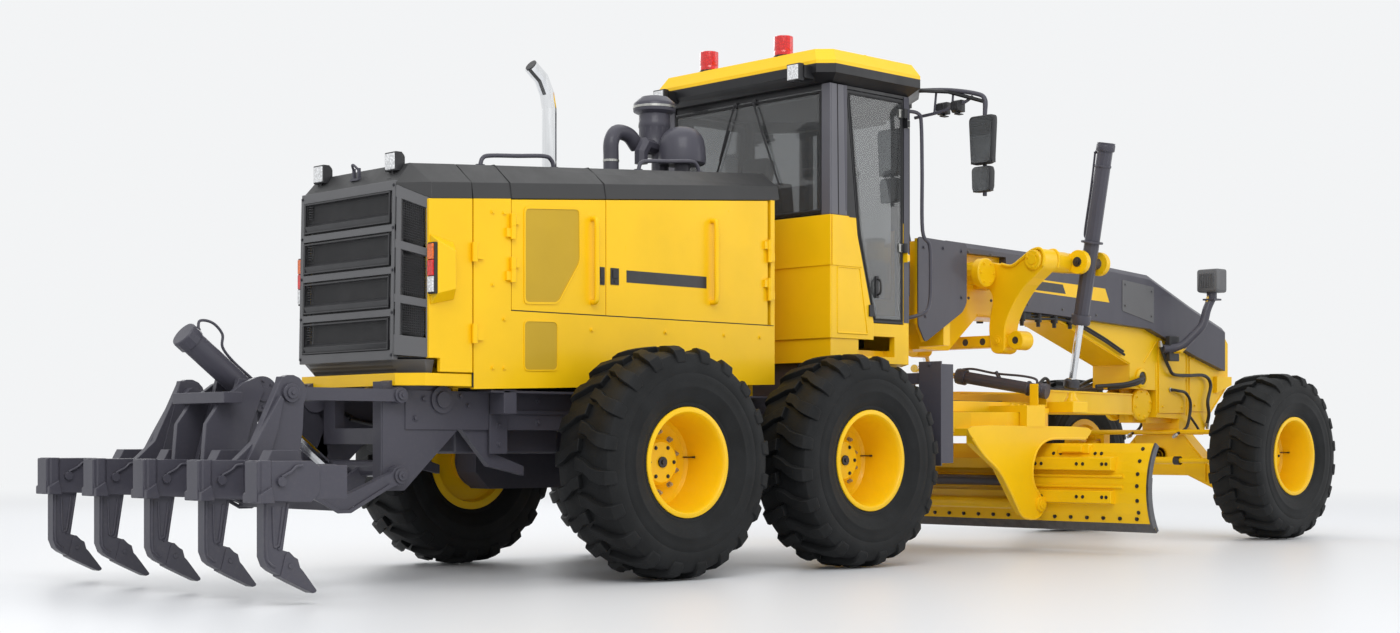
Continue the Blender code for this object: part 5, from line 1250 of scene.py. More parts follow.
def cab_corner_panel(word, side):
    """The yellow panel below a rear corner post, with its pressed ribs."""
    panel = Shape()
    outline = [(0.998, 1.62), (1.455, 1.62), (1.455, 1.75), (1.300, 2.30), (1.160, 2.505), (0.998, 2.505)]
    panel.prism(outline, "Y", span(side, CAB_HALF + 0.0006, CAB_HALF + 0.012))
    panel.box((0.985, 0.9995), span(side, 0.30, CAB_HALF + 0.012), (1.62, 2.505))
    panel.place(f"cab_corner_panel_{word}", "chassis", "yellow", bevel=0.005, segments=3)
    ribs = Shape()
    field = [(1.060, 2.135), (1.300, 2.135), (1.385, 1.660), (1.060, 1.660)]
    border = field + field[:1]
    for start, end in zip(border, border[1:]):
        ribs.tube([(start[0], side * (CAB_HALF + 0.0125), start[1]),
                   (end[0], side * (CAB_HALF + 0.0125), end[1])], 0.007, 8, 1)
    ribs.prism([(0.998, 2.142), (1.318, 2.142), (1.175, 2.505), (0.998, 2.505)], "Y",
               span(side, CAB_HALF + 0.011, CAB_HALF + 0.020))
    ribs.box((0.976, 0.9865), span(side, 0.305, CAB_HALF + 0.020), (2.142, 2.505))
    ribs.place(f"cab_corner_rib_{word}", "chassis", "yellow", bevel=0.006, segments=3)


def cab_pillar_trim(word, side):
    pillar = Shape()
    pillar.prism([(1.128, 3.448), (1.150, 2.54), (1.166, 2.54), (1.166, 3.448)], "Y",
                 span(side, CAB_HALF + 0.0006, CAB_HALF + 0.010))
    pillar.box((1.802, 1.862), span(side, CAB_HALF + 0.0006, CAB_HALF + 0.004), (1.76, 3.445))
    pillar.place(f"cab_pillar_trim_{word}", "chassis", "charcoal", bevel=0.002)


def cab_door_fittings(word, side):
    """Seal, latch, handle and inner grab bar."""
    door = "cab_door_" + word
    seal = Shape()
    outline = [(1.475, 1.775), (1.778, 1.775), (1.778, 3.395), (1.196, 3.395), (1.310, 2.385)]
    seal.bars([(x, side * (CAB_HALF - 0.0005), z) for x, z in outline], 0.007, closed=True)
    seal.place(f"door_seal_{word}", door, "seal")
    latch = Shape()
    latch.box((1.395, 1.445), span(side, CAB_HALF + 0.012, CAB_HALF + 0.026), (1.79, 1.875))
    latch.place(f"cab_lower_latch_{word}", "chassis", "plastic", bevel=0.003)
    handle = Shape()
    handle.box((1.478, 1.512), span(side, CAB_HALF + 0.0008, CAB_HALF + 0.012), (1.93, 2.09))
    handle.tube([(1.495, side * (CAB_HALF + 0.006), 1.95), (1.495, side * (CAB_HALF + 0.040), 1.97),
                 (1.495, side * (CAB_HALF + 0.040), 2.05), (1.495, side * (CAB_HALF + 0.006), 2.07)],
                 0.008, 10)
    handle.place(f"cab_door_handle_{word}", door, "plastic", bevel=0.002)
    inner_rail = Shape()
    inner_rail.tube([(1.40, side * (CAB_HALF - 0.06), 2.25), (1.40, side * (CAB_HALF - 0.09), 2.35),
                     (1.38, side * (CAB_HALF - 0.09), 2.75), (1.37, side * (CAB_HALF - 0.06), 2.85)],
                     0.011, 10)
    inner_rail.place(f"cab_door_grab_{word}", door, "plastic")


def cab_door_hinges(word, side):
    hinges = Shape()
    for z in (2.28, 3.28):
        hinges.box((1.805, 1.858), span(side, CAB_HALF + 0.004, CAB_HALF + 0.011), (z - 0.065, z - 0.004))
    hinges.place(f"cab_hinge_plates_{word}", "chassis", "steel", bevel=0.002)
    plates = Shape()
    for z in (2.28, 3.28):
        plates.box((1.742, 1.792), span(side, CAB_HALF + 0.0006, CAB_HALF + 0.011),
                   (z + 0.004, z + 0.065))
    plates.place(f"cab_hinge_leaves_{word}", "cab_door_" + word, "steel", bevel=0.002)


def cab_grab_rail(word, side):
    rail = Shape()
    out = side * (CAB_HALF + 0.035)
    rail.tube([(1.868, side * (CAB_HALF - 0.015), 3.35), (1.93, out, 3.33), (1.965, out, 3.26),
               (1.975, out, 2.90), (1.98, out, 2.46), (2.06, out, 2.36), (2.075, out, 2.20),
               (2.065, out, 1.93), (1.99, out, 1.84), (1.90, side * (CAB_HALF - 0.06), 1.80)], 0.014, 12)
    rail.place(f"cab_grab_rail_{word}", "chassis", "charcoal")


def mirror_arms(word, side):
    """The mirror arm in two tubes with a stay."""
    arms = Shape()
    arms.tube([(2.03, side * 0.76, 3.53), (2.12, side * 1.00, 3.515), (2.18, side * 1.22, 3.47),
               (2.20, side * 1.30, 3.42), (2.20, side * 1.30, 3.30)], 0.017, 12)
    arms.tube([(2.06, side * 0.74, 3.33), (2.12, side * 0.95, 3.36), (2.17, side * 1.12, 3.41),
               (2.18, side * 1.20, 3.45)], 0.012, 10)
    arms.rod((2.10, side * 0.90, 3.35), (2.10, side * 0.92, 3.52), 0.009, 10)
    arms.rod((2.14, side * 1.04, 3.39), (2.14, side * 1.05, 3.505), 0.009, 10)
    arms.rod((2.20, side * 1.30, 2.70), (2.20, side * 1.30, 3.40), 0.016, 12)
    arms.place(f"mirror_arms_{word}", "chassis", "charcoal")


def mirror_heads(word, side):
    """A large mirror over a small one, each in its rounded case."""
    y = side * 1.30
    for index, (low, high, half_low, half_high) in enumerate(((2.935, 3.290, 0.095, 0.115),
                                                              (2.728, 2.915, 0.082, 0.088))):
        middle, tall = (low + high) / 2, (high - low) / 2
        flat = rounded([(-half_low, -tall), (half_low, -tall), (half_high, tall), (-half_high, tall)],
                       0.035)
        case = Shape()
        stations = ((2.150, 0.97), (2.160, 1.02), (2.198, 1.02), (2.222, 0.86), (2.230, 0.5))
        case.loft([[(x, y + a * grow, middle + b * grow) for a, b in flat] for x, grow in stations])
        case.place(f"mirror_case_{word}_{index}", "chassis", "plastic", smooth=40)
        glass = Shape()
        glass.loft([[(x, y + a * 0.92, middle + b * 0.95) for a, b in flat] for x in (2.1475, 2.1515)])
        glass.place(f"mirror_face_{word}_{index}", "chassis", "mirror")


def cab_lights(word, side):
    """Two lights on the mirror bracket, and one at each end of the roof."""
    for index, reach in enumerate((0.93, 1.07)):
        square_lamp(f"arm_light_{word}_{index}", "chassis", (2.18, side * reach, 3.39), (1, 0, 0), 0.045,
                    0.012)
    square_lamp(f"roof_rear_light_{word}", "chassis", (0.776, side * 0.71, 3.510), (-1, 0, 0), 0.062,
                0.001)
    square_lamp(f"roof_front_light_{word}", "chassis", (2.235, side * 0.50, 3.50), (1, 0, 0), 0.050,
                0.001)


def cab_beacon(word, side):
    """A base under a red dome."""
    centre = (0.99, side * 0.393, 3.686)
    base = Shape()
    base.turned([(0.0, 0.0), (0.074, 0.0), (0.074, 0.012), (0.060, 0.022), (0.0, 0.022)], centre,
                (0, 0, 1), 40)
    base.place(f"beacon_base_{word}", "chassis", "plastic")
    dome = Shape()
    dome.turned([(0.0, 0.018), (0.0685, 0.018), (0.0700, 0.030), (0.0700, 0.046), (0.0685, 0.050),
                 (0.0700, 0.054), (0.0705, 0.140), (0.0700, 0.1545), (0.0640, 0.1585), (0.0400, 0.161),
                 (0.0, 0.162)], centre, (0, 0, 1), 48)
    dome.place(f"beacon_dome_{word}", "chassis", "red")


def rear_wiper(word, side):
    wiper = Shape()
    wiper.rod((0.975, side * 0.10, 3.40), (0.992, side * 0.10, 3.40), 0.022, 20)
    wiper.tube([(0.972, side * 0.10, 3.40), (0.965, side * 0.16, 3.25), (0.970, side * 0.26, 3.00)],
               0.007, 8)
    wiper.rod((0.976, side * 0.16, 3.22), (0.976, side * 0.36, 2.76), 0.008, 6)
    wiper.place(f"rear_wiper_{word}", "chassis", "plastic")


def roof_lift_eye(word, side):
    lift_eye = Shape()
    lift_eye.tube([(1.60, side * 0.62, 3.685), (1.60, side * 0.62, 3.73), (1.615, side * 0.62, 3.755),
                   (1.645, side * 0.62, 3.755), (1.66, side * 0.62, 3.73), (1.66, side * 0.62, 3.685)],
                   0.009, 10)
    lift_eye.place(f"roof_lift_eye_{word}", "chassis", "yellow")


def step_treads(word, side):
    steps = Shape()
    for z in (0.791, 1.091, 1.391):
        for i in range(8):
            steps.rod((1.700 + i * 0.017, side * 1.13, z), (1.700 + i * 0.017, side * 1.27, z), 0.0035, 6)
    steps.place(f"step_treads_{word}", "chassis", "steel")


def window_seals():
    frame_seal = Shape()
    line = [(-0.76, 2.54), (0.76, 2.54), (0.76, 3.39), (-0.76, 3.39)]
    frame_seal.bars([(0.990, y, z) for y, z in line], 0.009, closed=True)
    frame_seal.place("rear_window_seal", "chassis", "seal")
    shield_seal = Shape()
    nose, wing = 2.200, 1.895
    for side in SIDES.values():
        for z in (1.972, 3.392):
            shield_seal.rod((nose, 0, z), (nose, side * 0.498, z), 0.008, 8)
            shield_seal.rod((nose, side * 0.498, z), (wing, side * 0.822, z), 0.008, 8)
        shield_seal.rod((nose, side * 0.498, 1.972), (nose, side * 0.498, 3.392), 0.010, 8)
        shield_seal.rod((wing, side * 0.822, 1.972), (wing, side * 0.822, 3.392), 0.008, 8)
    shield_seal.place("windshield_seal", "chassis", "seal")


def make_cab_details():
    for word, side in SIDES.items():
        cab_corner_post(word, side)
        cab_corner_panel(word, side)
        cab_pillar_trim(word, side)
        cab_door_fittings(word, side)
        cab_door_hinges(word, side)
        cab_grab_rail(word, side)
        mirror_arms(word, side)
        mirror_heads(word, side)
        cab_lights(word, side)
        cab_beacon(word, side)
        rear_wiper(word, side)
        roof_lift_eye(word, side)
        step_treads(word, side)
    window_seals()


def cushion(name, centre, size, tilt):
    """A crowned pad: its faces swell between its edges."""
    pad = Shape()
    steps = 8
    turn = Matrix.Rotation(tilt, 3, "Y")
    rings = []
    for k in range(steps + 1):
        level = -1 + 2 * k / steps
        round_off = (1 - abs(level) ** 4) ** 0.5 if abs(level) < 1 else 0.0
        ring_points = []
        for i in range(32):
            angle = 2 * pi * i / 32
            corner = (abs(cos(angle)) ** 5 + abs(sin(angle)) ** 5) ** -0.2
            reach = 0.80 + 0.20 * round_off
            local = Vector((cos(angle) * corner * size[0] * reach, sin(angle) * corner * size[1] * reach,
                            level * size[2]))
            ring_points.append(Vector(centre) + turn @ local)
        rings.append(ring_points)
    pad.loft(rings)
    piece = pad.place(name, "chassis", "seat_fabric", smooth=60)


def seat_frame():
    """What carries the seat, its arm rests, levers and pedals."""
    seat = Shape()
    for side in SIDES.values():
        seat.rod((1.135, side * 0.06, 2.78), (1.125, side * 0.06, 2.86), 0.008, 10)
        seat.box((1.20, 1.50), span(side, 0.29, 0.35), (2.36, 2.40))
        seat.box((1.20, 1.24), span(side, 0.27, 0.31), (2.12, 2.38))
        seat.box((1.42, 1.56), span(side, 0.36, 0.46), (1.90, 2.30))
        for i in range(4):
            seat.rod((1.45 + i * 0.028, side * 0.41, 2.29), (1.45 + i * 0.028, side * 0.41, 2.40), 0.006,
                     8)
            seat.rod((1.45 + i * 0.028, side * 0.41, 2.385), (1.45 + i * 0.028, side * 0.41, 2.415),
                     0.011, 10)
        seat.box((1.95, 2.05), span(side, 0.14, 0.24), (1.60, 1.75))
    seat.place("seat_frame_and_levers", "chassis", "plastic", bevel=0.006, segments=3)


def steering_wheel():
    wheel = Shape()
    middle, axis = Vector((1.845, 0, 2.455)), Vector((-0.22, 0, 0.97)).normalized()
    across, up = frame_along(axis)
    rim = circle_at(middle, across, up, 0.185, 40)
    wheel.tube(rim + rim[:1], 0.014, 12, 1)
    for i in range(3):
        angle = 2 * pi * i / 3 + 0.5
        wheel.rod(middle, middle + (across * cos(angle) + up * sin(angle)) * 0.182, 0.010, 10)
    wheel.rod(middle - axis * 0.02, middle + axis * 0.018, 0.045, 24)
    wheel.place("steering_wheel_rim", "chassis", "plastic", bevel=0.003)


def make_cab_interior():
    """Seat with bolsters, head rest and arm rests, console, wheel and pedals."""
    cushion("seat_cushion", (1.43, 0, 2.16), (0.25, 0.25, 0.055), 0.06)
    cushion("seat_back", (1.185, 0, 2.50), (0.32, 0.235, 0.055), radians(-80))
    cushion("head_rest", (1.125, 0, 2.90), (0.10, 0.14, 0.045), radians(-80))
    seat_frame()
    steering_wheel()
    console = Shape()
    console.box((1.90, 1.985), (-0.16, 0.16), (2.15, 2.34))
    console.place("dash_pod", "chassis", "plastic", bevel=0.02, segments=4)
    lining = Shape()
    lining.box((1.06, 1.08), (-0.78, 0.78), (1.60, 2.48))
    lining.box((1.10, 2.0), (-0.50, 0.50), (3.425, 3.445))
    lining.place("cab_lining", "chassis", "plastic")
    blind = Shape()
    blind.rod((2.10, -0.40, 3.34), (2.10, 0.40, 3.34), 0.02, 16)
    blind.place("sun_blind", "chassis", "plastic")


# ------------------------------------------------------------------ ripper and rear frame
RIPPER_FRAME_X, RIPPER_BODY_X = -2.50, -3.30
RIPPER_UPPER_Z, RIPPER_LOWER_Z = 1.156, 0.670
SHANK_SPACING, BEAM_HALF = 0.62, 1.30


def pin_cap(shape, place, direction, radius, thick=0.022):
    """A pin's end: a flat keeper disc, the pin's face and its bolt."""
    place, direction = Vector(place), Vector(direction).normalized()
    shape.rod(place, place + direction * thick, radius, 32)
    shape.rod(place + direction * thick, place + direction * (thick + 0.012), radius * 0.60, 28)
    shape.rod(place + direction * (thick + 0.012), place + direction * (thick + 0.020), radius * 0.24, 6)


def shank_holder(tag, y):
    holder = Shape()
    block = [(-3.928, 0.775), (-3.928, 0.640), (-3.915, 0.565), (-3.60, 0.552), (-3.545, 0.60),
             (-3.545, 0.745), (-3.60, 0.775)]
    holder.prism(block, "Y", (y - 0.066, y + 0.066))
    nose = [(-3.928, y - 0.030), (-3.905, y - 0.075), (-3.86, y - 0.080), (-3.84, y - 0.064),
            (-3.84, y + 0.064), (-3.86, y + 0.080), (-3.905, y + 0.075), (-3.928, y + 0.030)]
    holder.prism(nose, "Z", (0.552, 0.778))
    flare = [(-3.925, 0.552), (-3.925, 0.600), (-3.86, 0.640), (-3.84, 0.552)]
    holder.prism(flare, "Y", (y - 0.095, y + 0.095))
    holder.place("shank_holder_" + tag, "ripper_beam", "charcoal", bevel=0.006, segments=3)


def ripper_shank(tag, y):
    shank = Shape()
    outline = [
        (-3.874, 0.60), (-3.874, 0.268), (-3.853, 0.216), (-3.822, 0.191), (-3.745, 0.152),
        (-3.700, 0.200), (-3.722, 0.289), (-3.758, 0.300), (-3.742, 0.40), (-3.716, 0.56), (-3.716, 0.60),
    ]
    shank.prism(outline, "Y", (y - 0.035, y + 0.035))
    for sign in (1, -1):
        # Raised borders leave a sunk panel between them.
        wall = y + sign * 0.035
        borders = (
            [(-3.858, 0.55), (-3.858, 0.285), (-3.835, 0.232), (-3.805, 0.212)],
            [(-3.728, 0.55), (-3.752, 0.42), (-3.772, 0.320), (-3.79, 0.305)],
            [(-3.820, 0.53), (-3.812, 0.335), (-3.795, 0.325), (-3.782, 0.345), (-3.758, 0.53)],
        )
        for line in borders:
            shank.tube([(x, wall, z) for x, z in line], 0.008, 8)
    shank.place("ripper_shank_" + tag, "ripper_beam", "charcoal", bevel=0.005)


def ripper_tooth(tag, y):
    tooth = Shape()
    cap = [
        (-3.775, 0.160), (-3.745, 0.275), (-3.722, 0.292), (-3.690, 0.262), (-3.668, 0.250),
        (-3.655, 0.205), (-3.640, 0.190), (-3.552, 0.078), (-3.556, 0.0665), (-3.574, 0.062),
        (-3.700, 0.122),
    ]
    tooth.prism(cap, "Y", (y - 0.042, y + 0.042))
    for sign in (1, -1):
        tooth.rod((-3.715, y + sign * 0.041, 0.215), (-3.715, y + sign * 0.048, 0.215), 0.015, 20)
    tooth.place("ripper_tooth_" + tag, "ripper_beam", "charcoal", bevel=0.004)


def shank_pin(tag, y):
    pins = Shape()
    for sign in (1, -1):
        at = y + sign * 0.066
        pins.rod((-3.79, at - sign * 0.002, 0.665), (-3.79, at + sign * 0.020, 0.665), 0.026, 24)
        pins.tube([(-3.79, at + sign * 0.010, 0.69), (-3.73, at + sign * 0.010, 0.72),
                   (-3.70, at + sign * 0.010, 0.745), (-3.66, at + sign * 0.010, 0.75)], 0.008, 8)
    pins.place("shank_pin_" + tag, "ripper_beam", "charcoal", bevel=0.002)


def ripper_cheeks():
    frame_plates = Shape()
    for side in SIDES.values():
        # The tall outer cheeks: round over the pin at the top, broad at the beam.
        top = Vector((-3.295, 1.156))
        head = [(top.x + 0.105 * cos(a),
                 top.y + 0.105 * sin(a)) for a in [radians(-35 + 23 * k) for k in range(8)]]
        outline = head + [(-3.53, 0.88), (-3.66, 0.765), (-3.245, 0.765), (-3.215, 0.95)]
        frame_plates.prism(outline, "Y", span(side, 0.553, 0.606))
        rib = [(-3.60, 0.765), (-3.50, 0.94), (-3.38, 1.14), (-3.36, 1.12), (-3.40, 0.94), (-3.46, 0.765)]
        frame_plates.prism(rib, "Y", span(side, 0.600, 0.640))
        gusset = [(-3.64, 0.757), (-3.60, 0.83), (-3.44, 0.83), (-3.40, 0.757)]
        for centre in (0.30, 0.86):
            frame_plates.prism(gusset, "Y", span(side, centre - 0.05, centre + 0.05))
        inner = [(-3.62, 0.755), (-3.60, 0.98), (-3.50, 1.12), (-3.36, 1.22), (-3.26, 1.26),
                 (-3.22, 1.18), (-3.30, 0.98), (-3.36, 0.755)]
        frame_plates.prism(inner, "Y", span(side, 0.150, 0.190))
        frame_plates.box((-3.66, -3.36), span(side, 1.02, 1.18), (0.566, 0.754))
        pin_cap(frame_plates, (-3.30, side * 0.606, RIPPER_UPPER_Z), (0, side, 0), 0.055)
    frame_plates.box((-3.55, -3.43), (-0.30, 0.30), (1.10, 1.165))
    frame_plates.place("ripper_cheeks", "ripper_beam", "charcoal", bevel=0.006, segments=3)


def ripper_trunnion_discs():
    disc = Shape()
    for side in SIDES.values():
        disc.rod((-3.21, side * 0.0965, 1.16), (-3.21, side * 0.146, 1.16), 0.030, 24)
        disc.rod((-3.21, side * 0.141, 1.16), (-3.21, side * 0.158, 1.16), 0.105, 36)
        disc.bolt_circle((-3.21, side * 0.158, 1.16), "Y", side, 0.078, 8, 0.009)
        disc.rod((-3.21, side * 0.156, 1.16), (-3.21, side * 0.172, 1.16), 0.045, 28)
    disc.place("ripper_trunnion_discs", "ripper_beam", "charcoal", bevel=0.002)


def ripper_link_edges():
    links = Shape()
    for side in SIDES.values():
        for x in (RIPPER_FRAME_X, RIPPER_BODY_X):
            pin_cap(links, (x, side * 0.550, RIPPER_LOWER_Z), (0, side, 0), 0.048, 0.014)
        links.prism([(-2.58, 0.60), (-2.86, 0.455), (-2.95, 0.455), (-3.22, 0.60), (-3.22, 0.625),
                     (-2.94, 0.475), (-2.87, 0.475), (-2.58, 0.625)], "Y",
                    span(side, 0.553, 0.566))
    links.place("lower_link_edges", "ripper_lower_link", "charcoal", bevel=0.003)


def frame_ears():
    """The rear frame's ears, which carry the ripper's links."""
    ears = Shape()
    for side in SIDES.values():
        for z, radius in ((RIPPER_UPPER_Z, 0.095), (RIPPER_LOWER_Z, 0.090)):
            ears.rod((RIPPER_FRAME_X, side * 0.385, z), (RIPPER_FRAME_X, side * 0.4885, z), radius, 36)
        ears.prism([(-2.60, 1.24), (-2.60, 0.62), (-2.45, 0.60), (-2.40, 0.80), (-2.42, 0.98),
                    (-2.28, 1.16), (-2.10, 1.235)], "Y", span(side, 0.40, 0.487))
        ears.rod((-2.16, side * 0.487, 1.135), (-2.16, side * 0.515, 1.135), 0.085, 36)
        ears.rod((-2.16, side * 0.510, 1.135), (-2.16, side * 0.530, 1.135), 0.052, 32)
        ears.side_bolts(side, 0.500, ((-2.36, 1.02), (-2.30, 1.14), (-2.02, 1.16), (-1.96, 1.10)), 0.015)
        ears.prism([(-2.02, 0.98), (-1.78, 0.72), (-1.50, 0.66), (-1.50, 0.72), (-1.74, 0.80),
                    (-1.80, 0.98)], "Y", span(side, 0.43, 0.48))
        ears.prism([(-1.80, 1.195), (-1.80, 0.80), (-1.66, 0.80), (-1.66, 1.195)], "Y",
                   span(side, 0.500, 0.515))
        ears.side_bolts(side, 0.515, [(-1.73, z) for z in (0.86, 0.98, 1.10)], 0.013)
    # A plate across the frame, above the opening between the ears.
    ears.box((-2.436, -2.42), (-0.385, 0.385), (1.235, 1.338))
    ears.place("frame_ears", "chassis", "charcoal", bevel=0.005, segments=3)


def upper_link_pins():
    pins = Shape()
    for side in SIDES.values():
        pin_cap(pins, (RIPPER_FRAME_X, side * 0.550, RIPPER_UPPER_Z), (0, side, 0), 0.046, 0.014)
    pins.place("upper_link_pins", "ripper_upper_link", "charcoal", bevel=0.002)


def ripper_cylinder():
    """A line along the barrel, and its caps."""
    lines = Shape()
    trunnion, eye = Vector((-3.21, 0, 1.16)), Vector((-2.52, 0, 0.61))
    along = (eye - trunnion).normalized()
    head = trunnion - along * 0.50
    up = Vector((along.z, 0, -along.x)) * -1
    lines.tube([head + up * 0.070 + Vector((0, -0.02, 0)), head + up * 0.13 - along * 0.02,
                head + up * 0.175 + along * 0.05, head + up * 0.165 + along * 0.14,
                head + up * 0.105 + along * 0.19, head + up * 0.085 + along * 0.30,
                trunnion + up * 0.086 - along * 0.03, trunnion + up * 0.080 + along * 0.02], 0.0085, 10)
    lines.rod(head + up * 0.06, head + up * 0.092, 0.016, 6)
    lines.rod(trunnion + up * 0.06, trunnion + up * 0.095, 0.018, 6)
    lines.place("ripper_cylinder_line", "ripper_barrel", "charcoal")
    caps = Shape()
    caps.turned([(0.0, -0.006), (0.076, -0.006), (0.0805, 0.0), (0.0805, 0.035), (0.071, 0.045),
                 (0.0, 0.045)], trunnion - along * 0.552, along, 40)
    caps.turned([(0.0708, -0.010), (0.086, -0.010), (0.090, 0.0), (0.090, 0.05), (0.086, 0.06),
                 (0.0708, 0.06)], trunnion + along * 0.105, along, 40)
    caps.rod(trunnion - along * 0.55, trunnion + along * 0.165, 0.0722, 44)
    caps.place("ripper_cylinder_caps", "ripper_barrel", "charcoal", bevel=0.002)


def make_ripper_details():
    for i in range(-2, 3):
        y = max(-BEAM_HALF + 0.06, min(BEAM_HALF - 0.06, i * SHANK_SPACING))
        tag = str(i + 3)
        shank_holder(tag, y)
        ripper_shank(tag, y)
        ripper_tooth(tag, y)
        shank_pin(tag, y)
    ripper_cheeks()
    ripper_trunnion_discs()
    ripper_link_edges()
    frame_ears()
    upper_link_pins()
    ripper_cylinder()


def frame_tanks():
    tanks = Shape()
    tanks.box((-1.95, -1.10), (-0.34, 0.34), (0.80, 0.99))
    tanks.box((1.25, 1.66), (-0.98, -0.52), (0.98, 1.34))
    tanks.box((1.25, 1.66), (0.52, 0.98), (0.98, 1.34))
    tanks.place("frame_tanks", "chassis", "charcoal", bevel=0.02, segments=4)


def rail_flanges():
    rails = Shape()
    for side in SIDES.values():
        rails.box((-1.60, 0.95), span(side, 0.500, 0.512), (1.05, 1.075))
        for x in (-1.4, -0.6, 0.2, 0.9):
            rails.bolt((x, side * 0.500, 1.14), (0, side, 0), 0.014)
            rails.bolt((x, side * 0.500, 1.00), (0, side, 0), 0.014)
        rails.box((-1.90, 0.60), span(side, 0.52, 0.66), (1.182, 1.196))
    rails.place("rail_flanges", "chassis", "charcoal", bevel=0.002)


def under_engine_hoses():
    hoses = Shape()
    for side in SIDES.values():
        for k in range(3):
            y = side * (0.30 + 0.03 * k)
            hoses.tube([(-2.30, y, 1.02 + 0.02 * k), (-2.10, y, 0.99), (-1.7, y, 1.0 + 0.012 * k),
                        (-1.2, y, 1.03), (-0.5, y, 1.05)], 0.012, 8)
    hoses.place("under_engine_hoses", "chassis", "hose")


def tandem_covers():
    case = Shape()
    for side in SIDES.values():
        for x in (-0.87, 0.87):
            case.turned([(0.1385, 0.0), (0.20, 0.0), (0.20, 0.022), (0.165, 0.030), (0.1385, 0.030)],
                        (x, side * 0.822, AXLE_Z), (0, side, 0), 48)
            case.bolt_circle((x, side * 0.846, AXLE_Z), "Y", side, 0.182, 12, 0.010)
        for x in (-0.35, 0.0, 0.35):
            case.bolt((x, side * 0.822, AXLE_Z + 0.16), (0, side, 0), 0.013)
            case.bolt((x, side * 0.822, AXLE_Z - 0.16), (0, side, 0), 0.013)
        case.rod((0.0, side * 0.70, AXLE_Z + 0.20), (0.0, side * 0.70, AXLE_Z + 0.225), 0.03, 6)
    case.place("tandem_covers", "chassis", "charcoal", bevel=0.002)


def ladder_side_guards():
    guards = Shape()
    for side in SIDES.values():
        guards.box((1.684, 1.696), span(side, 1.095, 1.305), (0.70, 1.46))
        for z in (1.44, 0.73):
            guards.bolt((1.684, side * 1.20, z), (-1, 0, 0), 0.012)
    guards.place("ladder_side_guard", "chassis", "charcoal", bevel=0.002)


def make_rear_frame_details():
    """What hangs between and beside the rails: tanks, flanges, hoses, tandem covers and ladder guards."""
    frame_tanks()
    rail_flanges()
    under_engine_hoses()
    tandem_covers()
    ladder_side_guards()


# ------------------------------------------------------------------ front frame
def top_line(x):
    points = [(2.45, 2.51), (4.44, 2.47), (5.95, 2.385), (6.68, 2.126), (7.385, 1.90)]
    for (x0, z0), (x1, z1) in zip(points, points[1:]):
        if x <= x1:
            return z0 + (z1 - z0) * (x - x0) / (x1 - x0)
    return points[-1][1]


def lift_arm(word, side):
    arm = Shape()
    line = [
        (0.190, 2.345), (0.36, 2.350), (0.50, 2.325), (0.60, 2.305), (0.70, 2.355), (0.80, 2.415),
        (0.885, 2.425), (0.925, 2.370), (0.915, 2.285), (0.845, 2.225), (0.745, 2.150), (0.655, 2.050),
        (0.575, 1.930), (0.530, 1.820), (0.522, 1.700), (0.515, 1.620), (0.450, 1.595), (0.385, 1.625),
        (0.368, 1.720), (0.362, 1.830), (0.385, 1.950), (0.400, 2.040), (0.372, 2.115), (0.30, 2.145),
        (0.190, 2.150),
    ]
    arm.prism([(side * a, b) for a, b in curved(line)], "X", (3.450, 3.630))
    arm.place("lift_arm_" + word, "front_frame", "yellow", bevel=0.012, segments=3)
    rim = Shape()
    for x in (3.640, 3.440):
        path = [(x, side * a, b) for a, b in line[2:9]]
        rim.tube(path, 0.012, 8)
    rim.place("lift_arm_rim_" + word, "front_frame", "yellow")


def trunnion_boss(word, side):
    boss = Shape()
    centre = Vector((3.425, side * 0.82, 2.34))
    boss.turned([(0.0, 0.0), (0.070, 0.0), (0.083, 0.010), (0.083, 0.030), (0.086, 0.034), (0.086, 0.42),
                 (0.083, 0.43), (0.083, 0.50), (0.0, 0.50)],
                centre, (1, 0, 0), 48)
    boss.rod(centre - Vector((0.008, 0, 0)), centre, 0.040, 28)
    boss.bolt_circle(centre, "X", -1, 0.055, 3, 0.008, 0.4)
    boss.place("trunnion_boss_" + word, "front_frame", "yellow", bevel=0.002)


def lift_clevis(word, side):
    ear = Shape()
    centre_y = side * 0.95
    for low, high in ((3.856, 3.9085), (4.1315, 4.184)):
        ear.prism([(centre_y + a, 2.34 + b) for a, b in around(28, 0.098)], "X", (low, high))
    ear.box((3.856, 4.184), span(side, 0.800, 0.8455), (2.262, 2.418))
    ear.place("clevis_" + word, "front_frame", "yellow", bevel=0.004)
    caps = Shape()
    pin_cap(caps, (4.184, centre_y, 2.34), (1, 0, 0), 0.040, 0.008)
    pin_cap(caps, (3.856, centre_y, 2.34), (-1, 0, 0), 0.040, 0.008)
    caps.place("clevis_pins_" + word, "front_frame", "dark_steel", bevel=0.001)


def saddle_pivot(word, side):
    pivot = Shape()
    pivot.turned([(0.0, 0.0), (0.112, 0.0), (0.118, 0.006), (0.118, 0.07), (0.108, 0.08), (0.0, 0.08)],
                 (3.30, side * 0.385, 2.25), (0, side, 0), 40)
    pivot.bolt_circle((3.30, side * 0.465, 2.25), "Y", side, 0.085, 6, 0.010)
    pivot.place("saddle_pivot_" + word, "front_frame", "yellow", bevel=0.002)


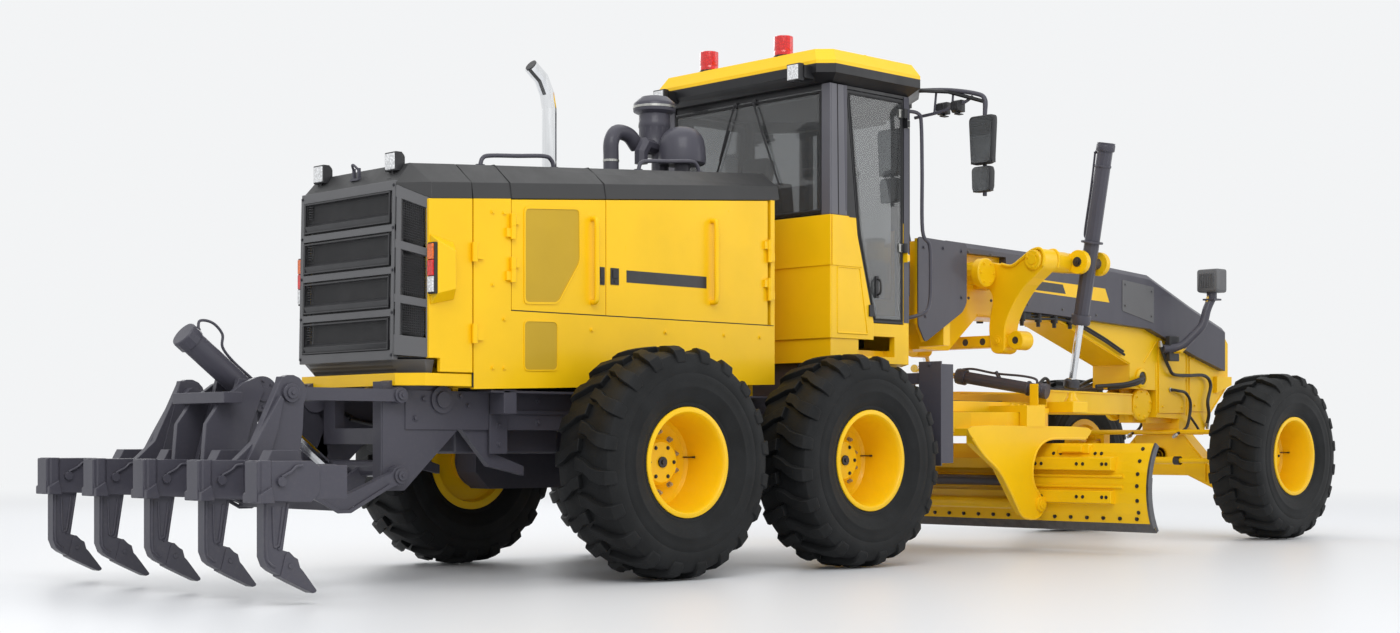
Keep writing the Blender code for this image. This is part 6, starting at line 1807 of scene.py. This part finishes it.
def link_bar_eyes(word, side):
    eyes = Shape()
    for y in (0.45, 0.62):
        eyes.turned([(0.030, -0.075), (0.072, -0.075), (0.078, -0.069), (0.078, 0.069), (0.072, 0.075),
                     (0.030, 0.075)], (3.54, side * y, 1.70), (1, 0, 0), 36)
    eyes.rod((3.455, side * 0.45, 1.70), (3.635, side * 0.45, 1.70), 0.0295, 24)
    pin_cap(eyes, (3.625, side * 0.45, 1.70), (1, 0, 0), 0.045, 0.008)
    pin_cap(eyes, (3.455, side * 0.45, 1.70), (-1, 0, 0), 0.045, 0.008)
    eyes.place("link_bar_eyes_" + word, "front_frame", "yellow", bevel=0.002)


def link_bar():
    bar = Shape()
    bar.box((3.474, 3.606), (-0.64, 0.64), (1.655, 1.745))
    bar.place("link_bar_skin", "front_frame", "yellow", bevel=0.012, segments=3)
    # Painted shade: thin dark discs on both faces stand for the holes through the bar.
    holes = Shape()
    for y in (-0.62, -0.28, -0.10, 0.10, 0.28, 0.62):
        for sign in (1, -1):
            x = 3.54 + sign * (0.0755 if abs(y) == 0.62 else 0.0663)
            holes.rod((x - 0.001, y, 1.70), (x + 0.001, y, 1.70), 0.029, 24)
    holes.place("link_bar_hole_shade", "front_frame", "mesh")


def make_saddle():
    """The cast lift arms over the CAD's plain ones, their trunnion bosses, and the link bar."""
    for word, side in SIDES.items():
        lift_arm(word, side)
        trunnion_boss(word, side)
        lift_clevis(word, side)
        saddle_pivot(word, side)
        link_bar_eyes(word, side)
    link_bar()


def hinge_side_plate(word, side):
    """A dark plate beside the articulation."""
    plate = Shape()
    outline = [(2.520, 1.655), (2.990, 1.915), (3.040, 1.99), (3.040, 2.462), (2.435, 2.482),
               (2.435, 1.790)]
    plate.prism(rounded(outline, 0.03), "Y", span(side, 0.4506, 0.462))
    plate.side_bolts(side, 0.462, ((2.50, 2.40), (2.97, 2.40), (2.97, 2.03), (2.52, 1.86), (2.74, 2.41)),
                     0.011)
    plate.place("hinge_side_plate_" + word, "front_frame", "charcoal", bevel=0.004)


def cover_panel(word, side):
    cover = Shape()
    panel = [(5.497, 2.050), (5.497, 2.330), (6.000, 2.290), (6.000, 1.960)]
    cover.prism(rounded(panel, 0.012), "Y", span(side, 0.2705, 0.2745))
    cover.side_bolts(side, 0.2745, ((5.54, 2.29), (5.54, 2.10), (5.96, 2.25), (5.96, 2.02)), 0.009)
    spots = [(x, top_line(x) - drop) for x in (3.30, 3.60, 4.10, 4.60, 5.10) for drop in (0.06, 0.44)]
    cover.side_bolts(side, 0.270, spots, 0.009)
    cover.place("cover_panel_" + word, "front_frame", "frame_grey", bevel=0.001)


def cover_stripe(word, side):
    stripe = Shape()
    band = [(4.08, 2.155), (4.12, 2.265), (5.235, 2.235), (5.30, 2.115)]
    stripe.prism(band, "Y", span(side, 0.2703, 0.2712))
    stripe.place("cover_stripe_" + word, "front_frame", "yellow")
    dark = Shape()
    dark.prism([(4.12, 2.170), (4.155, 2.248), (4.60, 2.236), (4.645, 2.157)], "Y",
               span(side, 0.2713, 0.2720))
    dark.place("cover_stripe_field_" + word, "front_frame", "decal_dark")


def frame_weld_lines(word, side):
    """Weld seams on the gooseneck's side."""
    seams = Shape()
    seams.bars([(x, side * 0.201, z) for x, z in ((3.50, 1.925), (4.64, 1.930), (5.72, 1.588))], 0.009)
    for start, end in (((6.15, 1.12), (6.15, 1.60)), ((7.02, 1.11), (7.375, 1.42)),
                       ((5.95, 1.60), (6.20, 1.85)), ((6.66, 1.12), (6.66, 1.98))):
        seams.bars([(x, side * 0.201, z) for x, z in (start, end)], 0.008)
    seams.place("frame_weld_lines_" + word, "front_frame", "yellow")


def column_plates(word, side):
    plates = Shape()
    plates.prism([(6.18, 1.14), (6.18, 1.98), (6.62, 1.98), (6.62, 1.14)], "Y", span(side, 0.2005, 0.212))
    plates.prism([(6.70, 1.16), (6.70, 1.72), (6.92, 1.72), (7.30, 1.62), (7.30, 1.46), (7.02, 1.16)],
                 "Y", span(side, 0.2005, 0.210))
    plates.prism([(7.12, 1.34), (7.383, 1.42), (7.383, 1.50), (7.12, 1.50)], "Y",
                 span(side, 0.195, 0.245))
    spots = (
        (6.24, 1.20), (6.24, 1.92), (6.56, 1.92), (6.56, 1.20),
        (6.76, 1.66), (7.25, 1.58), (6.78, 1.22), (7.0, 1.22),
    )
    plates.side_bolts(side, 0.211, spots, 0.011)
    plates.place("column_plates_" + word, "front_frame", "yellow", bevel=0.004)


def hose_port(word, side):
    collar = Shape()
    collar.turned([(0.060, 0.0), (0.092, 0.0), (0.092, 0.016), (0.080, 0.024), (0.060, 0.024)],
                  (5.90, side * 0.2005, 1.455), (0, side, 0), 40)
    collar.place("hose_port_" + word, "front_frame", "yellow", bevel=0.002)
    # Painted shade: a flat dark disc inside the collar stands for the port's opening.
    port = Shape()
    port.rod((5.90, side * 0.200, 1.455), (5.90, side * 0.214, 1.455), 0.060, 32)
    port.place("hose_port_shade_" + word, "front_frame", "mesh")


def drawbar_socket(word, side):
    socket = Shape()
    socket.turned([(0.0, 0.0), (0.14, 0.0), (0.15, 0.01), (0.15, 0.035), (0.14, 0.045), (0.0, 0.045)],
                  (5.98, side * 0.1265, 1.22), (0, side, 0), 48)
    socket.bolt_circle((5.98, side * 0.1715, 1.22), "Y", side, 0.118, 8, 0.011, 0.2)
    socket.place("drawbar_socket_" + word, "drawbar", "yellow", bevel=0.002)


def headlight(word, side):
    """A headlight on its curved dark arm, over the CAD's plain one."""
    lamp = Shape()
    lamp.tube([(6.16, side * 0.262, 1.73), (6.24, side * 0.30, 1.735), (6.31, side * 0.37, 1.76),
               (6.38, side * 0.43, 1.84), (6.45, side * 0.50, 1.95), (6.49, side * 0.525, 2.10),
               (6.53, side * 0.55, 2.20)], 0.040, 16)
    lamp.box((6.47, 6.60), span(side, 0.49, 0.61), (2.180, 2.196))
    lamp.rod((6.53, side * 0.55, 2.19), (6.53, side * 0.55, 2.28), 0.046, 20)
    lamp.place("headlight_arm_" + word, "front_frame", "charcoal", bevel=0.003)

    def section(x, grow):
        return [(x, side * 0.55 + a * grow, 2.36 + b * grow) for a, b in rounded(square(0.106), 0.026)]

    case = Shape()
    stations = ((6.440, 0.88), (6.448, 0.98), (6.480, 1.02), (6.560, 1.03), (6.604, 1.03), (6.610, 0.98))
    case.loft([section(x, grow) for x, grow in stations])
    for k in range(-4, 5):
        case.box((6.430, 6.470), (side * 0.55 + k * 0.018 - 0.003, side * 0.55 + k * 0.018 + 0.003),
                 (2.295, 2.425))
    case.place("headlight_case_" + word, "front_frame", "frame_grey", bevel=0.002, smooth=40)
    lens = Shape()
    lens.loft([section(x, grow) for x, grow in ((6.606, 0.96), (6.616, 0.90), (6.620, 0.70))])
    lens.place("headlight_lens_" + word, "front_frame", "white", smooth=40)


def column_hoses(word, side):
    hoses = Shape()
    y = side * 0.255
    hoses.tube([(6.14, y, 1.75), (6.20, y, 1.66), (6.28, y, 1.56), (6.36, y, 1.50), (6.60, y, 1.495),
                (6.88, y, 1.50), (6.99, y, 1.42), (6.94, y, 1.26), (6.96, y, 1.14),
                (6.98, side * 0.225, 1.05)], 0.016, 12)
    hoses.tube([(6.36, side * 0.212, 1.36), (6.42, y, 1.35), (6.56, y, 1.33), (6.64, y, 1.24),
                (6.62, y, 1.10), (6.56, y, 1.00), (6.40, side * 0.25, 0.94)], 0.014, 12)
    hoses.tube([(6.62, y, 1.12), (6.70, y, 1.06), (6.78, y, 0.99), (6.84, side * 0.23, 0.96)], 0.012, 12)
    hoses.tube([(5.90, side * 0.205, 1.46), (5.86, side * 0.245, 1.46), (5.76, side * 0.27, 1.435),
                (5.62, side * 0.25, 1.40), (5.50, side * 0.20, 1.385), (5.30, side * 0.13, 1.37)], 0.019,
                12)
    hoses.tube([(5.91, side * 0.205, 1.43), (5.86, side * 0.235, 1.425), (5.74, side * 0.24, 1.395),
                (5.60, side * 0.20, 1.37), (5.46, side * 0.15, 1.352)], 0.017, 12)
    hoses.place("column_hoses_" + word, "front_frame", "hose")
    fittings = Shape()
    for place, direction in (((6.14, y, 1.76), (-0.2, 0, 1)), ((6.98, side * 0.222, 1.04), (0.1, 0, -1)),
                             ((6.36, side * 0.212, 1.36), (0, -side, 0)),
                             ((6.40, side * 0.25, 0.935), (-1, 0, -0.4))):
        centre, along = Vector(place), Vector(direction).normalized()
        fittings.rod(centre - along * 0.012, centre + along * 0.022, 0.021, 6)
        fittings.rod(centre + along * 0.02, centre + along * 0.045, 0.015, 20)
    fittings.place("hose_fittings_" + word, "front_frame", "steel", bevel=0.001)


def junction_box(word, side):
    junction = Shape()
    junction.box((6.20, 6.36), span(side, 0.262, 0.315), (1.62, 1.85))
    junction.place("junction_box_" + word, "front_frame", "plastic", bevel=0.008, segments=3)


def frame_valves():
    manifold = Shape()
    manifold.box((3.90, 4.20), (-0.235, -0.2005), (1.93, 2.00))
    for k in range(5):
        x = 3.85 + k * 0.23
        manifold.rod((x, -0.225, 1.90), (x, -0.225, 1.99), 0.030, 20)
        manifold.rod((x, -0.225, 1.86), (x, -0.225, 1.92), 0.018, 6)
        manifold.rod((x, 0.225, 1.90), (x, 0.225, 1.99), 0.030, 20)
    manifold.tube([(3.72, -0.222, 1.95), (4.2, -0.236, 1.925), (4.7, -0.236, 1.93), (5.2, -0.232, 1.80),
                   (5.60, -0.226, 1.66)], 0.012, 8)
    manifold.tube([(3.72, -0.214, 1.98), (4.2, -0.222, 1.955), (4.7, -0.222, 1.96), (5.2, -0.218, 1.83),
                   (5.60, -0.214, 1.69)], 0.012, 8)
    manifold.place("frame_valves", "front_frame", "plastic", bevel=0.002)


def hinge_and_nose():
    """The hinge pin's cap, the nose plate and the hoses across the hinge."""
    hinge = Shape()
    hinge.turned([(0.0, 0.0), (0.085, 0.0), (0.085, 0.02), (0.06, 0.03), (0.0, 0.03)], (2.45, 0, 2.470),
                 (0, 0, 1), 40)
    hinge.place("hinge_pin_cap", "front_frame", "dark_steel", bevel=0.002)
    tow = Shape()
    tow.box((7.386, 7.3880), (-0.17, 0.17), (1.45, 1.78))
    for y in (-0.14, 0.14):
        for z in (1.48, 1.75):
            tow.rod((7.386, y, z), (7.3905, y, z), 0.016, 6)
    tow.place("nose_plate", "front_frame", "yellow", bevel=0.0005)
    loom = Shape()
    for k in range(4):
        y = -0.12 + 0.08 * k
        loom.tube([(2.14, y, 1.92), (2.30, y * 1.3 + 0.16, 1.90), (2.50, y * 1.2 + 0.22, 1.86),
                   (2.72, y, 1.95)], 0.016, 10)
    loom.place("hinge_hoses", "front_frame", "hose")


def make_frame_details():
    for word, side in SIDES.items():
        hinge_side_plate(word, side)
        cover_panel(word, side)
        cover_stripe(word, side)
        frame_weld_lines(word, side)
        column_plates(word, side)
        hose_port(word, side)
        drawbar_socket(word, side)
        headlight(word, side)
        column_hoses(word, side)
        junction_box(word, side)
    frame_valves()
    hinge_and_nose()


def lift_cylinder(word, side):
    top, ball = Vector((4.02, side * 0.95, 2.34)), Vector((4.06, side * 0.75, 1.36))
    along = (ball - top).normalized()
    body = f"lift_{word}_barrel"
    rings = Shape()
    for place, radius, thick in ((-0.965, 0.074, 0.05), (-0.18, 0.088, 0.018), (0.43, 0.078, 0.07),
                                 (-0.80, 0.066, 0.02)):
        rings.turned(ring_profile(0.058, radius, thick), top + along * place, along, 40)
    rings.rod(top - along * 0.982, top - along * 0.955, 0.060, 36)
    rings.rod(top - along * 0.955, top + along * 0.445, 0.0597, 40)
    across = Vector((1, 0, 0)).cross(along).normalized() * -side
    port = top - along * 0.90 + across * 0.05
    rings.rod(port, port + across * 0.04, 0.016, 6)
    rings.place(f"lift_{word}_rings", body, "charcoal", bevel=0.002)
    pipe = Shape()
    shift = Vector((-0.02, 0, 0))
    pipe.tube([top - along * 0.90 + across * 0.085 + shift, top - along * 0.86 + across * 0.080 + shift,
               top - along * 0.60 + across * 0.072 + shift, top - along * 0.26 + across * 0.072 + shift,
               top - along * 0.20 + across * 0.055 + shift], 0.009, 10)
    pipe.place(f"lift_{word}_pipe", body, "charcoal")
    cap = Shape()
    cap.turned([(0.0, -0.036), (0.045, -0.036), (0.066, -0.020), (0.066, 0.030), (0.050, 0.044),
                (0.0, 0.044)], ball, along, 32)
    cap.bolt(ball - Vector((0.05, 0, 0)), (-1, 0, 0), 0.010)
    cap.place(f"lift_{word}_ball_cap", f"lift_{word}_rod", "dark_steel", bevel=0.001)
    stud = Shape()
    stud.turned([(0.0, 0.0), (0.060, 0.0), (0.060, 0.015), (0.036, 0.05), (0.034, 0.082), (0.0, 0.082)],
                (ball.x, ball.y, 1.20), (0, 0, 1), 32)
    stud.prism([(4.06 - 0.13, side * 0.40), (4.06 + 0.13, side * 0.40), (4.06 + 0.105, side * 0.84),
                (4.06 - 0.105, side * 0.84)], "Z", (1.114, 1.207))
    stud.place(f"lift_{word}_stud_bracket", "drawbar", "yellow", bevel=0.008, segments=3)


def shift_cylinder():
    foot, eye = Vector((3.78, -0.62, 1.30)), Vector((3.50, 0.46, 1.50))
    along = (eye - foot).normalized()
    across = Vector((along.y, -along.x, 0)).normalized()
    up = across.cross(along).normalized()
    if up.z < 0:
        up = -up
    rings = Shape()
    for place, radius, thick in ((-0.052, 0.061, 0.05), (0.08, 0.060, 0.02), (0.655, 0.066, 0.072)):
        rings.turned(ring_profile(0.048, radius, thick), foot + along * place, along, 36)
    rings.tube([foot + along * 0.02 + up * 0.045, foot + along * 0.04 + up * 0.085,
                foot + along * 0.16 + up * 0.092, foot + along * 0.40 + up * 0.075,
                foot + along * 0.60 + up * 0.080, foot + along * 0.70 + up * 0.062], 0.010, 10)
    rings.rod(foot + along * 0.36 + up * 0.045, foot + along * 0.40 + up * 0.09, 0.016, 12)
    rings.place("shift_cylinder_pipes", "shift_barrel", "charcoal", bevel=0.001)
    hoses = Shape()
    hoses.tube([foot + along * 0.02 + up * 0.04 + across * 0.02, foot + up * 0.10 + across * 0.10,
                foot + up * 0.06 + across * 0.155 - along * 0.02, foot - up * 0.05 + across * 0.160,
                foot - up * 0.10 + across * 0.20 + along * 0.02], 0.014, 10)
    hoses.place("shift_cylinder_hose", "shift_yoke", "hose")


def make_cylinder_details():
    """End rings, pipes and clamps on the lift and centre-shift cylinders."""
    for word, side in SIDES.items():
        lift_cylinder(word, side)
    shift_cylinder()


# ------------------------------------------------------------------ drawbar, circle and blade
CIRCLE_X, CIRCLE_RADIUS = 3.40, 0.80
BLADE_HALF, BLADE_RADIUS = 1.83, 0.62


def blade_curve(offset, low, high, steps):
    """Points on the moldboard's arc in the XZ plane."""
    centre = Vector((3.565 + BLADE_RADIUS, 0.50))
    made = []
    for i in range(steps + 1):
        z = low + (high - low) * i / steps
        angle = (z - centre.y) / BLADE_RADIUS
        reach = BLADE_RADIUS + offset
        made.append((centre.x - reach * cos(angle), centre.y + reach * sin(angle)))
    return made


def blade_band(behind, before, low, high, steps):
    """A closed outline between two offsets of the moldboard's arc."""
    return blade_curve(behind, low, high, steps) + blade_curve(before, low, high, steps)[::-1]


def drawbar_flanges():
    flanges = Shape()
    for side in SIDES.values():
        start, end = Vector((5.80, side * 0.12)), Vector((4.02, side * 0.44))
        for low, high in ((1.121, 1.137), (1.297, 1.312)):
            wide = Vector((0, 0.062))
            flanges.prism([tuple(start - wide), tuple(start + wide), tuple(end + wide),
                           tuple(end - wide)], "Z", (low, high))
        for k in range(9):
            x = 2.74 + k * 0.16
            flanges.bolt((x, side * 0.452, 1.18), (0, 0, 1), 0.014)
        flanges.box((2.655, 4.125), span(side, 0.470, 0.500), (1.1145, 1.200))
        for dx in (-0.085, 0.0, 0.085):
            flanges.bolt((CIRCLE_X + dx, side * 0.70, 1.165), (0, 0, 1), 0.014)
    flanges.place("drawbar_flanges", "drawbar", "yellow", bevel=0.002)


def circle_drive():
    motor = Shape()
    centre = (2.86, 0.0, 1.18)
    motor.turned([(0.0, 0.0), (0.15, 0.0), (0.15, 0.03), (0.12, 0.045), (0.12, 0.12), (0.095, 0.14),
                  (0.0, 0.14)], centre, (0, 0, 1), 48)
    motor.turned([(0.0, 0.14), (0.06, 0.14), (0.06, 0.24), (0.05, 0.25), (0.0, 0.25)], centre, (0, 0, 1),
                 32)
    motor.bolt_circle((2.86, 0.0, 1.21), "Z", 1, 0.135, 8, 0.010)
    motor.place("circle_drive", "drawbar", "charcoal", bevel=0.002)


def drawbar_hoses():
    hoses = Shape()
    for k in range(3):
        y = -0.06 + 0.06 * k
        hoses.tube([(2.90, y, 1.36), (2.98, y, 1.42), (3.10, y, 1.34), (3.20, y, 1.23), (3.5, y, 1.205),
                    (4.1, y * 1.5, 1.215), (4.5, y * 1.6, 1.27), (5.0, y * 1.4, 1.335), (5.5, y, 1.35)],
                    0.013, 10)
    hoses.place("drawbar_hoses", "drawbar", "hose")


def make_drawbar_details():
    drawbar_flanges()
    circle_drive()
    drawbar_hoses()


def circle_teeth():
    teeth = Shape()
    inner = CIRCLE_RADIUS - 0.14
    count = 96
    for i in range(count):
        angle = 2 * pi * i / count
        across = Vector((-sin(angle), cos(angle), 0))
        out = Vector((cos(angle), sin(angle), 0))
        centre = Vector((CIRCLE_X, 0, 0))
        root, tip = centre + out * (inner + 0.004), centre + out * (inner - 0.022)
        low, high = 0.975, 1.085
        ring_a = [root - across * 0.016, root + across * 0.016, tip + across * 0.008,
                  tip - across * 0.008]
        teeth.loft([[p + Vector((0, 0, z)) for p in ring_a] for z in (low, high)])
    teeth.place("circle_teeth", "circle", "dark_steel")


def circle_lower_lip():
    band = Shape()
    band.turned(band_profile(CIRCLE_RADIUS - 0.03, CIRCLE_RADIUS - 0.006, 0.937, 0.9495),
                (CIRCLE_X, 0, 0), (0, 0, 1), 96)
    band.place("circle_lower_lip", "circle", "yellow")


def circle_claw(word, side):
    """A claw that holds the blade, with its rounded edge and pivot pin."""
    claw = Shape()
    line = [
        (2.600, 0.995), (2.600, 0.900), (2.740, 0.775), (2.940, 0.640), (3.080, 0.480), (3.150, 0.385),
        (3.230, 0.290), (3.330, 0.262), (3.430, 0.268), (3.490, 0.315), (3.492, 0.385), (3.455, 0.450),
        (3.390, 0.520), (3.362, 0.620), (3.380, 0.730), (3.450, 0.835), (3.590, 0.895), (3.800, 0.902),
        (4.080, 0.900), (4.120, 0.915), (4.120, 0.990), (3.4, 1.000),
    ]
    claw.prism(curved(line), "Y", span(side, 0.855, 0.872))
    claw.place("circle_claw_" + word, "circle", "yellow", bevel=0.004)
    edge = Shape()
    path = [(x, side * 0.868, z) for x, z in line[1:19]]
    edge.tube(path, 0.012, 8)
    edge.place("circle_claw_edge_" + word, "circle", "yellow")
    pin = Shape()
    pin_cap(pin, (3.46, side * 0.872, 0.375), (0, side, 0), 0.060)
    for x in (2.9, 3.1, 3.3, 3.5, 3.7, 3.9):
        pin.bolt((x, side * 0.800, 0.985), (0, 0, 1), 0.012)
    pin.place("blade_pivot_pin_" + word, "circle", "yellow", bevel=0.001)


def make_circle_details():
    circle_teeth()
    circle_lower_lip()
    for word, side in SIDES.items():
        circle_claw(word, side)


def cutting_edge():
    edge = Shape()
    edge.prism(blade_band(-0.0240, 0.0030, 0.148, 0.325, 6), "Y", (-BLADE_HALF, BLADE_HALF))
    edge.place("cutting_edge", "blade", "edge_steel", bevel=0.002)
    bolts = Shape()
    for k in range(-11, 12):
        y = k * 0.155
        x, z = blade_curve(0.027, 0.28, 0.29, 1)[0]
        bolts.bolt((x, y, z), (-1, 0, 0.15), 0.012)
    bolts.place("cutting_edge_bolts", "blade", "dark_steel")


def end_bit(word, side):
    bit = Shape()
    bit.prism(blade_band(-0.020, 0.0285, 0.20, 0.872, 12), "Y",
              span(side, BLADE_HALF - 0.016, BLADE_HALF + 0.004))
    bit.prism(blade_band(-0.030, -0.003, 0.150, 0.60, 8), "Y",
              span(side, BLADE_HALF - 0.22, BLADE_HALF + 0.003))
    bit.place("end_bit_" + word, "blade", "edge_steel", bevel=0.002)


def blade_bolts(word, side):
    studs = Shape()
    for z in (0.33, 0.42, 0.53, 0.62, 0.72, 0.82):
        x, height = blade_curve(0.0255, z, z + 0.01, 1)[0]
        studs.bolt((x, side * (BLADE_HALF - 0.10), height), (-1, 0, (z - 0.5) * 0.8), 0.011)
    for y in (0.25, 0.32, 0.90, 0.97, 1.30, 1.36):
        x, height = blade_curve(0.0255, 0.78, 0.79, 1)[0]
        studs.bolt((x, side * y, height), (-1, 0, 0.3), 0.010)
    studs.place("blade_bolts_" + word, "blade", "dark_steel")


def blade_rails(word, side):
    rails = Shape()
    upper = [(3.492, 0.652), (3.555, 0.645), (3.60, 0.645), (3.60, 0.757), (3.555, 0.757), (3.492, 0.748)]
    lower = [(3.492, 0.392), (3.540, 0.385), (3.60, 0.385), (3.60, 0.495), (3.540, 0.495), (3.492, 0.488)]
    for profile in (upper, lower):
        rails.prism(profile, "Y", span(side, 0.74, 1.52))
    rails.place("blade_rail_" + word, "blade", "yellow", bevel=0.005, segments=3)
    rail_bolts = Shape()
    for y in (0.80, 0.86, 1.20, 1.26, 1.44, 1.48):
        for z in (0.70, 0.44):
            rail_bolts.bolt((3.492, side * y, z), (-1, 0, 0), 0.010)
    rail_bolts.place("blade_rail_bolts_" + word, "blade", "dark_steel")


def blade_top_lug(word, side):
    lug = Shape()
    x, z = blade_curve(0.020, 0.845, 0.86, 1)[0]
    lug.box((x - 0.055, x + 0.005), span(side, 0.95, 1.25), (z - 0.055, z + 0.018))
    lug.box((x - 0.085, x - 0.045), span(side, 1.00, 1.20), (z - 0.045, z + 0.005))
    lug.place("blade_top_lug_" + word, "blade", "yellow", bevel=0.006)


def blade_guide(word, side):
    guide = Shape()
    for z in (0.44, 0.70):
        guide.turned([(0.026, -0.045), (0.050, -0.045), (0.056, -0.036), (0.056, 0.036), (0.050, 0.045),
                      (0.026, 0.045)],
                     (3.455, side * 0.675, z), (0, 1, 0), 28)
    guide.box((3.40, 3.452), span(side, 0.612, 0.728), (0.52, 0.62))
    guide.place("blade_guide_" + word, "blade_carrier", "dark_steel", bevel=0.002)


def blade_back_ribs():
    stiff = Shape()
    for z in (0.52, 0.60):
        x, height = blade_curve(0.030, z, z + 0.01, 1)[0]
        stiff.rod((x, -1.60, height), (x, 1.60, height), 0.012, 8)
    stiff.place("blade_back_ribs", "blade", "yellow")


def blade_ram():
    ram = Shape()
    ram.rod((3.455, -0.56, 0.56), (3.455, 0.30, 0.56), 0.042, 28)
    ram.rod((3.455, -0.60, 0.56), (3.455, -0.54, 0.56), 0.050, 28)
    ram.rod((3.455, 0.27, 0.56), (3.455, 0.33, 0.56), 0.050, 28)
    ram.place("blade_ram_barrel", "blade_carrier", "charcoal", bevel=0.002)


def make_blade_details():
    cutting_edge()
    for word, side in SIDES.items():
        end_bit(word, side)
        blade_bolts(word, side)
        blade_rails(word, side)
        blade_top_lug(word, side)
        blade_guide(word, side)
    blade_back_ribs()
    blade_ram()


# ------------------------------------------------------------------ front axle
def axle_ribs_and_pins():
    axle = Shape()
    for side in SIDES.values():
        for x, direction in ((6.518, -1), (6.682, 1)):
            pin_cap(axle, (x, side * 0.80, 0.50), (direction, 0, 0), 0.052, 0.012)
        pin_cap(axle, (6.518, 0.0, 0.75), (-1, 0, 0), 0.075, 0.015)
        for y, z in ((0.30, 0.62), (0.30, 0.84), (0.46, 0.56), (0.46, 0.68)):
            axle.bolt((6.519, side * y, z), (-1, 0, 0), 0.013)
            axle.bolt((6.681, side * y, z), (1, 0, 0), 0.013)
        rib = [(side * 0.28, 0.575), (side * 0.28, 0.90), (side * 0.50, 0.66), (side * 0.50, 0.505)]
        for limits in ((6.505, 6.5195), (6.6805, 6.695)):
            axle.prism(rib, "X", limits)
    axle.place("axle_ribs_and_pins", "front_frame", "yellow", bevel=0.003)


def kingpin_hub(word, side):
    hub = Shape()
    hub.turned([(0.0885, 0.0), (0.125, 0.0), (0.128, 0.006), (0.128, 0.030), (0.110, 0.045),
                (0.0885, 0.045)], (6.60, side * 0.865, AXLE_Z), (0, side, 0), 40)
    for z in (0.605, 0.855):
        hub.turned(band_profile(0.066, 0.080, 0.0, 0.03), (6.60, side * 0.80, z), (0, 0, 1), 32)
    hub.place("kingpin_hub_" + word, "knuckle_" + word, "yellow", bevel=0.002)


def tie_rod_clamps():
    boots = Shape()
    for y in (-0.32, 0.32):
        boots.turned(band_profile(0.030, 0.040, -0.03, 0.03), (6.32, y, 0.70), (0, 1, 0), 28)
    boots.place("tie_rod_clamps", "tie_rod", "dark_steel")


def make_front_axle_details():
    axle_ribs_and_pins()
    for word, side in SIDES.items():
        kingpin_hub(word, side)
    tie_rod_clamps()


# ------------------------------------------------------------------ build
make_camera()
make_floor()
make_lights()
finish_cad_nodes()
make_wheels()
make_tail()
make_tail_lamps()
make_hood_details()
make_stacks()
make_cab_details()
make_cab_interior()
make_ripper_details()
make_rear_frame_details()
make_saddle()
make_frame_details()
make_cylinder_details()
make_drawbar_details()
make_circle_details()
make_blade_details()
make_front_axle_details()
